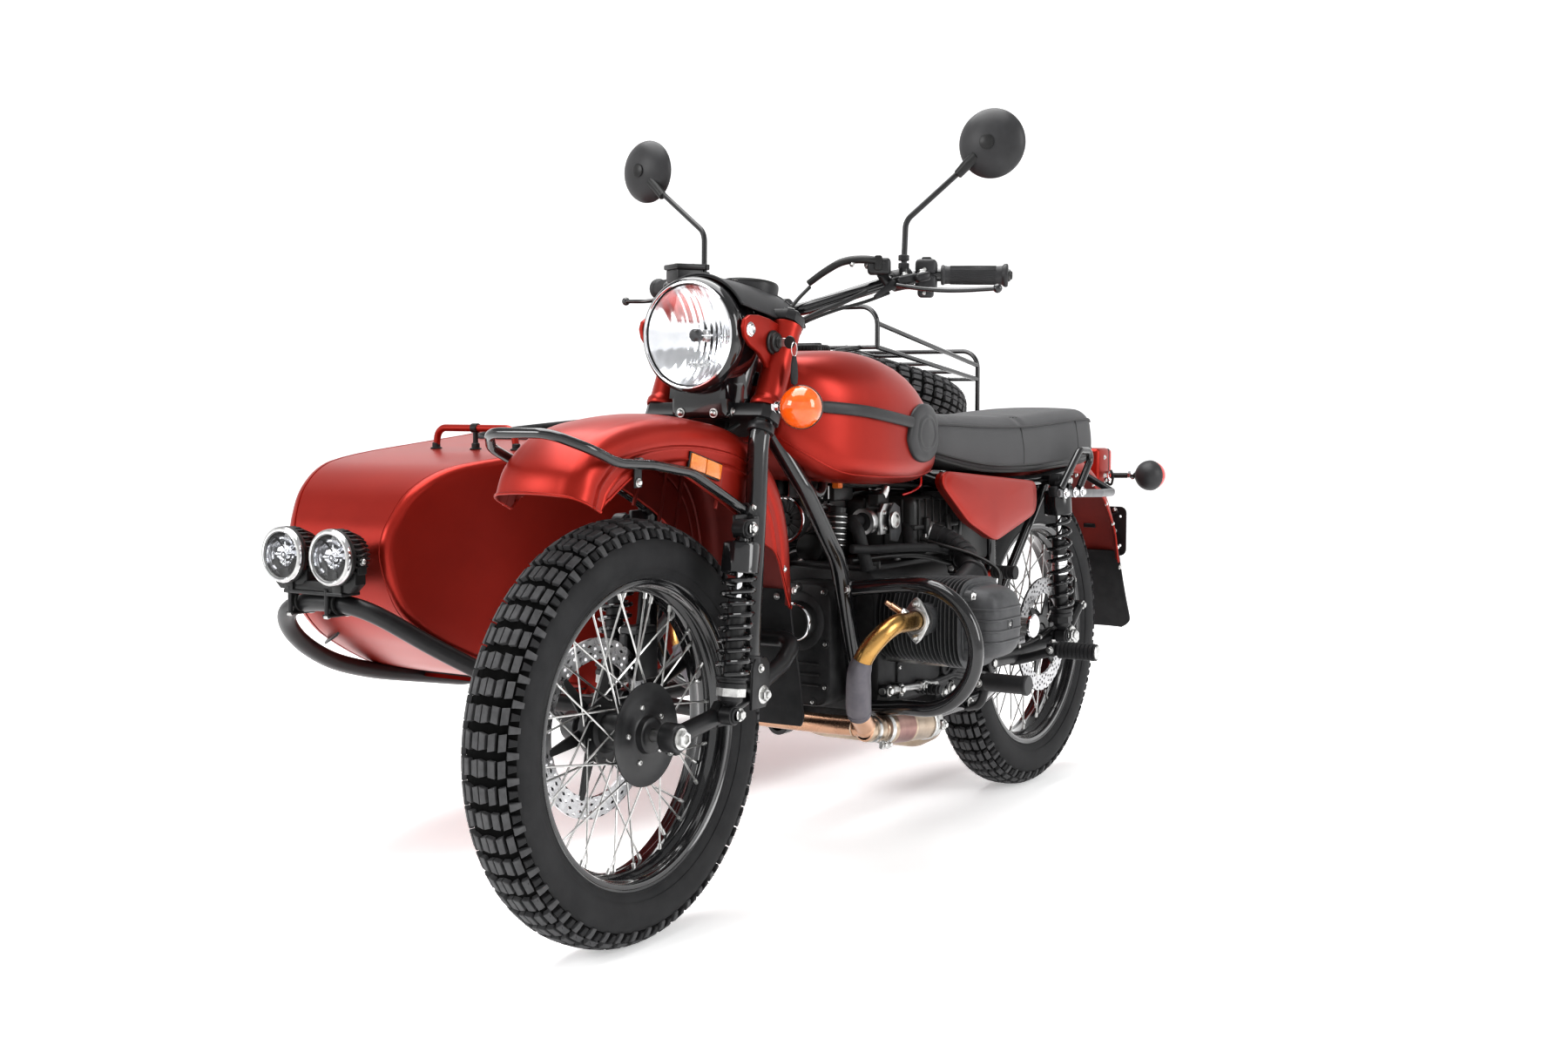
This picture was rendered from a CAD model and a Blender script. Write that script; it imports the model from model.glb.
import math
import bpy
import bmesh
import numpy as np
from mathutils import Vector, Matrix


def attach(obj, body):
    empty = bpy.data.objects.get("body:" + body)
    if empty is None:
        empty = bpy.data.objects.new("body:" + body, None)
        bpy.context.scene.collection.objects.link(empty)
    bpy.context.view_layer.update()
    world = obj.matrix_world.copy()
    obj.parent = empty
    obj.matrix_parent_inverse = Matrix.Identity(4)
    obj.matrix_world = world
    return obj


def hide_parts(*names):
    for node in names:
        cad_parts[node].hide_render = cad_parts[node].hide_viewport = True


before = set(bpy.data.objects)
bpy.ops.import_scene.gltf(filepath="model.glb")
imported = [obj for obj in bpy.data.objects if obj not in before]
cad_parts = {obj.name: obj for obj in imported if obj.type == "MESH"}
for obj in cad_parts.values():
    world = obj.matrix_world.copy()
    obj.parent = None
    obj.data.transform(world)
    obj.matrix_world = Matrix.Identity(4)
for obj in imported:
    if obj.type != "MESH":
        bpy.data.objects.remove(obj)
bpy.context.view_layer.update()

rng = np.random.default_rng(7)

# Shapes are written in design millimetres (x = 0 the motorcycle's centre plane, y = 0 the rear axle)
# and moved to the row frame in metres when a piece is made.
OFF = np.array([391.9, 547.95, 0.0])
X, Y, Z = np.array([1.0, 0, 0]), np.array([0, 1.0, 0]), np.array([0, 0, 1.0])


# ------------------------------------------------------------------ materials
MATS = {}


def N(nt, kind, loc=(0, 0), **inp):
    n = nt.nodes.new(kind)
    n.location = loc
    for k, v in inp.items():
        n.inputs[k.replace("_", " ")].default_value = v
    return n


def surf(name, a, b, metal=0.0, rough=0.5, rvar=0.06, scale=40.0, bump=0.1, bscale=300.0, dist=0.0004, coat=0.0, coatr=0.1,
         trans=0.0, ior=1.5, sheen=0.0, detail=4.0, kind="noise", spec=0.5, wear=None, aniso=0.0, emit=0.0):
    """Procedural surface: two tones mixed by noise, roughness that varies with it, and a fine bump. Object coordinates, in metres."""
    m = bpy.data.materials.new(name)
    m.use_nodes = True
    nt = m.node_tree
    p = nt.nodes["Principled BSDF"]
    tc = N(nt, "ShaderNodeTexCoord", (-1200, 0))
    n1 = N(nt, "ShaderNodeTexNoise", (-950, 100), Scale=scale, Detail=detail, Roughness=0.6)
    nt.links.new(tc.outputs["Object"], n1.inputs["Vector"])
    r = N(nt, "ShaderNodeValToRGB", (-700, 100))
    r.color_ramp.elements[0].position = 0.32
    r.color_ramp.elements[1].position = 0.68
    r.color_ramp.elements[0].color = (*a, 1)
    r.color_ramp.elements[1].color = (*b, 1)
    nt.links.new(n1.outputs["Fac"], r.inputs["Fac"])
    col = r.outputs["Color"]
    if wear:
        g = N(nt, "ShaderNodeNewGeometry", (-950, 420))
        wr = N(nt, "ShaderNodeValToRGB", (-700, 420))
        wr.color_ramp.elements[0].position = wear[1]
        wr.color_ramp.elements[0].color = (0, 0, 0, 1)
        wr.color_ramp.elements[1].position = min(0.99, wear[1] + 0.12)
        wr.color_ramp.elements[1].color = (1, 1, 1, 1)
        nt.links.new(g.outputs["Pointiness"], wr.inputs["Fac"])
        mx = N(nt, "ShaderNodeMix", (-420, 260))
        mx.data_type = "RGBA"
        mx.inputs[7].default_value = (*wear[0], 1)
        nt.links.new(wr.outputs["Color"], mx.inputs[0])
        nt.links.new(col, mx.inputs[6])
        col = mx.outputs[2]
    nt.links.new(col, p.inputs["Base Color"])
    mr = N(nt, "ShaderNodeMapRange", (-700, -150))
    mr.inputs[3].default_value = max(0.02, rough - rvar)
    mr.inputs[4].default_value = min(1.0, rough + rvar)
    nt.links.new(n1.outputs["Fac"], mr.inputs[0])
    nt.links.new(mr.outputs[0], p.inputs["Roughness"])
    if bump > 0:
        if kind == "leather":
            n2 = N(nt, "ShaderNodeTexVoronoi", (-950, -350), Scale=bscale)
            n2.feature = "DISTANCE_TO_EDGE"
            out = n2.outputs["Distance"]
            cr = N(nt, "ShaderNodeValToRGB", (-700, -350))
            cr.color_ramp.elements[0].position = 0.0
            cr.color_ramp.elements[1].position = 0.16
            nt.links.new(out, cr.inputs["Fac"])
            out = cr.outputs["Color"]
        else:
            n2 = N(nt, "ShaderNodeTexNoise", (-950, -350), Scale=bscale, Detail=3.0)
            out = n2.outputs["Fac"]
        nt.links.new(tc.outputs["Object"], n2.inputs["Vector"])
        bp = N(nt, "ShaderNodeBump", (-420, -300))
        bp.inputs["Strength"].default_value = bump
        bp.inputs["Distance"].default_value = dist
        nt.links.new(out, bp.inputs["Height"])
        nt.links.new(bp.outputs["Normal"], p.inputs["Normal"])
    p.inputs["Metallic"].default_value = metal
    p.inputs["Coat Weight"].default_value = coat
    p.inputs["Coat Roughness"].default_value = coatr
    p.inputs["Transmission Weight"].default_value = trans
    p.inputs["IOR"].default_value = ior
    p.inputs["Specular IOR Level"].default_value = spec
    p.inputs["Sheen Weight"].default_value = sheen
    if sheen:
        p.inputs["Sheen Roughness"].default_value = 0.5
    if emit:
        p.inputs["Emission Color"].default_value = (*b, 1)
        p.inputs["Emission Strength"].default_value = emit
    MATS[name] = m
    return m


surf("paint_red", (0.300, 0.0135, 0.0055), (0.335, 0.0170, 0.0070), metal=0.62, rough=0.36, rvar=0.02, scale=9, bump=0.035, bscale=1400, dist=0.0002, coat=0.18, coatr=0.32, spec=0.36)
surf("paint_in", (0.16, 0.009, 0.005), (0.21, 0.014, 0.007), metal=0.3, rough=0.5, rvar=0.05, scale=14, bump=0.08, bscale=500, dist=0.0003)
surf("gloss_black", (0.006, 0.006, 0.007), (0.011, 0.011, 0.012), rough=0.14, rvar=0.03, scale=25, bump=0.03, bscale=700, dist=0.0002, coat=0.6, coatr=0.06)
surf("satin_black", (0.010, 0.010, 0.011), (0.018, 0.018, 0.019), rough=0.36, rvar=0.05, scale=30, bump=0.10, bscale=900, dist=0.0002, coat=0.15, coatr=0.3, spec=0.36)
surf("engine_black", (0.017, 0.017, 0.018), (0.032, 0.032, 0.033), metal=0.25, rough=0.48, rvar=0.07, scale=45, bump=0.42, bscale=1100, dist=0.0003, wear=((0.07, 0.07, 0.07), 0.56), spec=0.3)
surf("engine_grey", (0.056, 0.057, 0.060), (0.082, 0.083, 0.086), metal=0.30, rough=0.46, rvar=0.06, scale=45, bump=0.45, bscale=1000, dist=0.0003, wear=((0.12, 0.12, 0.12), 0.56), spec=0.34)
surf("chrome", (0.74, 0.74, 0.76), (0.84, 0.84, 0.85), metal=1.0, rough=0.09, rvar=0.03, scale=30, bump=0.02, bscale=500, dist=0.0001)
surf("zinc", (0.48, 0.48, 0.47), (0.66, 0.66, 0.65), metal=1.0, rough=0.30, rvar=0.08, scale=120, bump=0.12, bscale=1200, dist=0.0002)
surf("steel", (0.40, 0.40, 0.40), (0.58, 0.58, 0.57), metal=1.0, rough=0.34, rvar=0.08, scale=80, bump=0.15, bscale=900, dist=0.0002)
surf("alu_disc", (0.42, 0.42, 0.43), (0.60, 0.60, 0.61), metal=1.0, rough=0.28, rvar=0.06, scale=60, bump=0.1, bscale=1500, dist=0.0001)
surf("brushed_steel", (0.40, 0.38, 0.36), (0.55, 0.53, 0.50), metal=1.0, rough=0.36, rvar=0.08, scale=50, bump=0.15, bscale=900, dist=0.0002)
surf("gold_pipe", (0.34, 0.185, 0.055), (0.50, 0.31, 0.115), metal=1.0, rough=0.27, rvar=0.05, scale=14, bump=0.05, bscale=600, dist=0.0002)
surf("sleeve_grey", (0.115, 0.11, 0.125), (0.165, 0.155, 0.17), metal=0.6, rough=0.52, rvar=0.05, scale=28, bump=0.15, bscale=700, dist=0.0003)
surf("copper_pipe", (0.46, 0.27, 0.18), (0.62, 0.40, 0.28), metal=1.0, rough=0.28, rvar=0.06, scale=12, bump=0.05, bscale=600, dist=0.0002)
surf("tan_steel", (0.34, 0.26, 0.20), (0.56, 0.47, 0.37), metal=1.0, rough=0.32, rvar=0.07, scale=16, bump=0.08, bscale=700, dist=0.0002)
surf("purple_steel", (0.20, 0.115, 0.115), (0.42, 0.28, 0.24), metal=1.0, rough=0.30, rvar=0.06, scale=10, bump=0.06, bscale=700, dist=0.0002)
surf("tyre_rubber", (0.020, 0.020, 0.021), (0.030, 0.030, 0.031), rough=0.62, rvar=0.07, scale=22, bump=0.22, bscale=650, dist=0.0004, spec=0.16)
surf("tread", (0.056, 0.056, 0.058), (0.090, 0.090, 0.092), rough=0.66, rvar=0.08, scale=60, bump=0.35, bscale=700, dist=0.0005, spec=0.24)
surf("tyre_gap", (0.003, 0.003, 0.003), (0.006, 0.006, 0.006), rough=0.8, rvar=0.05, scale=40, bump=0.2, bscale=800, dist=0.0003, spec=0.06)
surf("soft_rubber", (0.016, 0.016, 0.017), (0.027, 0.027, 0.028), rough=0.55, rvar=0.06, scale=35, bump=0.2, bscale=800, dist=0.0003, spec=0.22)
surf("seat_vinyl", (0.050, 0.050, 0.052), (0.064, 0.064, 0.066), rough=0.56, rvar=0.05, scale=11, bump=0.34, bscale=620, dist=0.00035, kind="leather", sheen=0.08, spec=0.3)
surf("seat_welt", (0.028, 0.028, 0.029), (0.038, 0.038, 0.039), rough=0.5, rvar=0.05, scale=40, bump=0.2, bscale=900, dist=0.0002)
surf("grey_plastic", (0.028, 0.028, 0.029), (0.038, 0.038, 0.040), rough=0.42, rvar=0.04, scale=24, bump=0.22, bscale=1100, dist=0.0002, spec=0.34)
surf("black_plastic", (0.012, 0.012, 0.012), (0.018, 0.018, 0.018), rough=0.34, rvar=0.05, scale=30, bump=0.18, bscale=1000, dist=0.0002, spec=0.34)
surf("amber_lens", (0.86, 0.13, 0.006), (1.0, 0.20, 0.012), rough=0.10, rvar=0.03, scale=60, bump=0.05, bscale=400, dist=0.0003, trans=0.35, coat=1.0, coatr=0.03, emit=0.10)
surf("amber_flat", (0.62, 0.16, 0.010), (0.80, 0.24, 0.02), rough=0.22, rvar=0.04, scale=300, bump=0.5, bscale=520, dist=0.0006, coat=1.0, coatr=0.05)
surf("red_lens", (0.52, 0.010, 0.008), (0.66, 0.018, 0.012), rough=0.12, rvar=0.03, scale=60, bump=0.05, bscale=400, dist=0.0003, trans=0.25, coat=1.0, coatr=0.03, emit=0.05)
surf("lamp", (0.012, 0.012, 0.012), (0.018, 0.018, 0.019), rough=0.25, rvar=0.05, scale=30, bump=0.1, bscale=900, dist=0.0002, coat=0.4)
surf("reflector", (0.84, 0.85, 0.87), (0.94, 0.94, 0.96), metal=1.0, rough=0.14, rvar=0.02, scale=30, bump=0.02, bscale=300, dist=0.0002)
surf("glass", (0.97, 0.98, 0.99), (1.0, 1.0, 1.0), rough=0.015, rvar=0.01, scale=20, bump=0.0, trans=1.0, ior=1.3, spec=0.5)
surf("horn_orange", (0.55, 0.12, 0.01), (0.7, 0.2, 0.02), rough=0.4)
surf("alloy_ring", (0.22, 0.22, 0.22), (0.30, 0.30, 0.30), metal=0.8, rough=0.35)
surf("white_ring", (0.62, 0.62, 0.62), (0.72, 0.72, 0.72), rough=0.4)
surf("dial_face", (0.01, 0.01, 0.01), (0.02, 0.02, 0.02), rough=0.4)
surf("mirror_glass", (0.85, 0.86, 0.87), (0.92, 0.93, 0.94), metal=1.0, rough=0.04, rvar=0.01, scale=10, bump=0.0)
surf("spoked_rim", (0.007, 0.007, 0.008), (0.012, 0.012, 0.013), rough=0.12, rvar=0.03, scale=25, bump=0.03, bscale=700, dist=0.0002, coat=0.7, coatr=0.05)


# ------------------------------------------------------------------ mesh building
class Shape:
    """Collects vertices (design millimetres) and faces, with a material for each face."""

    def __init__(self):
        self.v, self.f, self.m, self.n = [], [], [], 0

    def add(self, v, f, mat):
        v = np.asarray(v, float).reshape(-1, 3)
        n = self.n
        self.v.append(v)
        self.f.extend([[i + n for i in q] for q in f])
        self.m.extend([mat] * len(f))
        self.n += len(v)
        return self

    def mirrored(self):
        s = Shape()
        s.v = [a * np.array([-1.0, 1, 1]) for a in self.v]
        s.f = [q[::-1] for q in self.f]
        s.m, s.n = list(self.m), self.n
        return s

    def join(self, other):
        n = self.n
        self.v += other.v
        self.f += [[i + n for i in q] for q in other.f]
        self.m += other.m
        self.n += other.n
        return self

    def make(self, name, body, slot, hides=(), sharp=38.0, sub=0, world=None):
        v = np.concatenate(self.v)
        if world is not None:
            v = world(v)
        v = (v + OFF) / 1000.0
        names = sorted(set(self.m))
        me = bpy.data.meshes.new(name)
        me.from_pydata(v.tolist(), [], self.f)
        for k in names:
            me.materials.append(MATS[k])
        idx = {k: i for i, k in enumerate(names)}
        me.polygons.foreach_set("material_index", [idx[k] for k in self.m])
        me.validate()
        bm = bmesh.new()
        bm.from_mesh(me)
        bmesh.ops.recalc_face_normals(bm, faces=bm.faces)
        bm.to_mesh(me)
        bm.free()
        me.shade_smooth()
        me.set_sharp_from_angle(angle=math.radians(sharp))
        o = bpy.data.objects.new(name, me)
        bpy.context.collection.objects.link(o)
        if sub:
            md = o.modifiers.new("sub", "SUBSURF")
            md.levels = md.render_levels = sub
        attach(o, body)
        if hides:
            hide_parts(*hides)
        return o


def A(*p):
    return np.array(p, float)


def unit(v):
    v = np.asarray(v, float)
    return v / max(np.linalg.norm(v), 1e-12)


def basis(w):
    w = unit(w)
    t = X if abs(w[0]) < 0.8 else Y
    u = unit(np.cross(t, w))
    return u, np.cross(w, u), w


def lathe(sh, prof, o, ax, mat, seg=40, ref=None, a0=0.0, a1=2 * math.pi):
    """Turns (radius, height) points round an axis; the height runs along ax from o. mat may be a list, one for each strip."""
    u, v, w = basis(ax)
    if ref is not None:
        u = unit(np.asarray(ref, float) - np.dot(ref, w) * w)
        v = np.cross(w, u)
    full = abs(a1 - a0) > 2 * math.pi - 1e-6
    n = seg if full else seg + 1
    t = a0 + (a1 - a0) * np.arange(n) / seg
    o = np.asarray(o, float)
    ring = np.cos(t)[:, None] * u + np.sin(t)[:, None] * v
    rings, vs, base = [], [], 0
    for r, h in prof:
        if abs(r) < 1e-6:
            vs.append((o + w * h)[None])
            rings.append([base])
            base += 1
        else:
            vs.append(o + w * h + ring * r)
            rings.append(list(range(base, base + n)))
            base += n
    per = {}
    for k in range(len(prof) - 1):
        a, b = rings[k], rings[k + 1]
        mt = mat[k] if isinstance(mat, (list, tuple)) else mat
        fs = per.setdefault(mt, [])
        cnt = n if full else n - 1
        for i in range(cnt):
            j = (i + 1) % n
            if len(a) == 1 and len(b) == 1:
                continue
            if len(a) == 1:
                fs.append([a[0], b[i], b[j]])
            elif len(b) == 1:
                fs.append([a[i], b[0], a[j]])
            else:
                fs.append([a[i], b[i], b[j], a[j]])
    V = np.concatenate(vs)
    first = True
    n0 = sh.n
    for mt, fs in per.items():
        if first:
            sh.add(V, fs, mt)
            first = False
        else:
            sh.f.extend([[i + n0 for i in q] for q in fs])
            sh.m.extend([mt] * len(fs))
    return sh


def bend(pts, rad, n=7):
    """Dense points along straight runs joined by arcs."""
    Pn = [np.asarray(p, float) for p in pts]
    rads = rad if isinstance(rad, (list, tuple)) else [rad] * len(Pn)
    out = [Pn[0]]
    for i in range(1, len(Pn) - 1):
        a, b, c = Pn[i - 1], Pn[i], Pn[i + 1]
        u, w = unit(a - b), unit(c - b)
        if np.linalg.norm(u + w) < 1e-6 or rads[i] <= 0:
            out.append(b)
            continue
        ang = math.acos(max(-1, min(1, float(np.dot(u, w)))))
        t = rads[i] / math.tan(ang / 2)
        t = min(t, 0.48 * np.linalg.norm(a - b), 0.48 * np.linalg.norm(c - b))
        r = t * math.tan(ang / 2)
        cen = b + unit(u + w) * math.hypot(r, t)
        p1, p2 = b + u * t, b + w * t
        e1, e2 = unit(p1 - cen), unit(p2 - cen)
        th = math.acos(max(-1, min(1, float(np.dot(e1, e2)))))
        for k in range(n + 1):
            s = k / n
            out.append(cen + r * (math.sin((1 - s) * th) * e1 + math.sin(s * th) * e2) / max(math.sin(th), 1e-9))
    out.append(Pn[-1])
    return np.array(out)


def smooth(pts, n=8, closed=False):
    """Catmull-Rom curve through the points (any number of columns)."""
    Q = np.asarray(pts, float)
    k = len(Q)
    out = []
    rngk = range(k if closed else k - 1)
    for i in rngk:
        p1, p2 = Q[i], Q[(i + 1) % k]
        p0 = Q[i - 1] if (i > 0 or closed) else 2 * p1 - p2
        p3 = Q[(i + 2) % k] if (i + 2 < k or closed) else 2 * p2 - p1
        for j in range(n):
            t = j / n
            out.append(0.5 * ((2 * p1) + (-p0 + p2) * t + (2 * p0 - 5 * p1 + 4 * p2 - p3) * t * t + (-p0 + 3 * p1 - 3 * p2 + p3) * t ** 3))
    if not closed:
        out.append(Q[-1])
    return np.array(out)


def frames(path, up=None):
    path = np.asarray(path, float)
    T = np.gradient(path, axis=0)
    T /= np.maximum(np.linalg.norm(T, axis=1, keepdims=True), 1e-12)
    u = up if up is not None else basis(T[0])[0]
    U = []
    for t in T:
        u = u - np.dot(u, t) * t
        u = u / max(np.linalg.norm(u), 1e-12)
        U.append(u)
    U = np.array(U)
    return T, U, np.cross(T, U)


def tube(sh, path, r, mat, seg=14, caps=True, flat=1.0):
    """Round bar along a path; r may be one radius or one for each point. Ends are closed with a small chamfer."""
    path = np.asarray(path, float)
    keep = [0] + [i for i in range(1, len(path)) if np.linalg.norm(path[i] - path[i - 1]) > 1e-6]
    r = np.broadcast_to(np.asarray(r, float), (len(path),))[keep]
    path = path[keep]
    if caps:
        c0 = min(1.6, 0.25 * r[0])
        c1 = min(1.6, 0.25 * r[-1])
        d0, d1 = unit(path[1] - path[0]), unit(path[-2] - path[-1])
        path = np.vstack([path[:1], path[:1] + d0 * c0, path[1:-1], path[-1:] + d1 * c1, path[-1:]])
        r = np.concatenate([[r[0] - c0], r, [r[-1] - c1]])
    T, U, W = frames(path)
    a = 2 * math.pi * np.arange(seg) / seg
    V = path[:, None] + r[:, None, None] * (np.cos(a)[None, :, None] * U[:, None] + flat * np.sin(a)[None, :, None] * W[:, None])
    n = len(path)
    F = [[i * seg + j, i * seg + (j + 1) % seg, (i + 1) * seg + (j + 1) % seg, (i + 1) * seg + j] for i in range(n - 1) for j in range(seg)]
    if caps:
        F.append([j for j in range(seg)][::-1])
        F.append([(n - 1) * seg + j for j in range(seg)])
    return sh.add(V.reshape(-1, 3), F, mat)


def bar(sh, a, b, r, mat, r2=None, seg=16):
    return tube(sh, np.array([a, b], float), [r, r if r2 is None else r2], mat, seg)


def from_bm(sh, bm, mat, M=None):
    bm.verts.ensure_lookup_table()
    bm.verts.index_update()
    V = np.array([v.co[:] for v in bm.verts])
    if M is not None:
        V = V @ np.asarray(M[0]).T + np.asarray(M[1])
    sh.add(V, [[v.index for v in f.verts] for f in bm.faces], mat)
    bm.free()
    return sh


def rbox(sh, lo, hi, mat, b=3.0, seg=2, rot=None, at=None):
    """Box with rounded edges, from lo to hi; rot is a 3x3 matrix about the point at."""
    lo, hi = np.minimum(lo, hi).astype(float), np.maximum(lo, hi).astype(float)
    bm = bmesh.new()
    bmesh.ops.create_cube(bm, size=1.0)
    c, s = (lo + hi) / 2, hi - lo
    for v in bm.verts:
        v.co = Vector(c + np.array(v.co[:]) * s)
    b = min(b, 0.45 * min(s))
    bmesh.ops.bevel(bm, geom=list(bm.edges), offset=b, segments=seg, profile=0.5, affect="EDGES")
    M = None
    if rot is not None:
        at = np.asarray(c if at is None else at, float)
        M = (rot, at - np.asarray(rot) @ at)
    return from_bm(sh, bm, mat, M)


def prism(sh, pts, o, u, v, w, depth, mat, b=1.5, seg=2):
    """Outline (in u, v from o) drawn out along w by depth, edges of both faces rounded."""
    bm = bmesh.new()
    o, u, v, w = (np.asarray(q, float) for q in (o, u, v, w))
    lowv = [bm.verts.new(Vector(o + u * p[0] + v * p[1])) for p in pts]
    f = bm.faces.new(lowv)
    ex = bmesh.ops.extrude_face_region(bm, geom=[f])
    top = [g for g in ex["geom"] if isinstance(g, bmesh.types.BMVert)]
    for q in top:
        q.co += Vector(w * depth)
    bmesh.ops.recalc_face_normals(bm, faces=bm.faces)
    if b > 0:
        ed = [e for e in bm.edges if len(e.link_faces) == 2 and any(len(fc.verts) == len(pts) and len(pts) != 4 for fc in e.link_faces)]
        if len(pts) == 4:
            ed = list(bm.edges)
        bmesh.ops.bevel(bm, geom=ed, offset=b, segments=seg, profile=0.5, affect="EDGES")
    return from_bm(sh, bm, mat)


def loft(sh, rings, mat, closed=True, cap0=True, cap1=True):
    R = np.asarray(rings, float)
    k, n = R.shape[:2]
    F = [[i * n + j, i * n + (j + 1) % n, (i + 1) * n + (j + 1) % n, (i + 1) * n + j] for i in range(k - 1) for j in range(n if closed else n - 1)]
    if cap0:
        F.append(list(range(n))[::-1])
    if cap1:
        F.append([(k - 1) * n + j for j in range(n)])
    return sh.add(R.reshape(-1, 3), F, mat)


def bolt(sh, o, ax, r, mat="zinc", kind="hex", washer=True, h=None):
    """Bolt head standing on a surface: hexagon, button with a socket, or domed nut."""
    o = np.asarray(o, float)
    ax = unit(ax)
    h = r * 0.75 if h is None else h
    z = 0.0
    if washer:
        lathe(sh, [(0, -0.5), (r * 1.45, -0.5), (r * 1.5, 0.0), (r * 1.5, 1.0), (r * 1.4, 1.5), (0, 1.5)], o, ax, mat, seg=20)
        z = 1.5
    if kind == "hex":
        lathe(sh, [(r * 1.05, z - 1), (r * 1.05, z + h * 0.8), (r * 0.86, z + h), (0, z + h)], o, ax, mat, seg=6)
    elif kind == "dome":
        lathe(sh, [(r * 1.05, z - 1), (r * 1.05, z + h * 0.5), (r * 0.9, z + h * 0.9), (r * 0.5, z + h * 1.3), (0, z + h * 1.4)], o, ax, mat, seg=16)
    else:
        lathe(sh, [(r * 1.05, z - 1), (r * 1.05, z + h * 0.4), (r * 0.85, z + h * 0.85), (r * 0.5, z + h), (r * 0.48, z + h), (r * 0.48, z + h * 0.45), (0, z + h * 0.45)], o, ax, mat, seg=18)
    return sh


def coil(sh, a, b, R, r, turns, mat, seg=8, per=18):
    a, b = np.asarray(a, float), np.asarray(b, float)
    u, v, w = basis(b - a)
    L = np.linalg.norm(b - a)
    n = int(turns * per)
    t = np.arange(n + 1) / n
    ang = 2 * math.pi * turns * t
    h = L * t
    path = a + w * h[:, None] + R * (np.cos(ang)[:, None] * u + np.sin(ang)[:, None] * v)
    return tube(sh, path, r, mat, seg)


def sphere(sh, c, r, mat, seg=28, rings=14, ax=Z, a0=0.0, a1=math.pi, sy=1.0):
    pr = []
    for k in range(rings + 1):
        t = a0 + (a1 - a0) * k / rings
        pr.append((r * math.sin(t) if 1e-6 < t < math.pi - 1e-6 else 0.0, -r * math.cos(t) * sy))
    return lathe(sh, pr, c, ax, mat, seg)


def rotx(d):
    c, s = math.cos(math.radians(d)), math.sin(math.radians(d))
    return np.array([[1, 0, 0], [0, c, -s], [0, s, c]])


def roty(d):
    c, s = math.cos(math.radians(d)), math.sin(math.radians(d))
    return np.array([[c, 0, s], [0, 1, 0], [-s, 0, c]])


def rotz(d):
    c, s = math.cos(math.radians(d)), math.sin(math.radians(d))
    return np.array([[c, -s, 0], [s, c, 0], [0, 0, 1]])


# ------------------------------------------------------------------ camera, floor and light
def stage():
    sc = bpy.context.scene
    cam = bpy.data.cameras.new("camera")
    cam.sensor_width = 36.0
    cam.lens = 41.68
    cam.clip_end = 200.0
    co = bpy.data.objects.new("camera", cam)
    co.location = (2.1738, -3.21455, 0.8851)
    co.rotation_euler = (math.radians(86.0), 0, math.radians(32.74))
    sc.collection.objects.link(co)
    sc.camera = co
    me = bpy.data.meshes.new("floor")
    n = 96
    ring = [(2.0, 0.0), (5.0, 0.0), (8.0, 0.0), (10.0, 0.0)] + [(10.0 + 7.0 * math.sin(t), 7.0 * (1 - math.cos(t))) for t in np.linspace(0.12, math.pi / 2 * 0.96, 12)] + [(17.2, 9.5)]
    vs = [(0, 0, 0)]
    for r, z in ring:
        vs += [(r * math.cos(2 * math.pi * i / n), r * math.sin(2 * math.pi * i / n), z) for i in range(n)]
    fs = [(0, 1 + i, 1 + (i + 1) % n) for i in range(n)]
    for k in range(len(ring) - 1):
        p, q = 1 + k * n, 1 + (k + 1) * n
        fs += [(p + i, q + i, q + (i + 1) % n, p + (i + 1) % n) for i in range(n)]
    me.from_pydata(vs, [], fs)
    me.shade_smooth()
    floor = bpy.data.objects.new("floor", me)
    sc.collection.objects.link(floor)
    m = bpy.data.materials.new("floor_white")
    m.use_nodes = True
    nt = m.node_tree
    p = nt.nodes["Principled BSDF"]
    tc = N(nt, "ShaderNodeTexCoord")
    nz = N(nt, "ShaderNodeTexNoise", Scale=0.6, Detail=2.0)
    nt.links.new(tc.outputs["Object"], nz.inputs["Vector"])
    r = N(nt, "ShaderNodeValToRGB")
    r.color_ramp.elements[0].color = (0.93, 0.93, 0.93, 1)
    r.color_ramp.elements[1].color = (0.95, 0.95, 0.95, 1)
    nt.links.new(nz.outputs["Fac"], r.inputs["Fac"])
    nt.links.new(r.outputs["Color"], p.inputs["Base Color"])
    p.inputs["Roughness"].default_value = 0.9
    p.inputs["Specular IOR Level"].default_value = 0.0
    p.inputs["Emission Color"].default_value = (1.0, 1.0, 1.0, 1)
    p.inputs["Emission Strength"].default_value = 0.38
    me.materials.append(m)
    w = bpy.data.worlds.new("studio")
    sc.world = w
    w.use_nodes = True
    bg = w.node_tree.nodes["Background"]
    bg.inputs["Color"].default_value = (1.0, 1.0, 1.0, 1)
    bg.inputs["Strength"].default_value = 0.52

    def area(name, loc, aim, sx, sy, power):
        li = bpy.data.lights.new(name, "AREA")
        li.shape = "RECTANGLE"
        li.size, li.size_y, li.energy = sx, sy, power
        o = bpy.data.objects.new(name, li)
        o.location = loc
        o.rotation_euler = (Vector(aim) - Vector(loc)).to_track_quat("-Z", "Y").to_euler()
        sc.collection.objects.link(o)

    area("top_soft", (-0.4, -0.2, 4.2), (0.0, 0.0, 0.4), 4.6, 3.4, 245)
    area("front_soft", (-2.6, -5.2, 2.8), (-0.2, -0.6, 0.6), 2.2, 2.2, 115)
    area("left_soft", (5.2, 0.2, 2.4), (0.2, 0.0, 0.6), 1.8, 3.0, 105)
    sc.view_settings.view_transform = "Standard"
    sc.view_settings.look = "None"
    sc.view_settings.exposure = 0.0
    sc.view_settings.gamma = 0.86


stage()


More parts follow.
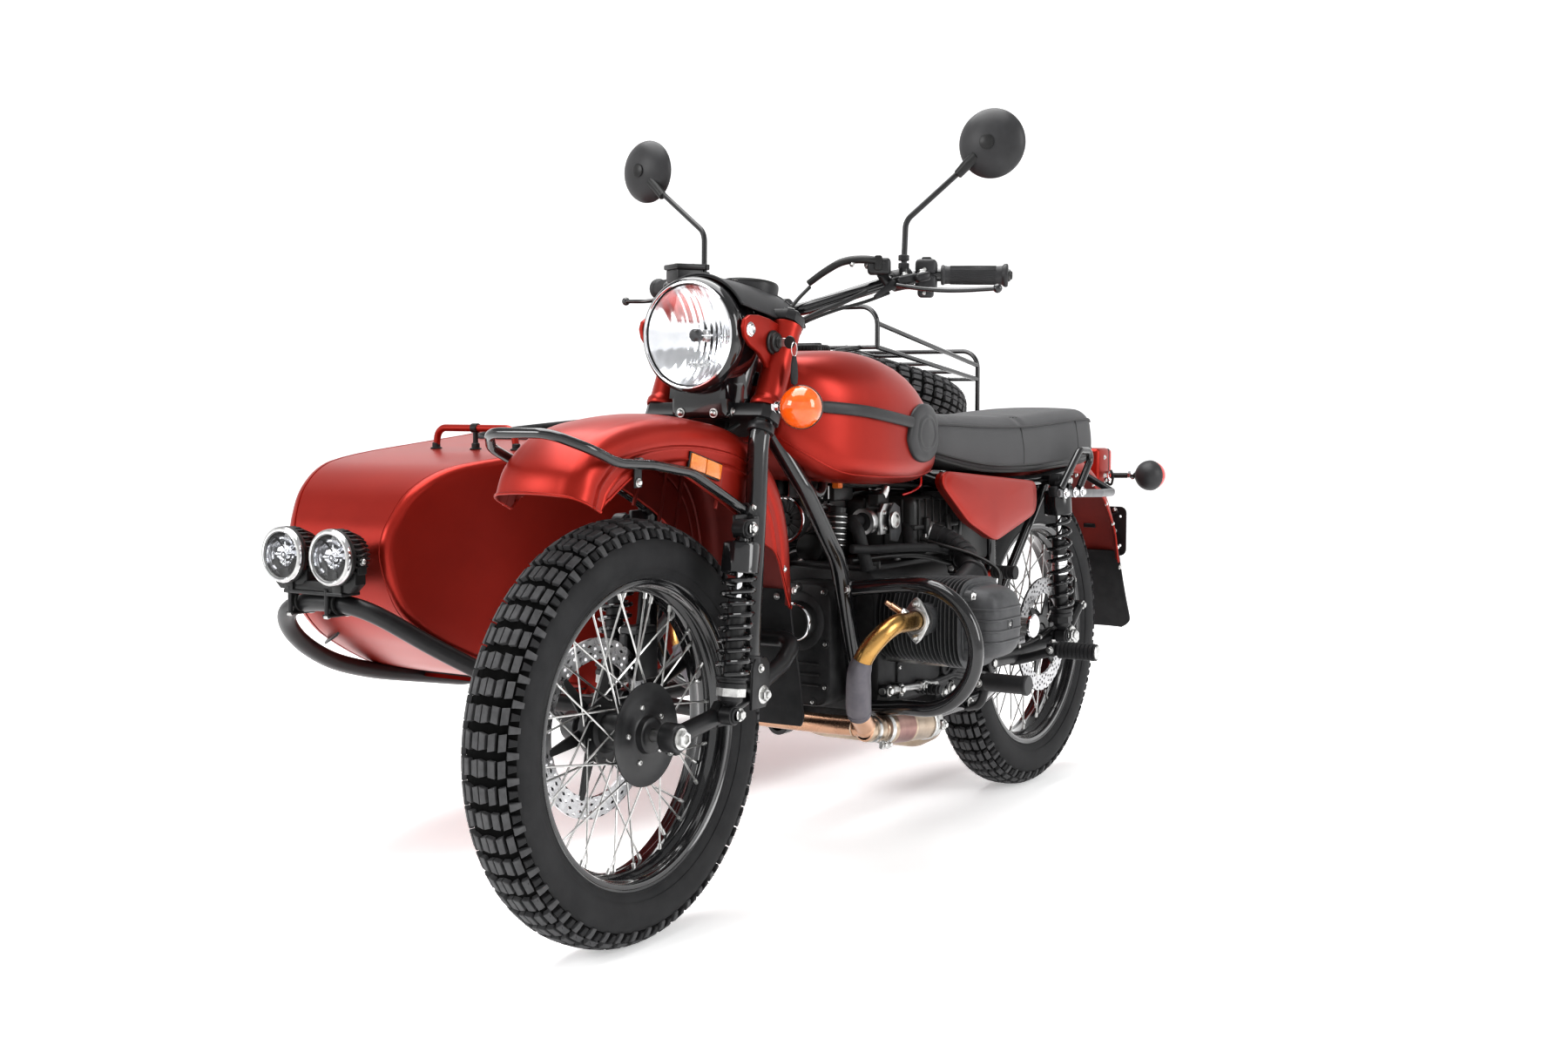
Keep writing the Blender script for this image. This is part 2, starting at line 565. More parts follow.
# ------------------------------------------------------------------ wheels and tyres
TR = 345.0


def tyre_outline():
    base = smooth([(0, 345), (13, 344.4), (24, 342.6), (36, 337.6), (45, 330), (51.5, 319), (55, 306), (56, 293)], 8)
    seg = np.linalg.norm(np.diff(base, axis=0), axis=1)
    t = np.concatenate([[0], np.cumsum(seg)])
    T = np.gradient(base, axis=0)
    T /= np.linalg.norm(T, axis=1, keepdims=True)
    Nn = np.stack([-T[:, 1], T[:, 0]], 1)
    Nn *= np.where(Nn[:, 1:] < 0, -1, 1)
    return t, base, Nn


def tyre(name, c, body, node, world=None):
    t, base, nrm = tyre_outline()

    def at(tt, depth, side):
        tt = abs(tt)
        x = np.interp(tt, t, base[:, 0])
        r = np.interp(tt, t, base[:, 1])
        nx = np.interp(tt, t, nrm[:, 0])
        nr = np.interp(tt, t, nrm[:, 1])
        return side * (x - nx * depth), r - nr * depth

    sh = Shape()
    # carcass
    def dep(tt):
        return float(np.interp(tt, [0, 46, 58, 74, 86], [8.8, 8.8, 7.4, 1.6, 0.0]))
    half = [at(k, dep(k), 1) for k in np.linspace(0, 88, 17)]
    half += [(55.4, 284), (54.2, 276), (52.4, 269), (50.8, 266.5), (49.6, 266.8), (47.8, 262), (45.2, 257), (43.6, 254.6), (44.2, 252.6), (42.0, 249.5), (39.5, 248.5), (37, 246)]
    prof = [(r, -x) for x, r in reversed(half[1:])] + [(half[0][1], 0.0)] + [(r, x) for x, r in half[1:]]
    mats = ["tyre_gap" if (p[0] + q[0]) / 2 > 313 else "tyre_rubber" for p, q in zip(prof, prof[1:])]
    lathe(sh, prof, c, X, mats, 176)
    NR = 54

    def block(t0, t1, s0, s1, side, h, mat, ch=1.1, cross=False, cut=(0, 0, 0, 0)):
        """Raised block between two places across the tyre and two round it, with bevelled top edges; cut skews its corners."""
        if cross:
            ts = [t0, t0, t0 + ch, t1 - ch, t1, t1]
        else:
            mid = (t0 + t1) / 2
            ts = [t0, t0, t0 + ch, mid, t1 - ch, t1, t1]
        ss = [s0, s0, s0 + ch, s1 - ch, s1, s1]
        V, F = [], []
        for i, tt in enumerate(ts):
            for j, s in enumerate(ss):
                e = min(i, len(ts) - 1 - i, j, len(ss) - 1 - j)
                d = h if e == 0 else (ch * 0.8 if e == 1 else 0.0)
                fr = (tt - t0) / (t1 - t0)
                fs = (s - s0) / (s1 - s0)
                sk = cut[0] * (1 - fr) * (1 - fs) + cut[1] * fr * (1 - fs) - cut[2] * (1 - fr) * fs - cut[3] * fr * fs
                x, r = at(tt, d, side)
                a = (s + sk) / TR
                V.append((x, r, a))
        V = np.array(V)
        W = np.stack([V[:, 0], V[:, 1] * np.cos(V[:, 2]), V[:, 1] * np.sin(V[:, 2])], 1) + np.asarray(c, float)
        nj = len(ss)
        F = [[i * nj + j, i * nj + j + 1, (i + 1) * nj + j + 1, (i + 1) * nj + j] for i in range(len(ts) - 1) for j in range(nj - 1)]
        sh.add(W, F, mat)

    P0 = 2 * math.pi * TR / NR
    for k in range(NR):
        s = k * P0
        for side in (1, -1):
            # centre pair: two bars with a fine slot between
            block(1.1, 12.2, s - 13.7, s + 13.7, side, 8.7, "tread", ch=1.1, cut=(0, 3.0, 0, 3.0))
            if k % 2 == 0:
                block(17.6, 28.8, s - 13.0, s + 14.0, side, 8.7, "tread", cut=(2.2, -1.4, -0.4, 1.8))
            else:
                block(18.4, 29.8, s - 14.0, s + 12.8, side, 8.7, "tread", cut=(0.4, 1.8, 1.4, -0.8))
            # shoulder blocks, and lugs running on to the sidewall
            block(34.6, 46.4, s - 12.6, s + 13.4, side, 8.7, "tread", cut=(0.8, -1.4, -0.8, 1.6))
            block(49.0, 68.0, s + 13.2, s + 26.6, side, 7.6, "tread", ch=1.3, cut=(0.0, 2.0, 0.0, 2.0))
            block(50.0, 64.0, s - 6.6, s + 6.8, side, 7.4, "tyre_rubber", ch=1.3, cut=(0.0, 2.2, 0.0, 2.2))
    # moulding hairs on the shoulder blocks
    for k in range(NR):
        for off in (-9, 11):
            a = (k * P0 + off + rng.uniform(-2, 2)) / TR
            if world is None and (abs((a + math.pi) % (2 * math.pi) - math.pi - math.pi) < 0.45 or abs((a + math.pi) % (2 * math.pi) - math.pi + math.pi) < 0.45 or
                                  abs(a - 1.5 * math.pi) < 0.35 or abs(a - 0.5 * math.pi) < 0.35):
                continue
            for side in (1, -1):
                x, r = at(44.0, 1.0, side)
                x2, r2 = at(44.0, -4.6 + rng.uniform(-1, 1), side)
                a2 = a + rng.uniform(-0.006, 0.006)
                p = np.array([x, r * math.cos(a), r * math.sin(a)]) + c
                q = np.array([min(abs(x2), 55.6) * side, r2 * math.cos(a2), r2 * math.sin(a2)]) + c
                tube(sh, [p, q], [0.42, 0.2], "tyre_rubber", 4, caps=False)
    return sh.make(name, body, "tyre_rubber", [node], sharp=32, world=world)


def wheel(name, c, hub_l, hub_r, disc_side, disc_r, body, node, cover=1, cover_r=84, world=None):
    c = np.asarray(c, float)
    sh = Shape()
    rim = [(252, -43), (253.6, -41.5), (253.4, -39.5), (251.6, -37.6), (247, -36.4), (243.8, -35.4), (241.5, -33.8), (240.6, -30), (240.0, -21), (237.5, -17.5), (231.5, -12.5),
           (229.8, -9), (229.4, 0), (229.8, 9), (231.5, 12.5), (237.5, 17.5), (240.0, 21), (240.6, 30), (241.5, 33.8), (243.8, 35.4), (247, 36.4), (251.6, 37.6), (253.4, 39.5),
           (253.6, 41.5), (252, 43), (249.5, 42.4), (246.5, 40.2), (243, 40.6), (239.5, 40.0), (237.6, 37.5), (237.0, 30), (236.3, 22), (233.5, 18.5), (227.8, 13.5), (226.2, 10), (225.8, 0),
           (226.2, -10), (227.8, -13.5), (233.5, -18.5), (236.3, -22), (237.0, -30), (237.6, -37.5), (239.5, -40.0), (243, -40.6), (246.5, -40.2), (249.5, -42.4), (252, -43)]
    lathe(sh, rim, c, X, "spoked_rim", 120)
    # hub with two spoke flanges
    hub = [(10.5, -hub_r), (22, -hub_r), (24, -hub_r + 2), (25, -42), (40, -39.5), (54, -38.5), (56, -37.4), (56, -34), (54, -33), (38, -31.5), (32, -26), (30, -10), (30, 10), (32, 26), (38, 31.5),
           (54, 33), (56, 34), (56, 37.4), (54, 38.5), (40, 39.5), (25, 42), (24, hub_l - 2), (22, hub_l), (10.5, hub_l)]
    lathe(sh, hub, c, X, "satin_black", 56)
    # spokes
    for k in range(40):
        side = 1 if k % 2 == 0 else -1
        j = k // 2
        ph = math.radians(9.0 * k + 4.5)
        lead = math.radians(58) * (1 if j % 2 == 0 else -1)
        xo = side * (38.6 if j % 2 == 0 else 33.2)
        hr = 48.0
        hub_p = c + A(xo, hr * math.cos(ph + lead), hr * math.sin(ph + lead))
        rim_p = c + A(side * 6.5, 229.5 * math.cos(ph), 229.5 * math.sin(ph))
        d = unit(rim_p - hub_p)
        # elbow through the flange
        tube(sh, smooth([hub_p + A(-side * 5, 0, 0), hub_p + A(side * 0.5, 0, 0) + d * 1.0, hub_p + d * 7 + A(side * 0.3, 0, 0), rim_p - d * 30], 3), 1.75, "zinc", 7)
        tube(sh, [rim_p - d * 30.5, rim_p - d * 10], 1.75, "zinc", 7, caps=False)
        lathe(sh, [(0, -13.5), (2.9, -13.5), (3.3, -12.5), (3.3, -3), (4.4, 0), (4.4, 2), (0, 2)], rim_p, d, "zinc", 8)
    # dished cover with bolts on one side
    s = cover
    xs = (hub_l if s > 0 else hub_r)
    if cover_r:
        xa = 42.0
        prof = [(28, xa), (44, xa + 1.0), (56, xa + 0.4), (cover_r * 0.84, xa - 0.2), (cover_r * 0.95, xa + 1.5), (cover_r, xa + 4.2), (cover_r - 0.6, xa + 5.6), (cover_r * 0.94, xa + 4.6),
                (cover_r * 0.83, xa + 2.6), (58, xa + 3.0), (46, xa + 4.2), (34, xa + 4.6), (31, xa + 6.5), (29, xs + 0.0), (26, xs + 2.0), (20, xs + 2.0), (10.8, xs + 2.0)]
        lathe(sh, prof, c, X * s, "satin_black", 64)
        for k in range(5):
            a = 2 * math.pi * k / 5 + 0.55
            bolt(sh, c + A(s * (xa + 3.9), 46 * math.cos(a), 46 * math.sin(a)), X * s, 4.6, "zinc", "button", washer=False)
    # drilled disc and its carrier
    if disc_r:
        d = disc_side
        x0 = 56.0
        seg = 96
        ri, ro = disc_r - 36, disc_r
        # plate as a ring with rows of round holes: a polar grid whose cells keep a hole each
        rows, cols = 3, 30
        cells = []
        hole_r = 3.4
        for cc in range(cols):
            a0, a1 = 2 * math.pi * cc / cols, 2 * math.pi * (cc + 1) / cols
            for rr in range(rows):
                r0, r1 = ri + (ro - ri) * rr / rows, ri + (ro - ri) * (rr + 1) / rows
                has = (cc + rr) % 3 != 0
                am, rm = (a0 + a1) / 2, (r0 + r1) / 2
                ring = []
                for k in range(12):
                    th = 2 * math.pi * k / 12
                    ring.append((rm + hole_r * math.cos(th), am + hole_r * math.sin(th) / rm))
                rect = []
                w, h = (a1 - a0) / 2, (r1 - r0) / 2
                for k in range(12):
                    th = 2 * math.pi * k / 12
                    cx_, cy_ = math.cos(th), math.sin(th)
                    m_ = max(abs(cx_), abs(cy_))
                    rect.append((rm + h * cx_ / m_, am + w * cy_ / m_))
                cells.append((has, ring, rect, (rm, am)))
        for x, flip in ((x0, 0), (x0 + 5.0, 1)):
            for has, ring, rect, mid in cells:
                P2 = [A(d * x, r * math.cos(a), r * math.sin(a)) + c for r, a in rect]
                if has:
                    P1 = [A(d * x, r * math.cos(a), r * math.sin(a)) + c for r, a in ring]
                    sh.add(P2 + P1, [[k, (k + 1) % 12, 12 + (k + 1) % 12, 12 + k] for k in range(12)], "alu_disc")
                    if flip:
                        P3 = [p - A(d * 5.0, 0, 0) for p in P1]
                        sh.add(P1 + P3, [[k, (k + 1) % 12, 12 + (k + 1) % 12, 12 + k] for k in range(12)], "alu_disc")
                else:
                    sh.add(P2, [list(range(12))], "alu_disc")
        for r in (ri, ro):
            a = 2 * math.pi * np.arange(seg) / seg
            ra = np.stack([np.full(seg, d * x0), r * np.cos(a), r * np.sin(a)], 1) + c
            rb = ra + A(d * 5.0, 0, 0)
            sh.add(np.vstack([ra, rb]), [[k, (k + 1) % seg, seg + (k + 1) % seg, seg + k] for k in range(seg)], "alu_disc")
        # carrier: six arms from a bell to floating buttons
        lathe(sh, [(26, 40), (44, 40), (46, 42), (46, x0 - 1), (44, x0 + 2), (30, x0 + 2), (26, x0 + 1), (26, 40)], c, X * d, "satin_black", 48)
        for k in range(6):
            a = 2 * math.pi * k / 6 + 0.2
            er, et = A(0, math.cos(a), math.sin(a)), A(0, -math.sin(a), math.cos(a))
            L0, L1 = 42.0, ri + 5
            prism(sh, [(L0, -13), (L1 - 10, -7), (L1, -6), (L1 + 2, 0), (L1, 6), (L1 - 10, 7), (L0, 13)], c + A(d * (x0 - 1.0), 0, 0), er, et, X * d, 4.5, "satin_black", 1.0, 1)
            bolt(sh, c + er * (L1 - 4) + A(d * (x0 + 3.5), 0, 0), X * d, 4.4, "zinc", "button", washer=False)
    return sh.make(name, body, "spoked_rim", [node], sharp=35, world=world)


YF, WB = -1470.0, 1470.0
C_F, C_R, C_S = A(0, -1470, 345), A(0, 0, 345), A(-1130, -50, 345)
tyre("front_tyre_tread", C_F, "front_wheel", "front_tyre")
tyre("rear_tyre_tread", C_R, "rear_wheel", "rear_tyre")
tyre("sidecar_tyre_tread", C_S, "sidecar_wheel", "sidecar_tyre")
wheel("front_wheel_spoked", C_F, 58, 58, -1, 148, "front_wheel", "front_wheel", 1, 84)
wheel("rear_wheel_spoked", C_R, 56, 58, 1, 128, "rear_wheel", "rear_wheel", 1, 0)
wheel("sidecar_wheel_spoked", C_S, 52, 44, 1, 122, "sidecar_wheel", "sidecar_wheel", -1, 62)


def spare_pose(v):
    R_ = rotx(-13.5) @ roty(-90)
    return v @ R_.T + A(-715, 380, 878)


tyre("spare_tyre_tread", A(0, 0, 0), "trunk_lid", "spare_tyre", spare_pose)
wheel("spare_wheel_spoked", A(0, 0, 0), 44, 44, 0, 0, "trunk_lid", "spare_wheel", 1, 0, spare_pose)


# ------------------------------------------------------------------ shared shapes
UST = A(0, math.sin(math.radians(25)), math.cos(math.radians(25)))
WST = A(0, -math.cos(math.radians(25)), math.sin(math.radians(25)))
ST0 = A(0, -1104, 987)


def P_ax(s, w=0.0, x=0.0):
    return ST0 + UST * s + WST * w + A(x, 0, 0)


def weld(o, dist=0.00002):
    bm = bmesh.new()
    bm.from_mesh(o.data)
    bmesh.ops.remove_doubles(bm, verts=bm.verts, dist=dist)
    bmesh.ops.dissolve_degenerate(bm, edges=bm.edges, dist=dist)
    bmesh.ops.recalc_face_normals(bm, faces=bm.faces)
    bm.to_mesh(o.data)
    bm.free()
    o.data.set_sharp_from_angle(angle=math.radians(34))


def guard(sh, crown, under, hw, cap, x0, mat, mat_in, dlist, prof, n=9, t=2.6, bead=2.3, crown_arc=1.0):
    """Pressed mudguard: crown line in the side plane, sides down to the under line, with raised lines pressed along its sides."""
    path = smooth(crown, n)
    mid = path.mean(0)
    und = np.asarray(under, float)
    T = np.gradient(path, axis=0)
    T /= np.linalg.norm(T, axis=1, keepdims=True)
    Nn = np.stack([-T[:, 1], T[:, 0]], 1)
    if np.dot(Nn[0], mid - path[0]) < 0:
        Nn = -Nn
    dm = []
    for p, q in zip(path, Nn):
        best = cap
        for a, b in zip(und[:-1], und[1:]):
            e = b - a
            den = q[0] * e[1] - q[1] * e[0]
            if abs(den) < 1e-9:
                continue
            w = a - p
            d = (w[0] * e[1] - w[1] * e[0]) / den
            s = (w[0] * q[1] - w[1] * q[0]) / den
            if -0.02 <= s <= 1.02 and 6 < d < best:
                best = d
        dm.append(best)
    dm = np.array(dm)
    k = np.ones(5) / 5
    pad = np.concatenate([dm[:1].repeat(2), dm, dm[-1:].repeat(2)])
    dm = np.convolve(pad, k, "valid")
    # half section as (across, depth)
    arc = [(0.0, 0.0)]
    for i in range(1, 8):
        u = (hw - 34) * i / 7
        arc.append((u, 6.0 * (u / (hw - 34)) ** 2 * crown_arc))
    for i in range(1, 8):
        a = math.radians(90 * i / 7)
        arc.append((hw - 34 + 34 * math.sin(a), 6.0 * crown_arc + 36 * (1 - math.cos(a))))
    half = arc + [(hw + prof(d), d) for d in dlist]
    H = np.array(half)
    full = np.vstack([H[::-1] * [-1, 1], H[1:]])
    g = np.gradient(full, axis=0)
    g /= np.maximum(np.linalg.norm(g, axis=1, keepdims=True), 1e-9)
    nin = np.stack([-g[:, 1], g[:, 0]], 1)
    if nin[len(full) // 2, 1] < 0:
        nin = -nin
    inner = full + nin * t
    inner[:, 0] = np.clip(inner[:, 0], -hw + t - 1.5, hw - t + 1.5)
    m = len(full)
    V, F = [], []
    edges = [[], []]
    for p, q, d in zip(path, Nn, dm):
        for arr in (full, inner):
            for u, dd in arr:
                c = min(dd, d)
                V.append((x0 + u, p[0] + q[0] * c, p[1] + q[1] * c))
        edges[0].append((x0 + full[0, 0], p[0] + q[0] * d, p[1] + q[1] * d))
        edges[1].append((x0 + full[-1, 0], p[0] + q[0] * d, p[1] + q[1] * d))
    K = len(path)
    fo, fi = [], []
    for i in range(K - 1):
        a, b = i * 2 * m, (i + 1) * 2 * m
        for j in range(m - 1):
            fo.append([a + j, a + j + 1, b + j + 1, b + j])
            fi.append([a + m + j, b + m + j, b + m + j + 1, a + m + j + 1])
        fo.append([a, b, b + m, a + m])
        fo.append([a + m - 1, a + 2 * m - 1, b + 2 * m - 1, b + m - 1])
    for i in (0, K - 1):
        a = i * 2 * m
        for j in range(m - 1):
            fo.append([a + j, a + m + j, a + m + j + 1, a + j + 1])
    n0 = sh.n
    sh.add(V, fo, mat)
    sh.f.extend([[q + n0 for q in f] for f in fi])
    sh.m.extend([mat_in] * len(fi))
    if bead:
        ends = []
        for i in (0, K - 1):
            ends.append([(x0 + u, path[i][0] + Nn[i][0] * min(dd, dm[i]), path[i][1] + Nn[i][1] * min(dd, dm[i])) for u, dd in full])
        for e in edges:
            tube(sh, np.array(e), bead, mat, 8)
        for e in ends:
            tube(sh, np.array(e), bead, mat, 8)
    return path, Nn, dm


def shock(name, x, a, b, rs, rt, rl, turns, body, node, up="black_plastic"):
    """Damper with eye rubbers, spring, upper shroud and a stepped adjuster at its foot."""
    P0, P1 = A(x, *a), A(x, *b)
    d = unit(P1 - P0)
    L = np.linalg.norm(P1 - P0)
    sh = Shape()
    for p in (P0, P1):
        lathe(sh, [(8.2, -12), (14.5, -12), (16, -10.5), (16, 10.5), (14.5, 12), (8.2, 12), (8.2, -12)], p, X, "satin_black", 28)
        for s in (1, -1):
            lathe(sh, [(8.2, 12), (12.5, 12), (13.2, 13), (12.4, 14.4), (8.2, 14.8)], p, X * s, "soft_rubber", 24)
    z1 = L - 66
    # lower body and adjuster
    lathe(sh, [(0, 12), (9, 14), (12, 18), (rl - 5, 22), (rl - 3, 24), (rl - 3, 40), (0, 40)], P0, d, "satin_black", 32)
    lathe(sh, [(rl - 1, 30), (rl + 1.2, 31), (rl + 1.2, 44), (rl - 1, 45)], P0, d, "zinc" if body == "fork" else "satin_black", 6)
    lathe(sh, [(rl - 2, 44), (rl + 2.4, 45), (rl + 2.4, 52), (rl + 0.5, 54), (rl + 0.5, 58), (rl + 4.2, 59), (rl + 4.2, 62.5), (rl - 4, 63.5)], P0, d, "satin_black", 32)
    # damper body and rod inside the spring
    lathe(sh, [(13.5, 56), (15.5, 58), (15.5, L * 0.62), (13, L * 0.62 + 3), (6.2, L * 0.62 + 3), (6.2, L - 30)], P0, d, ["satin_black", "satin_black", "satin_black", "satin_black", "chrome"], 24)
    coil(sh, P0 + d * 66, P0 + d * (z1 - 1), rs - 4.2, 4.2, turns, "gloss_black", 9, 20)
    if up != "black_plastic":
        lathe(sh, [(15.4, L * 0.40), (17.6, L * 0.40 + 1), (17.6, L * 0.46), (16.6, L * 0.46 + 1), (16.6, L * 0.49), (17.8, L * 0.49 + 1), (17.8, L * 0.53), (15.4, L * 0.53 + 1)], P0, d, "chrome", 28)
    # shroud
    lathe(sh, [(rt - 4, z1 - 4), (rt - 1, z1 - 6), (rt + 0.4, z1 - 4.5), (rt, z1), (rt, L - 27), (rt - 1.5, L - 23.5), (rt - 7, L - 21), (12, L - 20), (9, L - 12), (0, L - 10)], P0, d, "gloss_black", 36)
    return sh.make(name, body, "satin_black", [node] if node else (), sharp=32)


# ------------------------------------------------------------------ front mudguard, its bar and flap
FRONT_CROWN = [(-1697, 740), (-1676, 782), (-1625, 824), (-1567, 844), (-1497, 854), (-1420, 856), (-1338, 849), (-1252, 831),
               (-1170, 790), (-1115, 728), (-1086, 650), (-1078, 580), (-1074, 518)]
REAR_CROWN = [(-410, 540), (-388, 610), (-340, 672), (-268, 716), (-170, 745), (-60, 760), (40, 766), (140, 758), (240, 730), (330, 672), (392, 594), (424, 520), (436, 452)]


def bump(d, c, w, h):
    t = (d - c) / w
    return h * math.exp(-t * t * 2.5)


def front_guard():
    under = [(-1060, 500), (-1110, 518), (-1150, 612), (-1200, 640), (-1275, 690), (-1400, 750), (-1490, 784), (-1560, 758), (-1640, 712), (-1740, 690)]
    und = smooth(under[1:9], 6).tolist()
    und = [under[0]] + und + [under[9]]
    dl = [44, 47, 49, 50.5, 52, 53.5, 55, 57, 60, 64, 67, 69, 70.5, 72, 73.5, 75, 77, 80, 84, 90, 98, 108, 120, 134, 150]

    def prof(d):
        return bump(d, 52.5, 3.2, 2.2) - bump(d, 48.5, 2.6, 1.2) + bump(d, 72, 3.0, 2.2) - (1.6 / (1 + math.exp(-(d - 76) / 1.5)))
    sh = Shape()
    guard(sh, FRONT_CROWN, und, 88, 150, 0, "paint_red", "paint_in", dl, prof)
    # pressed ribs and stay inside
    for (y0, z0, y1, z1) in ((-1330, 700, -1300, 800), (-1262, 660, -1236, 775), (-1215, 650, -1188, 760)):
        for s in (1, -1):
            tube(sh, smooth([(s * 83.5, y0, z0), (s * 83.5, (y0 + y1) / 2 + 2, (z0 + z1) / 2), (s * 81.0, y1, z1)], 5), 3.4, "paint_in", 8)
    o = sh.make("front_mudguard", "fork", "paint_red", ["front_fender"], sharp=34)
    weld(o)
    # reflector on each side, in a thin black frame
    sh = Shape()
    for s in (1, -1):
        c = A(s * 88.2, -1367, 771)
        v = unit(A(0, 0.27, 1.0))
        u = unit(A(0, 1.0, -0.27))
        w = A(s, 0, 0)
        prism(sh, [(-46, -15), (46, -15), (46, 15), (-46, 15)], c - w * 1.0, u, v, w, 4.2, "black_plastic", 1.6, 2)
        for k, (a, b) in enumerate(((-43.5, -1.0), (1.0, 43.5))):
            prism(sh, [(a, -12.5), (b, -12.5), (b, 12.5), (a, 12.5)], c + w * 1.8, u, v, w, 4.0, "amber_flat", 1.4, 2)
    sh.make("front_side_reflectors", "fork", "amber_lens")
    # bolts at the mudguard's stays
    sh = Shape()
    for s in (1, -1):
        for y, z in ((-1215, 668), (-1128, 585), (-1096, 545)):
            bolt(sh, (s * 86.8, y, z), A(s, 0, 0), 4.6, "zinc", "dome")
        bolt(sh, (s * 84.5, -1400, 764), A(-s, 0, 0), 4.2, "zinc", "hex")
        # wire clip inside the arch
        tube(sh, smooth([(s * 84, -1480, 790), (s * 80, -1450, 776), (s * 72, -1420, 772), (s * 78, -1392, 766), (s * 84, -1372, 762)], 6), 1.8, "black_plastic", 7)
    # strap that carries the loop bar
    for s in (1, -1):
        prism(sh, [(-9, -26), (9, -26), (9, 20), (-9, 20)], A(s * 90.3, -1548, 770), Y, Z, A(s, 0, 0), 3.0, "satin_black", 0.8, 1)
        tube(sh, smooth([(s * 91.5, -1548, 782), (s * 96, -1547, 786), (s * 103, -1546, 782)], 5), 5.2, "satin_black", 10)
        bolt(sh, (s * 93.2, -1548, 752), A(s, 0, 0), 4.8, "zinc", "dome")
    # clamp at the loop bar's lower end
    for s in (1, -1):
        lathe(sh, [(8.2, -9), (11.8, -9), (12.6, -8), (12.6, 8), (11.8, 9), (8.2, 9)], A(s * 103, -1268, 694), A(0, -0.885, 0.43), "satin_black", 24)
        bolt(sh, (s * 114, -1262, 700), A(s, 0, 0), 4.2, "zinc", "dome")
        bolt(sh, (s * 114, -1246, 684), A(s, 0, 0), 4.2, "zinc", "dome")
    sh.make("front_guard_fixings", "fork", "satin_black")
    bar_pts = [(103, -1262, 690), (103, -1421, 763), (103, -1526, 779), (103, -1612, 784), (98, -1668, 806), (58, -1716, 830)]
    pts = bar_pts + [(-p[0], p[1], p[2]) for p in reversed(bar_pts)]
    sh = Shape()
    tube(sh, bend(pts, [0, 150, 150, 110, 60, 46, 46, 60, 110, 150, 150, 0], 9), 8.0, "gloss_black", 18)
    sh.make("front_loop_bar", "fork", "gloss_black", ["fender_bar"])
    # rubber flap, gently curved
    sh = Shape()
    mid = smooth([(-1086, 545), (-1077, 480), (-1062, 415), (-1048, 350), (-1040, 294)], 6)
    V, nx = [], 13
    for i, (y, z) in enumerate(mid):
        t = i / (len(mid) - 1)
        hw = 70 + 4 * t - (10 * max(0, t - 0.9) * 10) ** 2 * 0.08
        for j in range(nx):
            u = -1 + 2 * j / (nx - 1)
            V.append((u * hw, y - 3 * (1 - u * u), z))
    off = len(V)
    V2_ = [(x, y + 4.5, z) for x, y, z in V]
    F = []
    K = len(mid)
    for i in range(K - 1):
        for j in range(nx - 1):
            a = i * nx + j
            F.append([a, a + 1, a + nx + 1, a + nx])
            F.append([off + a, off + a + nx, off + a + nx + 1, off + a + 1])
    for i in range(K - 1):
        for j in (0, nx - 1):
            a = i * nx + j
            F.append([a, a + nx, off + a + nx, off + a])
    for i in (0, K - 1):
        for j in range(nx - 1):
            a = i * nx + j
            F.append([a, off + a, off + a + 1, a + 1])
    sh.add(V + V2_, F, "soft_rubber")
    for x in (-48, 0, 48):
        bolt(sh, (x, -1090.5 + 3 * (x / 70) ** 2, 532), A(0, -1, 0), 4.2, "zinc", "dome")
    sh.make("front_rubber_flap", "fork", "soft_rubber", ["front_mudflap"], sharp=30)


front_guard()


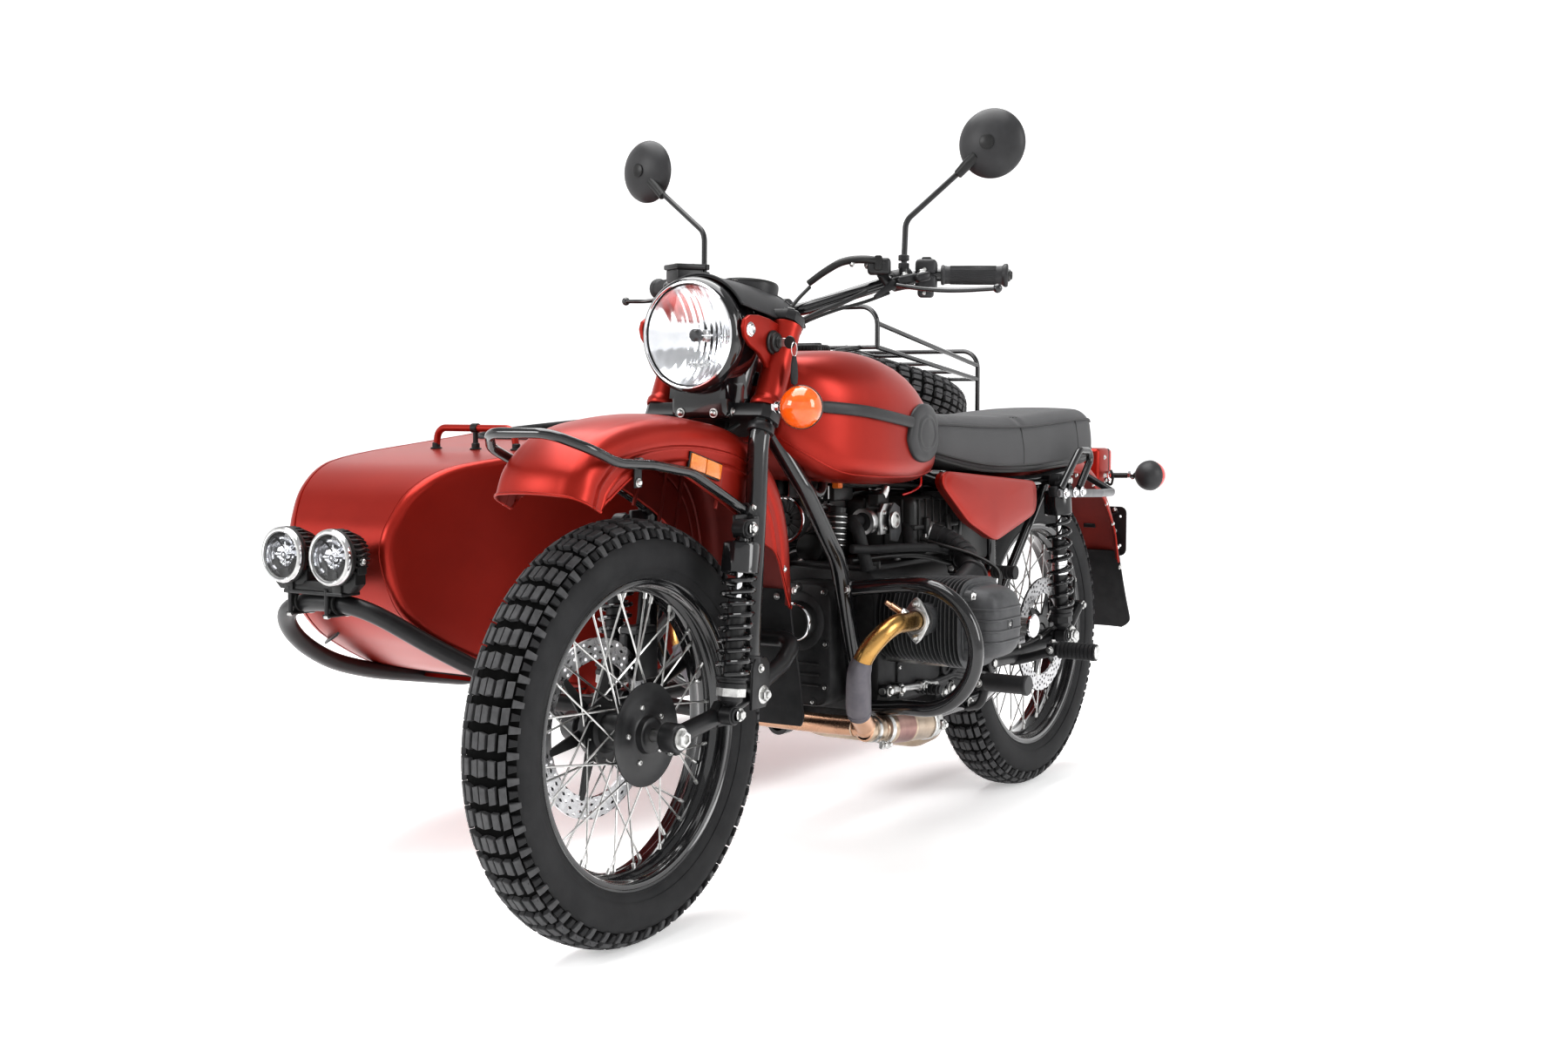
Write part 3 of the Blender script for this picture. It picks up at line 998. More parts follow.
# ------------------------------------------------------------------ fork
def fork():
    sh = Shape()
    for s in (1, -1):
        x = s * 108
        p = bend([P_ax(22, 48, x), P_ax(-212, 48, x), A(x, -1268, 427)], 150, 10)
        tube(sh, p, 18, "gloss_black", 32)
        # foot bracket round the leg's lower end, and the pivot lug
        prism(sh, [(-34, -22), (-30, 48), (-22, 62), (10, 62), (20, 50), (20, -4), (8, -22)], A(s * 122, -1254, 387), Y, Z, A(s, 0, 0), 6, "satin_black", 1.6, 2)
        rbox(sh, (s * 100, -1284, 417), (s * 125, -1250, 443), "satin_black", 4)
        lathe(sh, [(18.2, 0), (20.5, 1.5), (20.5, 12), (18.2, 13.5)], A(x, -1266.5, 440), unit(A(0, 0.19, 1)), "satin_black", 28)
        bolt(sh, (s * 128, -1254, 387), A(s, 0, 0), 10.5, "zinc", "hex", h=8)
        lathe(sh, [(0, 0), (6, 0), (6, 3.5), (5, 4.5), (0, 4.5)], A(s * 136.5, -1254, 387), A(s, 0, 0), "zinc", 16)
        bolt(sh, (s * 128, -1262, 432), A(s, 0, 0), 5.2, "zinc", "dome")
        # shock clevis
        rbox(sh, (s * 103, -1309, 652), (s * 111, -1256, 690), "satin_black", 2.5)
        rbox(sh, (s * 133.2, -1309, 654), (s * 137.5, -1284, 684), "satin_black", 1.6)
        rbox(sh, (s * 104, -1277, 655), (s * 126.0, -1262, 687), "satin_black", 3)
        lathe(sh, [(0, 0), (7.6, 0), (7.6, 33), (0, 33)], A(s * 104, -1298, 668), A(s, 0, 0), "zinc", 20)
        bolt(sh, (s * 137.2, -1298, 668), A(s, 0, 0), 7.5, "zinc", "dome", h=5)
        bolt(sh, (s * 109, -1252, 671), A(s, 0, 0.0), 6.2, "zinc", "dome")
        # headlamp bracket clamp ring on the leg
        lathe(sh, [(18.2, -7), (22.5, -7), (23.2, -6), (23.2, 6), (22.5, 7), (18.2, 7)], P_ax(-196, 48, x), UST, "satin_black", 28)
    # yokes
    pts = [(-32, -22), (32, -22), (62, 0), (122, 20), (130, 34), (130, 62), (118, 72), (-118, 72), (-130, 62), (-130, 34), (-122, 20), (-62, 0)]
    for s0, h in ((8, 9), (-170, 12)):
        prism(sh, pts, P_ax(s0) - UST * h, -X, WST, UST, 2 * h, "satin_black", 2.5, 2)
    for s in (1, -1):
        bolt(sh, P_ax(17, 48, s * 108), UST, 11, "zinc", "hex", h=8)
    bolt(sh, P_ax(17), UST, 16, "zinc", "hex", h=9)
    lathe(sh, [(0, -178), (14, -178), (14, 12), (0, 12)], P_ax(0), UST, "satin_black", 28)
    lathe(sh, [(26, -2), (29, -1), (29, 6), (20, 8), (14, 8)], P_ax(-24), UST, "satin_black", 28)
    # steering damper knob under the lower yoke, and a steering stop
    rbox(sh, (-14, -1206, 805), (14, -1190, 825), "satin_black", 3)
    # cables and a junction below the headlamp
    tube(sh, smooth([P_ax(-176, 60, -40), P_ax(-205, 66, -20), P_ax(-222, 60, 14), P_ax(-190, 40, 46), P_ax(-150, 20, 60)], 8), 4.2, "black_plastic", 10)
    tube(sh, smooth([P_ax(-176, 40, 30), P_ax(-215, 48, 44), P_ax(-232, 30, 52), P_ax(-200, -6, 48)], 8), 3.2, "black_plastic", 10)
    sh.make("fork_tubes", "fork", "gloss_black", ["fork_legs"], sharp=35)

    # leading link
    sh = Shape()
    pts = [(98, -1470, 345), (98, -1340, 362), (98, -1254, 387), (98, -1150, 424), (92, -1098, 458)]
    allp = pts + [(-p[0], p[1], p[2]) for p in reversed(pts)]
    tube(sh, bend(allp, [0, 120, 120, 60, 45, 45, 60, 120, 120, 0], 8), 15, "satin_black", 24)
    for s in (1, -1):
        c = A(0, -1470, 345)
        lathe(sh, [(10, 84), (22, 84), (24, 86), (24, 110), (22, 113), (14, 114), (10, 114)], c, A(s, 0, 0), "satin_black", 36)
        # pinch bolt
        rbox(sh, (s * 88, -1476, 318), (s * 110, -1464, 334), "satin_black", 2.5)
        bolt(sh, (s * 99, -1477, 325), A(0, -1, 0), 4.6, "zinc", "button")
        lathe(sh, [(17, 84), (19.6, 85), (19.6, 119), (17, 120.5), (9, 121)], A(0, -1254, 387), A(s, 0, 0), "satin_black", 30)
        # lower shock clevis
        prism(sh, [(-26, -18), (22, -20), (26, -6), (24, 14), (12, 22), (-14, 22), (-26, 10)], A(s * 92, -1334, 364), Y, Z, A(s, 0, 0), 18, "satin_black", 2, 2)
        lathe(sh, [(0, 0), (7.6, 0), (7.6, 36), (0, 36)], A(s * 102, -1338, 366), A(s, 0, 0), "zinc", 20)
        bolt(sh, (s * 138, -1338, 366), A(s, 0, 0), 7.5, "zinc", "hex", h=6)
    # axle with its end nut on the left and head on the right
    lathe(sh, [(0, -116), (10, -116), (10, 116), (0, 116)], A(0, -1470, 345), X, "zinc", 24)
    lathe(sh, [(12, 114), (17.5, 114), (17.5, 116.5), (12, 117)], A(0, -1470, 345), X, "zinc", 28)
    lathe(sh, [(14.2, 116.5), (14.2, 124), (12.4, 126), (8, 126), (7.4, 122), (0, 122)], A(0, -1470, 345), X, "zinc", 6)
    lathe(sh, [(14.2, 114), (14.2, 122), (12.4, 124), (0, 124)], A(0, -1470, 345), -X, "zinc", 6)
    # brake caliper on the right-hand disc: bridge over the disc's edge, bolted halves, hose
    for a, b in ((-84, -67), (-50, -44)):
        rbox(sh, (a, -1374, 410), (b, -1316, 488), "satin_black", 5, 3)
    rbox(sh, (-84, -1372, 486), (-44, -1318, 500), "satin_black", 5, 3)
    for z in (430, 468):
        lathe(sh, [(16.5, 0), (16.5, 3), (14.5, 4.5), (0, 4.5)], A(-84, -1345, z), -X, "satin_black", 28)
    for y in (-1364, -1326):
        bolt(sh, (-84, y, 492), -X, 4.6, "zinc", "button")
    bar(sh, (-84, -1332, 375), (-84, -1332, 425), 9, "satin_black")
    bar(sh, (-98, -1332, 372), (-78, -1332, 378), 9, "satin_black")
    tube(sh, smooth([(-64, -1344, 500), (-64, -1340, 520), (-78, -1316, 548), (-84, -1284, 600), (-84, -1262, 650)], 8), 4.4, "soft_rubber", 10)
    sh.make("fork_leading_link", "fork", "satin_black", ["fork_link"], sharp=35)


fork()
sh1 = shock("front_shock_left", 125, (-1350, 366), (-1310, 668), 30, 31, 23, 9.0, "fork", "front_shocks")
sh2 = shock("front_shock_right", -125, (-1350, 366), (-1310, 668), 30, 31, 23, 9.0, "fork", None)


# ------------------------------------------------------------------ headlamp, ears, cowl
def headlamp():
    c = A(0, 0, 986)
    ax = -Y                      # towards the front
    sh = Shape()
    # shell: y runs backwards from the rim
    outer = [(0, 1156), (20, 1157), (40, 1160), (60, 1169), (74, 1181), (84, 1198), (88, 1215), (90.5, 1240), (91, 1254), (93.5, 1256), (94.5, 1259), (96.2, 1262), (97.6, 1268), (97.8, 1276), (96.0, 1284), (92.8, 1288.5),
             (89.4, 1290.2), (88.0, 1289.4)]
    lathe(sh, outer, c, ax, ["gloss_black"] * 12 + ["gloss_black"] * 5, 96)
    lathe(sh, [(90.4, 1289.6), (89.2, 1291.4), (87.4, 1291.8), (86.0, 1290.6), (85.6, 1288.0)], c, ax, "chrome", 96)
    # inner gasket step
    lathe(sh, [(86.0, 1289.0), (84.6, 1287.0), (84.2, 1284.0)], c, ax, "black_plastic", 96)
    # lower box that carries the shell
    rbox(sh, (-58, -1262, 846), (58, -1196, 912), "gloss_black", 12, 3)
    loft(sh, [[(x * k, -1229 + y * k2, z) for x, y in [(-1, -1), (1, -1), (1, 1), (-1, 1)]] for k, k2, z in ((58, 33, 880), (55, 31, 920), (40, 27, 940))], "gloss_black")
    for x, z in ((-34, 856), (0, 905), (34, 856)):
        bolt(sh, (x, -1262, z), A(0, -1, 0), 5.6, "zinc", "dome")
    for s in (1, -1):
        bolt(sh, (s * 58, -1240, 858), A(s, 0, 0), 5.2, "zinc", "dome")
        bolt(sh, (s * 58, -1218, 858), A(s, 0, 0), 5.2, "zinc", "dome")
    sh.make("headlamp_shell", "fork", "gloss_black", ["headlight"], sharp=32)

    # dished reflector with upright flutes
    sh = Shape()

    def depth(r):
        return 1285 - 46 * (1 - (r / 84.0) ** 2)
    na = 120
    rr = np.linspace(9, 83.4, 26)
    V = []
    for r in rr:
        for j in range(na):
            t = 2 * math.pi * j / na
            x = r * math.cos(t)
            V.append(c + A(x, -(depth(r) - 1.5 * abs(math.sin(math.pi * x / 13.0)) * min(1.0, (83.4 - r) / 10)), r * math.sin(t)))
    sh.add(V, [[i * na + j, i * na + (j + 1) % na, (i + 1) * na + (j + 1) % na, (i + 1) * na + j] for i in range(len(rr) - 1) for j in range(na)], "reflector")
    lathe(sh, [(9.2, depth(9) + 0.5), (9.2, depth(9) - 5), (0, depth(9) - 5)], c, ax, "black_plastic", 32)
    # bulb with its shield
    lathe(sh, [(9.5, 1236), (9.5, 1244), (7.5, 1246), (5.4, 1248), (5.4, 1262), (3.2, 1267), (0, 1268)], c, ax, ["zinc", "zinc", "zinc", "glass", "glass", "glass"], 28)
    lathe(sh, [(0, 1272), (7, 1271.6), (10.6, 1269), (11.4, 1264), (11.0, 1258)], c, ax, "gloss_black", 28)
    for s in (1, -1):
        bar(sh, c + A(s * 9.2, -1264, 0), c + A(s * 26, -1252, 0), 1.3, "chrome", seg=8)
    # small position lamp
    lathe(sh, [(6, 1238), (6, 1254), (4, 1258), (0, 1259)], c + A(24, 0, -38), ax, "glass", 18)
    sh.make("headlamp_reflector", "fork", "lamp", sharp=24)
    # clear lens, lightly domed, with a second surface behind it
    sh = Shape()
    out = [(85.6, 1286.5), (84, 1288.5), (78, 1290.6), (66, 1293.2), (50, 1295.8), (34, 1297.4), (18, 1298.3), (0, 1298.7)]
    inn = [(r * 0.985, y - 2.6) for r, y in reversed(out)]
    lathe(sh, out + inn + [out[0]], c, ax, "glass", 72)
    sh.make("headlamp_lens", "fork", "lamp", sharp=30)

    # ears and sleeves
    sh = Shape()
    for s in (1, -1):
        a, b = P_ax(-156, 48, s * 108), P_ax(-3, 48, s * 108)
        L = np.linalg.norm(b - a)
        lathe(sh, [(18.4, -1), (27.5, -2), (29.0, 1), (28.6, 9), (25.6, 13), (25.0, 18), (25.0, L - 12), (26.4, L - 8), (26.4, L - 2), (24, L), (18.4, L)], a, UST, "paint_red", 40)
        ear = [(-1180, 902), (-1196, 914), (-1212, 934), (-1236, 956), (-1262, 968), (-1276, 982), (-1281, 998), (-1276, 1011), (-1262, 1018), (-1236, 1019), (-1204, 1014), (-1168, 1003), (-1150, 996)]
        prism(sh, ear, A(s * 100, 0, 0), Y, Z, A(s, 0, 0), 9, "paint_red", 2.6, 3)
        # web from the plate to the sleeve
        loft(sh, [[A(s * 104, y, z) + A(s * 5 * i, 0, 0) for i in (0, 1)] + [A(s * 109, y + 10, z) for _ in (0,)] for y, z in ((-1186, 905), (-1178, 950), (-1160, 998))], "paint_red", cap0=True, cap1=True)
        # chrome screw and washer at the front
        cc = A(s * 109, -1262, 994)
        lathe(sh, [(0, -1), (12.2, -1), (12.6, 0.4), (11.4, 1.6), (9.8, 2.2), (9.4, 3.6), (7.0, 5.4), (5.6, 5.6), (5.4, 3.2), (0, 3.2)], cc, A(s, 0, 0), "chrome", 32)
    # ignition lock on the left-hand ear
    lc = A(109, -1196, 974)
    lathe(sh, [(0, -1), (19, -1), (20.5, 1), (20.5, 3.5), (18.5, 5.0), (17, 5.2), (16.4, 10), (14.4, 11.5), (10, 11.8), (9.6, 14.5), (0, 14.8)], lc, X, "black_plastic", 40)
    rbox(sh, lc + A(14, -1.4, -7), lc + A(30, 1.4, 7), "zinc", 0.6, 1)
    lathe(sh, [(0, -1.5), (10, -1.5), (11, 0), (10, 1.5), (0, 1.5)], lc + A(34, 0, 0), Y, "black_plastic", 24)
    ring = [lc + A(42 + 7 * math.sin(t) * 0.4, 2 * math.cos(t), -9 - 11 * (1 - math.cos(t)) * 0.5 * 1.6) for t in np.linspace(0, 2 * math.pi, 18)]
    tube(sh, np.array([lc + A(43 + 2.0 * math.sin(t), 5.5 * math.sin(t), -12 - 12 * math.cos(t)) for t in np.linspace(0, 2 * math.pi, 25)]), 0.8, "zinc", 6)
    tag = [(-4, 0), (4, 0), (8, -14), (10, -34), (8, -46), (0, -49), (-8, -46), (-10, -34), (-8, -14)]
    prism(sh, tag, lc + A(41, 0, -23), Y, Z, X, 4.0, "soft_rubber", 1.2, 2)
    sh.make("fork_ears", "fork", "paint_red", ["fork_covers"], sharp=36)

    # cowl: arched cover with a turned-down front lip, and the round instrument pod
    sh = Shape()
    st = [(-1258, 103.0, 986, 60), (-1250, 104.0, 985, 61), (-1230, 104.6, 982, 62), (-1190, 107, 976, 64), (-1150, 110, 968, 66), (-1115, 114, 959, 66), (-1092, 117, 952, 64), (-1086, 116, 951, 63)]
    n = 33
    rows = []
    for y, R, zc, half in st:
        an = np.radians(np.linspace(-half, half, n))
        # the skirt's edges flare very slightly
        rows.append(np.stack([R * np.sin(an), np.full(n, y), zc + R * np.cos(an)], 1))
    V, F = [], []
    for r in rows:
        V.extend(r.tolist())
    m = len(rows) * n
    for (y, R, zc, half) in st:
        an = np.radians(np.linspace(-half, half, n))
        V.extend(np.stack([(R - 3.5) * np.sin(an), np.full(n, y), zc + (R - 3.5) * np.cos(an)], 1).tolist())
    K = len(rows)
    for i in range(K - 1):
        for j in range(n - 1):
            a = i * n + j
            F.append([a, a + 1, a + n + 1, a + n])
            F.append([m + a, m + a + n, m + a + n + 1, m + a + 1])
        for j in (0, n - 1):
            a = i * n + j
            F.append([a, a + n, m + a + n, m + a])
    for i in (0, K - 1):
        for j in range(n - 1):
            a = i * n + j
            F.append([a, m + a, m + a + 1, a + 1])
    sh.add(V, F, "grey_plastic")
    for e in (0, n - 1):
        tube(sh, np.array([r[e] for r in rows]), 2.6, "grey_plastic", 8)
    tube(sh, rows[0], 2.2, "grey_plastic", 8)
    tube(sh, rows[-1], 2.6, "grey_plastic", 8)
    pc = A(0, -1109, 1030)
    pa = unit(A(0, 7, 47))
    lathe(sh, [(45, 0), (49.0, 4), (49.6, 30), (50.6, 38), (51.0, 46), (50.4, 50), (48.2, 52.6), (45.6, 52.6), (44.4, 50.2)], pc, pa, ["grey_plastic"] * 4 + ["black_plastic"] * 4, 56)
    lathe(sh, [(0, 47.5), (41, 47.5), (44.6, 50.4)], pc, pa, ["dial_face", "dial_face"], 56)
    lathe(sh, [(44.0, 50.2), (40, 51.4), (25, 52.4), (0, 52.8)], pc, pa, "glass", 48)
    u, v, w = basis(pa)
    for k in range(25):
        a = math.radians(220 - 10.5 * k)
        e = X * math.cos(a) + unit(np.cross(pa, X)) * math.sin(a)
        tt = unit(np.cross(pa, e))
        L0, L1, wd = (31, 38, 0.9) if k % 2 == 0 else (34.5, 38, 0.5)
        o = pc + pa * 47.7
        prism(sh, [(L0, -wd), (L1, -wd), (L1, wd), (L0, wd)], o, e, tt, pa, 0.5, "white_ring", 0.0, 1)
    e = X * math.cos(math.radians(215)) + unit(np.cross(pa, X)) * math.sin(math.radians(215))
    tt = unit(np.cross(pa, e))
    prism(sh, [(-7, -1.6), (30, -0.6), (30, 0.6), (-7, 1.6)], pc + pa * 48.4, e, tt, pa, 0.8, "horn_orange", 0.0, 1)
    lathe(sh, [(4.5, 48), (4.5, 50), (0, 50.4)], pc, pa, "black_plastic", 20)
    # row of tell-tales and two screws on the cowl
    for x in (-20, 0, 20):
        q = A(x, -1178, 976 + math.sqrt(107.5 ** 2 - x * x))
        lathe(sh, [(5.4, -1), (5.4, 1.0), (4.2, 1.6), (3.6, 1.2), (0, 1.6)], q, unit(q - A(0, -1178, 976)), ["black_plastic", "black_plastic", "black_plastic", "amber_flat" if x else "red_lens"], 18)
    sh.make("instrument_cover", "fork", "grey_plastic", ["instrument_cowl"], sharp=34)


headlamp()


# ------------------------------------------------------------------ handlebar, grips, controls, mirrors, signal
BARP = [(92, -1078, 1034), (205, -977, 1082), (252, -919, 1097), (385, -857, 1095)]
G0, G1 = A(268, -911.5, 1096.8), A(385, -857, 1095)
GD = unit(G1 - G0)
GU = unit(Z - np.dot(Z, GD) * GD)          # up, square to the grip
GF = unit(np.cross(GD, GU))                # backwards or forwards
if GF[1] > 0:
    GF = -GF                               # points forwards


def bars():
    pts = [(-p[0], p[1], p[2]) for p in reversed(BARP)] + BARP
    sh = Shape()
    tube(sh, bend(pts, [0, 50, 50, 40, 40, 50, 50, 0], 10), 11.1, "gloss_black", 24)

    def grip(sh):
        # grip: slightly waisted tube with moulded rings and an end flange
        prof = [(11.3, 8), (16.4, 8), (17.6, 9.5), (17.6, 13), (16.2, 14.5), (15.6, 20), (15.9, 45), (16.3, 75), (16.0, 104), (16.4, 114), (19.6, 117.5), (20.4, 119.5), (20.4, 122.5), (19.2, 124.5), (15, 125.2), (0, 125.6)]
        lathe(sh, prof, G0, GD, "grey_plastic", 40)
        for k in range(36):
            a = 2 * math.pi * k / 36
            e = GU * math.cos(a) + GF * math.sin(a)
            tube(sh, np.array([G0 + GD * 24 + e * 15.6, G0 + GD * 60 + e * 16.0, G0 + GD * 104 + e * 16.0]), 0.8, "grey_plastic", 5)
        lathe(sh, [(0, 124), (8, 124), (8, 130), (6, 132.5), (0, 132.8)], G0, GD, "black_plastic", 24)
        # riser clamp with two bolts
        lathe(sh, [(11.2, 48), (19, 48), (20, 49), (20, 65), (19, 66), (11.2, 66)], A(0, -1078, 1034), X, "satin_black", 32)
        rbox(sh, (48, -1094, 1002), (66, -1062, 1036), "satin_black", 3)
        for y in (-1092, -1064):
            bolt(sh, (57, y, 1046), Z, 4.4, "zinc", "button")
            rbox(sh, (49, y - 6, 1022), (65, y + 6, 1046), "satin_black", 2.5)
    one = Shape()
    grip(one)
    sh.join(one)
    two = Shape()
    grip(two)
    sh.join(two.mirrored())
    sh.make("handlebar_with_grips", "fork", "gloss_black", ["handlebar"], sharp=34)

    def housing(sh, left):
        """Switch housing, lever perch and lever on one side, drawn for the left."""
        c = G0 - GD * 18
        R = np.stack([GD, -GF, GU], 1)
        # two-part switch block
        blk = Shape()
        rbox(blk, (-19, -22, 1.0), (19, 22, 27), "grey_plastic", 8, 3)
        rbox(blk, (-19, -22, -27), (19, 22, -0.4), "grey_plastic", 8, 3)
        rbox(blk, (-14, -24, -40), (14, 6, -22), "grey_plastic", 6, 3)
        rbox(blk, (-9, -6, 24), (9, 8, 31.5), "grey_plastic", 4, 2)
        rbox(blk, (-5, 19, 6), (6, 26, 16), "black_plastic", 2.5, 2)
        rbox(blk, (-8, 20, -14), (8, 25, -4), "black_plastic", 2, 2)
        bolt(blk, (-2, -23, 8), -Y, 3.6, "zinc", "button", washer=False)
        bolt(blk, (-2, -24, -33), -Y, 3.4, "zinc", "button", washer=False)
        blk.v = [v @ R.T + c for v in blk.v]
        sh.join(blk)
        # perch and its clamp
        pc = A(222, -957, 1088)
        pd = unit(A(252 - 205, -919 + 977, 1097 - 1082))
        pu = unit(Z - np.dot(Z, pd) * pd)
        pf = unit(np.cross(pd, pu))
        if pf[1] > 0:
            pf = -pf
        R2 = np.stack([pd, -pf, pu], 1)
        per = Shape()
        lathe(per, [(11.2, -17), (17.5, -17), (18.5, -15.5), (18.5, 15.5), (17.5, 17), (11.2, 17)], (0, 0, 0), X, "satin_black", 30)
        rbox(per, (-24, -46, -11), (16, -8, 7), "satin_black", 6, 3)
        rbox(per, (6, -58, -10), (34, -34, 6), "satin_black", 6, 3)
        bolt(per, (-4, -30, 7), Z, 4.4, "zinc", "hex")
        bolt(per, (22, -46, 6), Z, 5.0, "zinc", "hex")
        lathe(per, [(4.8, 0), (7.5, 1), (8.2, 6), (7.4, 12), (5.6, 26), (3.8, 44), (3.0, 48), (0, 48)], (-24, -30, -3), A(-0.92, -0.12, -0.36), "soft_rubber", 20)
        per.v = [v @ R2.T + pc for v in per.v]
        sh.join(per)
        # lever blade, flat and swept, ending in a ball
        lp = smooth([(238, -1000, 1076), (262, -992, 1072), (290, -980, 1068), (318, -966, 1066), (346, -953, 1066), (374, -945, 1067), (400, -938, 1068)], 5)
        T, U, W = frames(lp, Z)
        ring = []
        for i, p in enumerate(lp):
            t = i / (len(lp) - 1)
            hh = 4.6 - 0.8 * t
            ww = 8.5 - 2.6 * t
            ring.append([p + U[i] * hh * math.sin(a) * (0.92 if abs(math.cos(a)) > 0.5 else 1) + W[i] * ww * math.cos(a) for a in np.linspace(0, 2 * math.pi, 16, endpoint=False)])
        loft(sh, ring, "gloss_black")
        sphere(sh, (400, -938, 1068), 8.0, "gloss_black", 24, 12)

    sh = Shape()
    housing(sh, True)
    # folded parking-brake lever over the clutch perch
    path = smooth([(222, -1012, 1113), (196, -1036, 1119), (160, -1050, 1116), (128, -1058, 1100), (98, -1064, 1080)], 6)
    T, U, W = frames(path, Z)
    ring = []
    for i, p in enumerate(path):
        t = i / (len(path) - 1)
        ring.append([p + U[i] * (7.5 - 2 * t) * math.sin(a) + W[i] * (12 - 4.5 * t) * math.cos(a) for a in np.linspace(0, 2 * math.pi, 14, endpoint=False)])
    loft(sh, ring, "black_plastic")
    R = rotz(28)
    rbox(sh, (188, -1030, 1094), (228, -990, 1122), "satin_black", 6, 3, R)
    rbox(sh, (200, -1036, 1100), (214, -984, 1126), "black_plastic", 4, 2, R)
    bolt(sh, (196, -1029, 1110), A(-0.3, -0.95, 0.2), 4.8, "zinc", "hex")
    bolt(sh, (176, -1047, 1112), A(-0.3, -0.95, 0.2), 4.0, "zinc", "button")
    bar(sh, (206, -1000, 1098), (208, -978, 1078), 9, "satin_black")
    # held cables: clutch, parking brake and switch lead run down under the cowl
    cab = [[(190, -1020, 1066), (160, -1050, 1046), (128, -1090, 1026), (100, -1122, 1004), (80, -1150, 980), (66, -1172, 956)],
           [(102, -1066, 1074), (92, -1092, 1050), (82, -1118, 1020), (72, -1142, 992), (62, -1164, 964)],
           [(214, -984, 1064), (184, -1016, 1048), (146, -1056, 1032), (112, -1096, 1012), (86, -1130, 988), (70, -1160, 962)]]
    for k, pth in enumerate(cab):
        tube(sh, smooth(pth, 8), (4.0, 3.2, 3.0)[k], "black_plastic", 10)
    sh.make("left_controls", "fork", "grey_plastic", ["hand_controls"], sharp=34)

    sh = Shape()
    housing(sh, False)
    sh = sh.mirrored()
    # brake fluid reservoir and the front brake's hose
    R = rotz(-28)
    rbox(sh, (-238, -1030, 1094), (-186, -976, 1120), "satin_black", 5, 3, R)
    rbox(sh, (-241, -1033, 1118), (-183, -973, 1128), "satin_black", 3, 2, R)
    for q in ((-222, -1016, 1128), (-202, -990, 1128)):
        bolt(sh, q, Z, 3.4, "zinc", "button", washer=False)
    bar(sh, (-212, -990, 1080), (-212, -1000, 1100), 10, "satin_black")
    cab = [[(-190, -1020, 1066), (-160, -1050, 1046), (-128, -1090, 1026), (-100, -1122, 1004), (-80, -1150, 980), (-66, -1172, 956)],
           [(-214, -984, 1064), (-184, -1016, 1048), (-146, -1056, 1032), (-112, -1096, 1012), (-86, -1130, 988), (-70, -1160, 962)],
           [(-206, -1008, 1070), (-176, -1050, 1052), (-146, -1096, 1024), (-130, -1140, 972), (-122, -1166, 910), (-114, -1190, 840)]]
    for k, pth in enumerate(cab):
        tube(sh, smooth(pth, 8), (4.2, 3.2, 3.6)[k], "black_plastic", 10)
    sh.make("right_controls", "fork", "grey_plastic", sharp=34)

    # mirrors
    sh = Shape()
    for s, bx in ((1, 236), (-1, 188)):
        tube(sh, bend([(s * bx, -974, 1092), (s * (bx + 2), -970, 1188), (s * 322, -925, 1274)], 30, 9), 5, "satin_black", 14)
        lathe(sh, [(8.5, 0), (8.5, 20), (7.8, 22), (7.8, 24)], (s * bx, -974, 1084), unit(A(0, 0.04, 1)), "satin_black", 20)
        for z in (1110, 1124):
            lathe(sh, [(5, -5), (8.6, -5), (9.4, -4), (9.4, 4), (8.6, 5), (5, 5)], (s * bx, -973, z), unit(A(0, 0.04, 1)), "satin_black", 6)
        rbox(sh, (s * bx - 12, -984, 1070), (s * bx + 12, -958, 1092), "satin_black", 5, 3)
        tube(sh, np.array([(s * 316, -928, 1266), (s * 334, -925, 1284), (s * 350, -921, 1298)]), [8, 9.5, 11], "black_plastic", 18)
        R = rotz(s * 7)
        one = Shape()
        # back dish with a raised rim, cone and boss; the glass faces the rider
        lathe(one, [(0, -31.6), (10, -31.4), (17, -30.6), (26, -28.4), (38, -25.0), (48, -19.6), (55, -13.6), (58.6, -8.6), (60.0, -4.6), (59.6, -1.4), (58.2, 0.0), (56.4, 0.0), (55.2, -1.6)], (0, 0, 0), Y, "grey_plastic", 56)
        lathe(one, [(55.4, -1.4), (40, -2.0), (0, -2.4)], (0, 0, 0), Y, "mirror_glass", 56)
        lathe(one, [(12, -30.5), (13, -33.6), (11, -34.6), (0, -34.8)], (0, 0, 0), Y, "black_plastic", 28)
        one.v = [v @ R.T + A(s * 370, -900, 1319) for v in one.v]
        sh.join(one)
    sh.make("mirror_pair", "fork", "grey_plastic", ["mirrors"], sharp=34)


bars()


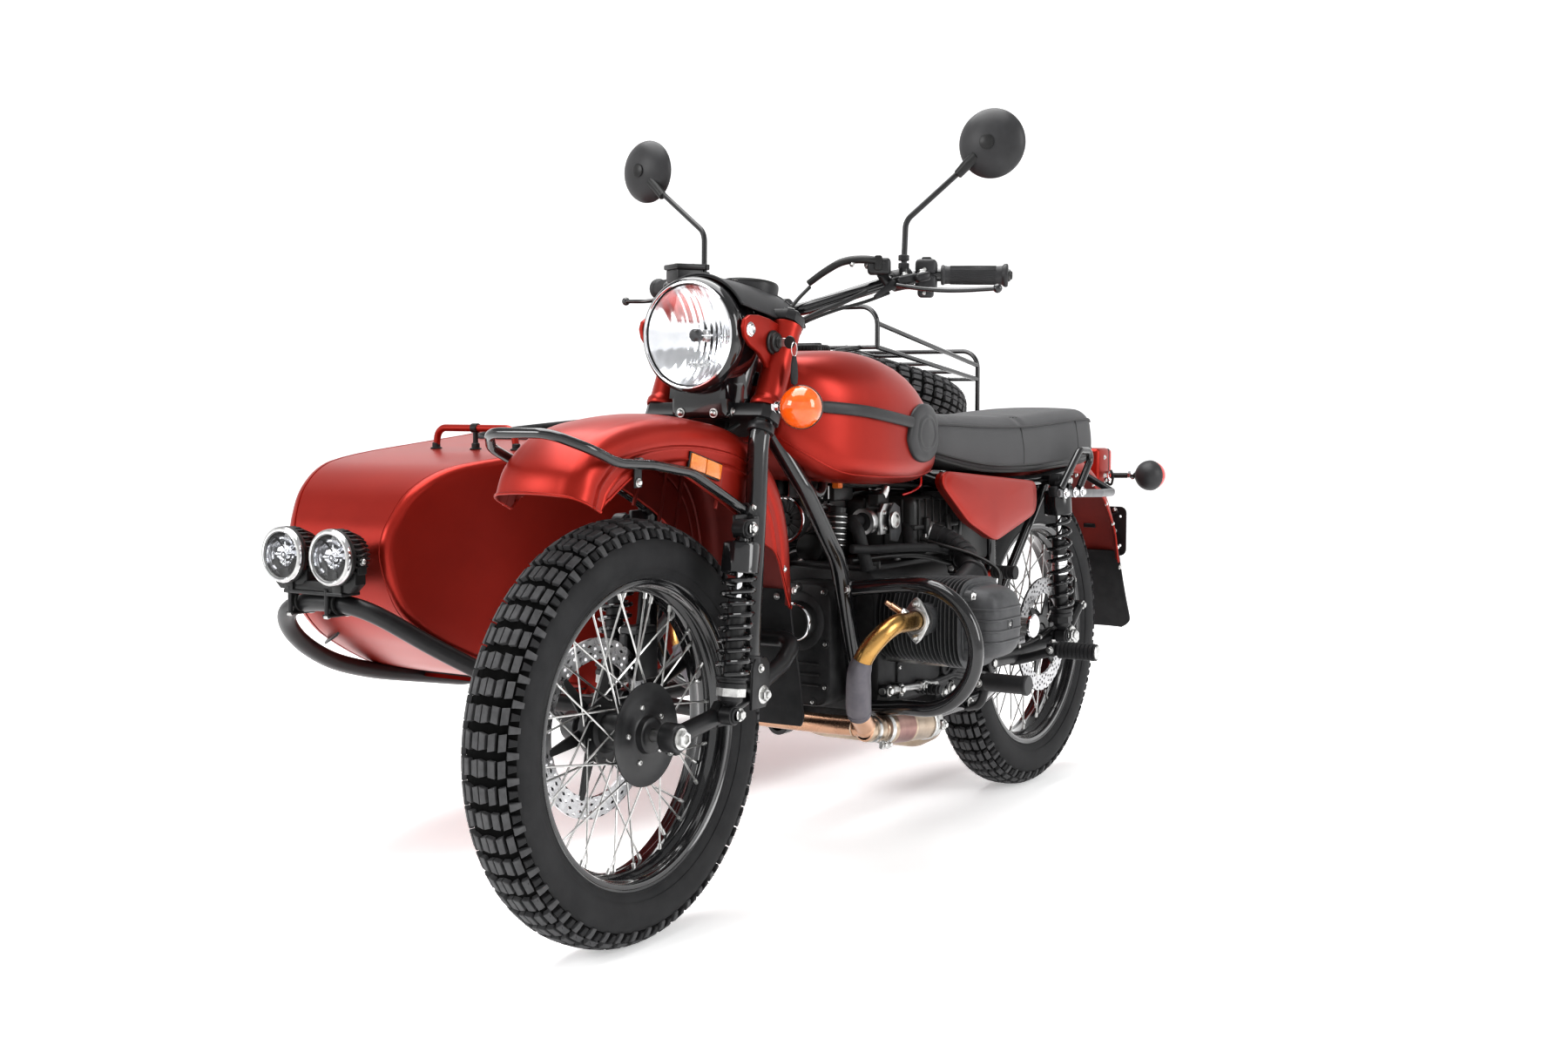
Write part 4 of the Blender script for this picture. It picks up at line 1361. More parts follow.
def ball_signal(name, c, ax, lens, body, node, stalk, slot="amber_lens"):
    """Bullet lamp: faceted lens dome on the side that ax points to, grey cup on the other, black stalk with chrome nuts."""
    c = np.asarray(c, float)
    ax = unit(ax)
    sh = Shape()
    n = 44
    # lens with shallow moulded rings inside the clear skin
    prof = [(34.6, 2)] + [(35.8 * math.cos(t), 35.8 * math.sin(t) + 1.2) for t in np.linspace(0.06, math.pi / 2, 15)[:-1]] + [(0, 37)]
    lathe(sh, prof, c, ax, lens, n)
    inner = []
    for k, t in enumerate(np.linspace(0.05, math.pi / 2 - 0.02, 19)):
        rr = 32.5 - (1.3 if k % 2 else 0.0)
        inner.append((rr * math.cos(t), rr * math.sin(t) + 1.2))
    lathe(sh, inner + [(0, 32.5)], c, ax, lens, 24)
    lathe(sh, [(0, 3), (20, 3.2), (31, 5)], c, ax, "reflector", 32)
    lathe(sh, [(7, 3), (8.5, 8), (9.0, 15), (7, 21), (0, 23)], c, ax, "reflector", 20)
    back = [(34.8, 2.6), (36.4, 2.2), (36.9, 0.4), (36.7, -3), (35.8, -9), (33.0, -16.5), (28.5, -23.4), (21.5, -30), (12.5, -34.6), (0, -36.4)]
    lathe(sh, back, c, ax, "grey_plastic", n)
    a, b = (np.asarray(q, float) for q in stalk)
    d = unit(b - a)
    tube(sh, np.array([a, b]), 6.4, "black_plastic", 18)
    lathe(sh, [(6.5, -4), (10.5, -4), (11.4, -3), (11.4, 3), (10.5, 4), (6.5, 4)], c + d * 42, d, "chrome", 24)
    lathe(sh, [(6.5, -3.2), (9.6, -3.2), (10.4, -2.2), (10.4, 2.2), (9.6, 3.2), (6.5, 3.2)], c + d * 51, d, "chrome", 6)
    return sh.make(name, body, slot, [node] if node else (), sharp=34)


ball_signal("front_indicator", (182, -1222, 866), (0.35, -0.94, 0), "amber_lens", "fork", "front_signal", ((182, -1222, 866), (60, -1222, 866)))


# ------------------------------------------------------------------ engine
def sq_ring(x, cy, cz, hy, hz, p, n=56, up=None, seg0=0.0):
    """Rounded-square outline in the plane across x; hz may differ upwards."""
    out = []
    for k in range(n):
        a = 2 * math.pi * (k + 0.5) / n
        c, s = math.cos(a), math.sin(a)
        h = hz if s < 0 or up is None else up
        out.append((x, cy + hy * math.copysign(abs(c) ** (2 / p), c), cz + h * math.copysign(abs(s) ** (2 / p), s)))
    return out


def engine():
    CY, CZ = -797.0, 472.0

    def cyl_side(sh):
        # barrel fins, growing towards the head
        for k in range(15):
            x = 126 + 9.3 * k
            t = k / 14
            h = 76 + 6 * t
            hy = 82 + 4 * t
            rings = []
            for dx, g in ((0.0, -1.2), (0.5, 0.0), (2.1, 0.0), (2.6, -1.2)):
                rings.append(sq_ring(x + dx, CY, CZ, hy + g, h + g, 2.7))
            loft(sh, rings, "engine_grey" if k > 3 else "engine_black")
        lathe(sh, [(0, 0), (60, 0), (60, 150), (0, 150)], A(116, CY, CZ), X, "engine_black", 40)
        # base flange and its nuts
        prism(sh, [(-66, -66), (66, -66), (66, 66), (-66, 66)], A(112, CY, CZ), Y, Z, X, 10, "engine_black", 4, 2)
        for y, z in ((-54, -54), (54, -54), (54, 54), (-54, 54)):
            bolt(sh, (122, CY + y, CZ + z), X, 5.4, "zinc", "hex")
        # head: squarer fins whose outline opens for the port
        for k in range(5):
            x = 263 + 8.6 * k
            rings = []
            for dx, g in ((0.0, -1.3), (0.5, 0.0), (2.3, 0.0), (2.8, -1.3)):
                rings.append(sq_ring(x + dx, CY, CZ, 86 + g, 83 + g, 3.4))
            loft(sh, rings, "engine_grey")
        rbox(sh, (262, CY - 68, CZ - 68), (299, CY + 68, CZ + 68), "engine_black", 14, 2)
        # spark plug cap towards the rear
        lathe(sh, [(0, 0), (9, 0), (10, 3), (10, 24), (8, 30), (5, 44), (4, 46), (0, 46)], A(284, CY + 66, CZ + 26), unit(A(0.18, 0.8, 0.5)), "black_plastic", 22)
        tube(sh, smooth([(290, CY + 100, CZ + 50), (276, CY + 124, CZ + 84), (220, CY + 130, CZ + 110), (150, CY + 120, CZ + 128), (96, CY + 116, CZ + 140)], 8), 3.8, "black_plastic", 10)
        # exhaust port boss and inlet port boss
        lathe(sh, [(0, 0), (29, 0), (29, 94), (31, 96), (31, 108), (0, 108)], A(230, CY, CZ + 9), unit(A(0, -1, 0.02)), "engine_grey", 36)
        lathe(sh, [(0, 0), (27, 0), (27, 118), (30, 120), (30, 126), (0, 126)], A(232, CY, CZ + 30), unit(A(-0.03, 0.93, 0.36)), "engine_black", 32)
        # rocker cover with a stepped rim, four ribs and bolts
        rings = []
        for x, hy, hd, hu, p in ((297.5, 73, 71, 73, 4.2), (302.5, 73, 71, 73, 4.2), (304, 71.5, 69.5, 71.5, 4.2), (304.2, 68, 66, 68, 4.0), (326, 67.2, 65.4, 67.2, 3.8), (345, 65, 63.2, 64.8, 3.5), (358, 60.5, 58.5, 60, 3.2),
                                 (366, 54, 52.5, 54, 3.0), (370.5, 46, 45, 46, 2.8), (372, 36, 35, 36, 2.6), (372, 20, 20, 20, 2.4)):
            rings.append(sq_ring(x, CY, CZ + 1, hy, hd, p, 64, up=hu))
        loft(sh, rings, "engine_grey")
        for z in (-30, -10, 10, 30):
            pth = []
            for x, hy, hd, hu, p in ((308, 68, 66, 68, 4.0), (326, 67.2, 65.4, 67.2, 3.8), (345, 65, 63.2, 64.8, 3.5), (358, 60.5, 58.5, 60, 3.2), (366, 54, 52.5, 54, 3.0), (371, 44, 45, 46, 2.8)):
                hz = hu if z > 0 else hd
                c = (1 - (abs(z - 0) / hz) ** p) ** (1 / p)
                pth.append((x + 0.4, CY - hy * c - 0.3, CZ + 1 + z))
            far = [(x, 2 * CY - y, zz) for x, y, zz in reversed(pth)]
            path = smooth(np.array(pth + [(372.6, CY - 14, CZ + 1 + z), (372.6, CY + 14, CZ + 1 + z)] + far), 4)
            tube(sh, path, 2.1, "engine_grey", 8)
        lathe(sh, [(0, -2), (11, -2), (12, 0), (11, 1.6), (9, 1.6), (8.6, -0.6), (5, -0.6)], A(372, CY, CZ + 1), X, "engine_grey", 28)
        bolt(sh, (371.0, CY, CZ + 1), X, 4.2, "steel", "button", washer=False)
        for y, z in ((-56, 52), (56, 52), (-56, -52), (56, -52)):
            lathe(sh, [(0, -20), (12.5, -20), (12.5, 4), (11, 7.5), (0, 7.5)], A(310, CY + y, CZ + z), X, "engine_grey", 24)
            lathe(sh, [(9.6, 0), (9.6, 2), (7.6, 3.2), (7.0, 8.4), (5.8, 9.6), (3.2, 9.6), (3.2, 6), (0, 6)], A(317, CY + y, CZ + z), X, "zinc", 24)
        # push-rod tubes below the barrel
        for dy in (-26, 26):
            lathe(sh, [(0, 0), (9, 0), (9, 140), (0, 140)], A(124, CY + dy, CZ - 74), X, "steel", 18)
        for q in sh.v:
            q[:, 0] = np.where(q[:, 0] > 297.5, 297.5 + (q[:, 0] - 297.5) * 0.86, q[:, 0])

    one = Shape()
    cyl_side(one)
    one.make("cylinder_left", "chassis", "engine_black", ["engine_cylinders"], sharp=30)
    two = Shape()
    cyl_side(two)
    two.mirrored().make("cylinder_right", "chassis", "engine_black", sharp=30)

    # crankcase, gearbox and covers
    sh = Shape()

    def block(x0, x1, y0, y1, z0, z1, ry, mat, seg=5):
        """Casting with large fillets along y and small ones at its ends."""
        pts = []
        for cx, cz, a0 in ((x1 - ry, z1 - ry, 0), (x0 + ry, z1 - ry, 90), (x0 + ry, z0 + ry, 180), (x1 - ry, z0 + ry, 270)):
            for k in range(seg + 1):
                a = math.radians(a0 + 90 * k / seg)
                pts.append((cx + ry * math.cos(a), cz + ry * math.sin(a)))
        P = np.array(pts)
        c = np.array([(x0 + x1) / 2, (z0 + z1) / 2])
        rings = []
        for y, g in ((y0, 5), (y0 + 1.5, 1.8), (y0 + 5, 0), (y1 - 5, 0), (y1 - 1.5, 1.8), (y1, 5)):
            h = np.array([(x1 - x0) / 2, (z1 - z0) / 2])
            Q = c + (P - c) * (h - g) / h
            rings.append([(q[0], y, q[1]) for q in Q])
        loft(sh, rings, mat)

    block(-118, 118, -850, -560, 294, 560, 34, "engine_black")
    block(-70, 70, -942, -846, 312, 540, 34, "engine_black")
    block(-92, 92, -566, -404, 262, 520, 30, "engine_black")
    block(-76, 76, -822, -706, 262, 300, 12, "engine_black")
    lathe(sh, [(0, -602), (128, -602), (135, -596), (136, -590), (136, -574), (140, -572), (140, -562), (136, -560), (135, -524), (128, -518), (0, -518)], A(0, 0, 410), Y, "engine_black", 72)
    for k in range(10):
        a = 2 * math.pi * k / 10 + 0.3
        bolt(sh, (140 * math.cos(a) * 0.985, -572, 410 + 140 * math.sin(a) * 0.985), -Y, 4.4, "zinc", "hex") if abs(math.cos(a)) < 0.8 else None
    # front cover: round boss, ribs and bolts round its edge
    lathe(sh, [(0, 955), (34, 955), (37, 953), (38, 948), (52, 946), (56, 943), (57, 932), (60, 930)], A(0, 0, 470), -Y, "engine_black", 56)
    for x, z in ((-58, 526), (0, 533), (58, 526), (-63, 430), (63, 430), (-62, 350), (62, 350), (-34, 321), (34, 321)):
        lathe(sh, [(0, 938), (7.5, 938), (7.5, 943), (6.5, 944.5), (0, 944.5)], A(x * 0.94, 0, z), -Y, "engine_black", 18)
        bolt(sh, (x * 0.94, -944.2, z), -Y, 3.6, "zinc", "button", washer=False)
    for z in (352, 372, 392):
        rbox(sh, (-46, -946, z - 2), (46, -938, z + 2), "engine_black", 1.8, 2)
    # side covers, ribs and plugs on the crankcase
    for s in (1, -1):
        prism(sh, [(-78, -60), (66, -60), (84, -30), (84, 10), (60, 34), (-60, 34), (-84, 8), (-84, -30)], A(s * 116, -700, 372), Y, Z, A(s, 0, 0), 7, "engine_black", 2.5, 2)
        for y, z in ((-770, 320), (-700, 316), (-630, 322), (-622, 380), (-640, 402), (-760, 402), (-778, 372)):
            bolt(sh, (s * 123, y, z), A(s, 0, 0), 4.0, "zinc", "button", washer=False)
        lathe(sh, [(0, 0), (16, 0), (17, 1), (17, 5), (15, 7), (10, 7), (10, 4), (0, 4)], A(s * 122, -596, 352), A(s, 0, 0), "engine_black", 28)
        for z in (420, 450, 480, 506):
            rbox(sh, (s * 88, -556, z - 2), (s * 97, -410, z + 2), "engine_black", 1.8, 2)
        bolt(sh, (s * 92, -540, 290), A(s, 0, 0), 7, "zinc", "hex")
        bolt(sh, (s * 92, -440, 300), A(s, 0, 0), 5, "zinc", "hex")
    for y in (-810, -780, -750, -720):
        rbox(sh, (-70, y - 2, 255), (70, y + 2, 266), "engine_black", 1.6, 2)
    bolt(sh, (0, -764, 262), -Z, 9, "zinc", "hex")
    # starter and top plate, breather
    lathe(sh, [(0, 0), (28, 0), (31, 3), (31, 108), (28, 112), (12, 112), (12, 126), (0, 126)], A(-66, -800, 590), Y, "black_plastic", 36)
    rbox(sh, (-92, -836, 556), (96, -590, 568), "engine_black", 4, 2)
    for x in (-70, 74):
        for y in (-822, -700, -604):
            bolt(sh, (x, y, 568), Z, 4.6, "zinc", "hex")
    for x, y in ((56, -824), (90, -822)):
        lathe(sh, [(0, 0), (15, 0), (16, 2), (16, 14), (13, 18), (8, 20), (0, 20)], A(x - 8, y + 10, 560), Z, "black_plastic", 28)
    sh.make("engine_casing", "chassis", "engine_black", ["engine_case"], sharp=33)

    # oil filter at the front with a plain ring, horn above it
    sh = Shape()
    lathe(sh, [(0, 940), (36, 940), (38, 943), (38, 963), (36, 968), (33.4, 970.4), (31.6, 969.0), (30.0, 970.2), (0, 971)], A(6, 0, 470), -Y, ["black_plastic"] * 3 + ["black_plastic", "chrome", "chrome"] + ["black_plastic"] * 2, 48)
    lathe(sh, [(0, 940), (20, 942), (34, 950), (40, 962), (42, 980), (43.5, 984), (43.0, 987.5), (40.0, 988.6), (37.5, 986.6)], A(-4, 0, 660), -Y, ["black_plastic"] * 5 + ["chrome"] * 3, 56)
    lathe(sh, [(37.8, 986.0), (30, 981), (14, 979), (12, 983), (0, 984)], A(-4, 0, 660), -Y, "black_plastic", 48)
    for k in range(14):
        a = 2 * math.pi * k / 14
        tube(sh, np.array([(-4 + 13 * math.cos(a), -983.4, 660 + 13 * math.sin(a)), (-4 + 36 * math.cos(a), -984.6, 660 + 36 * math.sin(a))]), 1.1, "black_plastic", 6)
    bar(sh, (-4, -950, 690), (-4, -962, 742), 6, "satin_black")
    prism(sh, [(-10, 0), (10, 0), (10, 70), (-10, 70)], A(-4, -938, 672), X, unit(A(0, -0.25, 1)), unit(A(0, -1, -0.25)), 4, "satin_black", 1.2, 1)
    sh.make("filter_and_horn", "chassis", "gloss_black", sharp=32)

    # inlet side: air box with ribs, rubber elbows, throttle bodies, hoses
    sh = Shape()
    rbox(sh, (-110, -700, 572), (110, -524, 690), "black_plastic", 14, 3)
    rbox(sh, (-114, -704, 626), (114, -520, 636), "black_plastic", 3, 2)
    for k in range(6):
        y = -684 + 29 * k
        for s in (1, -1):
            rbox(sh, (s * 106, y - 2.2, 580), (s * 113.5, y + 2.2, 686), "black_plastic", 1.8, 2)
    for k in range(5):
        x = -84 + 42 * k
        rbox(sh, (x - 2.2, -704, 580), (x + 2.2, -698, 686), "black_plastic", 1.8, 2)
    for s in (1, -1):
        rbox(sh, (s * 106, -666, 612), (s * 120, -648, 650), "black_plastic", 3, 2)
        rbox(sh, (s * 106, -580, 612), (s * 120, -562, 650), "black_plastic", 3, 2)
        # runner from the box down to the head, with clamps
        path = smooth([(s * 96, -640, 618), (s * 140, -628, 604), (s * 180, -636, 582), (s * 212, -660, 558), (s * 228, -684, 540)], 8)
        tube(sh, path, 23, "soft_rubber", 28)
        for k in range(5):
            i = 6 + k * 3
            d = unit(path[i + 1] - path[i - 1])
            lathe(sh, [(22, -2.4), (25.4, -1.6), (25.4, 1.6), (22, 2.4)], path[i], d, "soft_rubber", 28)
        for i in (2, len(path) - 5):
            d = unit(path[i + 1] - path[i - 1])
            lathe(sh, [(23, -5), (25.6, -5), (26.2, -4), (26.2, 4), (25.6, 5), (23, 5)], path[i], d, "steel", 32)
            e = unit(np.cross(d, Z))
            rbox(sh, path[i] + e * 25 - A(4, 8, 4), path[i] + e * 25 + A(4, 8, 4), "zinc", 1.5, 1)
        # throttle body
        tb = A(s * 66, -770, 648)
        lathe(sh, [(18, -52), (25, -52), (26, -50), (26, -38), (22, -36), (22, 30), (26, 32), (26, 44), (24, 46), (18, 46)], tb, Y, "steel", 32)
        lathe(sh, [(0, -50), (19, -50)], tb, Y, "engine_black", 28)
        prism(sh, [(-30, -24), (26, -24), (34, -10), (34, 22), (18, 34), (-18, 34), (-32, 18)], tb + A(s * 20, -2, 0), Y, Z, A(s, 0, 0), 9, "steel", 2.0, 2)
        prism(sh, [(-16, -36), (10, -40), (24, -20), (18, 26), (-4, 36), (-20, 20)], tb + A(s * 33, 8, 0), Y, Z, A(s, 0, 0), 5, "engine_grey", 1.5, 2)
        for y, z in ((-18, -12), (20, -10), (14, 22), (-20, 16)):
            bolt(sh, tb + A(s * 29, y, z), A(s, 0, 0), 4.0, "zinc", "hex")
        lathe(sh, [(0, 0), (16, 0), (17, 1.5), (17, 6), (14, 7.5), (12, 7.5), (12, 4.5), (0, 4.5)], tb + A(s * 38, -2, 2), A(s, 0, 0), "zinc", 28)
        # fuel rail and injector
        rbox(sh, (s * 60, -792, 676), (s * 84, -750, 700), "black_plastic", 4, 2)
        lathe(sh, [(0, 0), (7, 0), (8, 6), (8, 20), (6, 26), (0, 26)], A(s * 76, -764, 690), unit(A(s * 0.3, 0.2, 1)), "zinc", 18)
        # hoses
        tube(sh, bend([(s * 60, -822, 650), (s * 62, -862, 652), (s * 84, -868, 636), (s * 96, -852, 560)], [0, 26, 22, 0], 8), 12, "soft_rubber", 18)
        tube(sh, bend([(s * 58, -690, 640), (s * 96, -700, 628), (s * 122, -735, 598), (s * 132, -700, 592)], [0, 20, 24, 0], 8), 10.5, "soft_rubber", 18)
        lathe(sh, [(0, 0), (7.5, 0), (7.5, 7), (6, 9), (0, 9)], A(s * 133, -694, 591.5), unit(A(s * 0.27, 0.95, -0.15)), "zinc", 18)
        tube(sh, smooth([(s * 88, -900, 604), (s * 108, -850, 600), (s * 126, -760, 598), (s * 150, -670, 590), (s * 176, -610, 566), (s * 196, -596, 540)], 8), 8.5, "soft_rubber", 16)
        tube(sh, smooth([(s * 76, -880, 580), (s * 110, -800, 584), (s * 136, -720, 580), (s * 158, -640, 560)], 8), 5.2, "black_plastic", 12)
        rbox(sh, (s * 150, -640, 540), (s * 178, -612, 566), "black_plastic", 4, 2)
        bolt(sh, (s * 160, -641, 552), -Y, 4.2, "zinc", "hex")
    # front flexible ducting between the downtubes
    for k in range(12):
        lathe(sh, [(16, -2.0), (19.4, -1.1), (19.4, 1.1), (16, 2.0)], A(54, -900 + 0.6 * k, 610 + 5.2 * k), unit(A(0, 0.1, 1)), "steel" if k % 2 == 0 else "black_plastic", 24)
    tube(sh, smooth([(54, -902, 596), (54, -898, 640), (54, -892, 680)], 6), 16, "black_plastic", 20)
    # regulator, coil pack and plugs under the tank
    rbox(sh, (14, -1000, 700), (58, -950, 742), "black_plastic", 5, 2)
    rbox(sh, (-58, -1000, 700), (-14, -950, 742), "black_plastic", 5, 2)
    rbox(sh, (-48, -900, 690), (52, -830, 722), "black_plastic", 5, 2)
    for k in range(7):
        rbox(sh, (-46 + 14 * k, -904, 694), (-42 + 14 * k, -896, 720), "steel", 1.2, 1)
    rbox(sh, (64, -930, 716), (80, -916, 740), "horn_orange", 2, 1)
    tube(sh, smooth([(84, -700, 694), (96, -684, 700), (112, -680, 712), (112, -676, 730)], 6), 2.2, "red_lens", 8)
    for x, y, z in ((40, -1004, 728), (-36, -1004, 728), (66, -980, 706)):
        bolt(sh, (x, y, z), -Y, 5, "zinc", "hex")
    # wiring loom along the backbone
    for dx, r in ((0, 6), (14, 4), (-12, 4.5)):
        tube(sh, smooth([(dx + 8, -1090, 850), (dx + 40, -1000, 772), (dx + 56, -880, 724), (dx + 60, -740, 716), (dx + 58, -600, 706)], 6), r, "black_plastic", 10)
    sh.make("inlet_and_hoses", "chassis", "grey_plastic", ["air_intake"], sharp=33)


engine()


# ------------------------------------------------------------------ exhaust
def exhaust():
    for s, nm, hide in ((1, "exhaust_left", ["exhaust_system"]), (-1, "exhaust_right", [])):
        sh = Shape()
        path = bend([(230, -903, 482), (230, -1004, 484), (194, -1052, 425), (163, -1000, 322), (152, -956, 288)], [0, 62, 70, 90, 0], 12)
        path = np.array(path)
        L = np.concatenate([[0], np.cumsum(np.linalg.norm(np.diff(path, axis=0), axis=1))])
        i0 = int(np.searchsorted(L, L[-1] * 0.52))
        tube(sh, path[:i0 + 1], 17.4, "gold_pipe", 40, caps=False)
        # sleeve swells over the header and narrows on to the elbow
        sp = []
        n = 22
        la, lb = L[i0] - 6, L[-1] * 0.865
        for k in range(n + 1):
            q = la + (lb - la) * k / n
            sp.append([np.interp(q, L, path[:, j]) for j in range(3)])
        rr = [17.8, 18.8] + [19.2 + 3.0 * math.sin(math.pi * (0.06 + 0.62 * k / n)) + 1.0 * (k / n) for k in range(2, n - 3)] + [22.4, 21.6, 20.4, 19.2]
        tube(sh, np.array(sp), rr[:n + 1], "sleeve_grey", 40, caps=False)
        # pressed fold in the sleeve's lower end
        for q, r_ in ((lb - 12, 22.2), (lb - 4, 21.0)):
            c = A(*[np.interp(q, L, path[:, j]) for j in range(3)])
            d = unit(A(*[np.interp(q + 2, L, path[:, j]) - np.interp(q - 2, L, path[:, j]) for j in range(3)]))
            lathe(sh, [(r_ - 2, -3), (r_ + 0.9, 0), (r_ - 2, 3)], c, d, "sleeve_grey", 40)
        tail = [[np.interp(q, L, path[:, j]) for j in range(3)] for q in np.linspace(lb - 6, L[-1], 8)]
        tube(sh, np.array(tail), 18.6, "copper_pipe", 36, caps=False)
        # flange: pointed oval with two studs, gasket ring
        dia = []
        for k in range(48):
            a = 2 * math.pi * k / 48
            c_, s_ = math.cos(a), math.sin(a)
            rz = 1.0 / ((abs(c_) / 27.5) ** 1.35 + (abs(s_) / 42.0) ** 1.35) ** (1 / 1.35)
            dia.append((rz * c_, rz * s_))
        prism(sh, dia, A(230, -905, 482), X, Z, -Y, 7.0, "zinc", 1.4, 2)
        lathe(sh, [(19, 6), (23.6, 6.5), (24.2, 8.5), (22.4, 10.2), (19, 10.6)], A(230, -905, 482), -Y, "steel", 36)
        for z in (-31, 31):
            bolt(sh, (230, -912, 482 + z), -Y, 5.6, "zinc", "hex", h=6)
            lathe(sh, [(0, 0), (3.4, 0), (3.4, 10.5), (2.6, 11.5), (0, 11.5)], A(230, -912, 482 + z), -Y, "zinc", 14)
        # sensor boss and its copper plug
        a_, b_ = A(224, -938, 494), A(194, -972, 524)
        d = unit(b_ - a_)
        lathe(sh, [(0, 0), (10, 0), (10, 9), (8.5, 11), (8.5, 14), (6.6, 15), (6.6, 34), (5, 36), (4.6, 46), (0, 46)], a_, d, ["zinc", "zinc", "zinc", "zinc", "copper_pipe", "copper_pipe", "copper_pipe", "copper_pipe", "copper_pipe"], 20)
        bolt(sh, a_ + d * 9, d, 8.6, "zinc", "hex", washer=False, h=5)
        if s < 0:
            sh = sh.mirrored()
        sh.make(nm, "chassis", "brushed_steel", hide, sharp=35)
    sh = Shape()
    # crossover below the front of the engine, weld beads where it meets the elbows
    tube(sh, smooth([(150, -956, 288), (60, -956, 286), (-60, -956, 286), (-150, -956, 288)], 8), 18, "copper_pipe", 36)
    for s in (1, -1):
        sphere(sh, (s * 152, -956, 288), 20.4, "copper_pipe", 32, 16)
        tube(sh, np.array([(s * 131, -956 + 19.0 * math.cos(t), 288 + 19.0 * math.sin(t)) for t in np.linspace(0, 2 * math.pi, 33)]), 1.5, "tan_steel", 6)
    # joint with braided flex and clamps, then the converter
    a, b = A(150, -968, 284), A(156, -900, 278)
    d = unit(b - a)
    lathe(sh, [(18, 8), (21, 10), (22.6, 14), (22.6, 22), (20.4, 24), (20.4, 27), (24.4, 28), (24.4, 36), (20.6, 37), (20.6, 42), (23.6, 44), (23.6, 52), (20, 54), (20, 76)], a, d, ["copper_pipe", "tan_steel", "tan_steel", "tan_steel", "tan_steel", "zinc", "zinc", "zinc", "tan_steel", "tan_steel", "tan_steel", "tan_steel", "copper_pipe"], 40)
    for k in range(2):
        q = a + d * (32 + 16 * k)
        rbox(sh, q + A(18, -5, -34), q + A(28, 5, -18), "zinc", 2, 1)
        bolt(sh, q + A(28, 0, -26), X, 4.4, "zinc", "hex")
    a, b = A(154, -925, 279), A(165, -722, 264)
    d = unit(b - a)
    L = np.linalg.norm(b - a)
    prof = [(20, 16), (22, 20), (27, 32), (29.6, 40), (30, 46), (30, L * 0.48), (30.8, L * 0.49), (30.8, L * 0.51), (30, L * 0.52), (30, L - 44), (29.2, L - 38), (25, L - 26), (22, L - 20), (21.4, L - 8)]
    lathe(sh, prof, a, d, ["tan_steel", "tan_steel", "tan_steel", "purple_steel", "purple_steel", "tan_steel", "tan_steel", "purple_steel", "tan_steel", "tan_steel", "purple_steel", "tan_steel", "tan_steel"], 48)
    for q, w in ((26, 6), (L - 34, 5), (L - 14, 8)):
        lathe(sh, [(22, -w), (31.4 if q > 40 and q < L - 20 else 27.4, -w), (32 if q > 40 and q < L - 20 else 28.2, -w + 1), (32 if q > 40 and q < L - 20 else 28.2, w - 1), (31.4 if q > 40 and q < L - 20 else 27.4, w), (22, w)], a + d * q, d, "zinc", 40)
    q = a + d * (L - 14)
    rbox(sh, q + A(20, -7, -12), q + A(34, 7, 8), "zinc", 2.5, 1)
    bolt(sh, q + A(34, 0, -2), X, 5, "zinc", "hex")
    # link pipe under the engine and the silencer beside the sidecar
    tube(sh, bend([(165, -745, 266), (158, -706, 246), (110, -692, 222), (-120, -692, 222), (-212, -600, 240), (-212, -290, 256)], [0, 30, 50, 80, 90, 0], 9), 18, "tan_steel", 28)
    a, b = A(-212, -300, 256), A(-212, 90, 268)
    d = unit(b - a)
    L = np.linalg.norm(b - a)
    lathe(sh, [(18, -2), (24, 0), (40, 14), (43.4, 22), (44, 30), (44, L - 30), (43, L - 20), (38, L - 8), (26, L - 2), (17.5, L), (17, L + 58), (15, L + 59), (15, L + 20), (0, L + 20)], a, d,
          ["satin_black"] * 3 + ["satin_black"] * 6 + ["chrome"] * 4, 48)
    for q in (40, L - 40):
        lathe(sh, [(43, -7), (45.4, -7), (46, -6), (46, 6), (45.4, 7), (43, 7)], a + d * q, d, "zinc", 40)
    sh.make("exhaust_lower", "chassis", "brushed_steel", sharp=34)


exhaust()


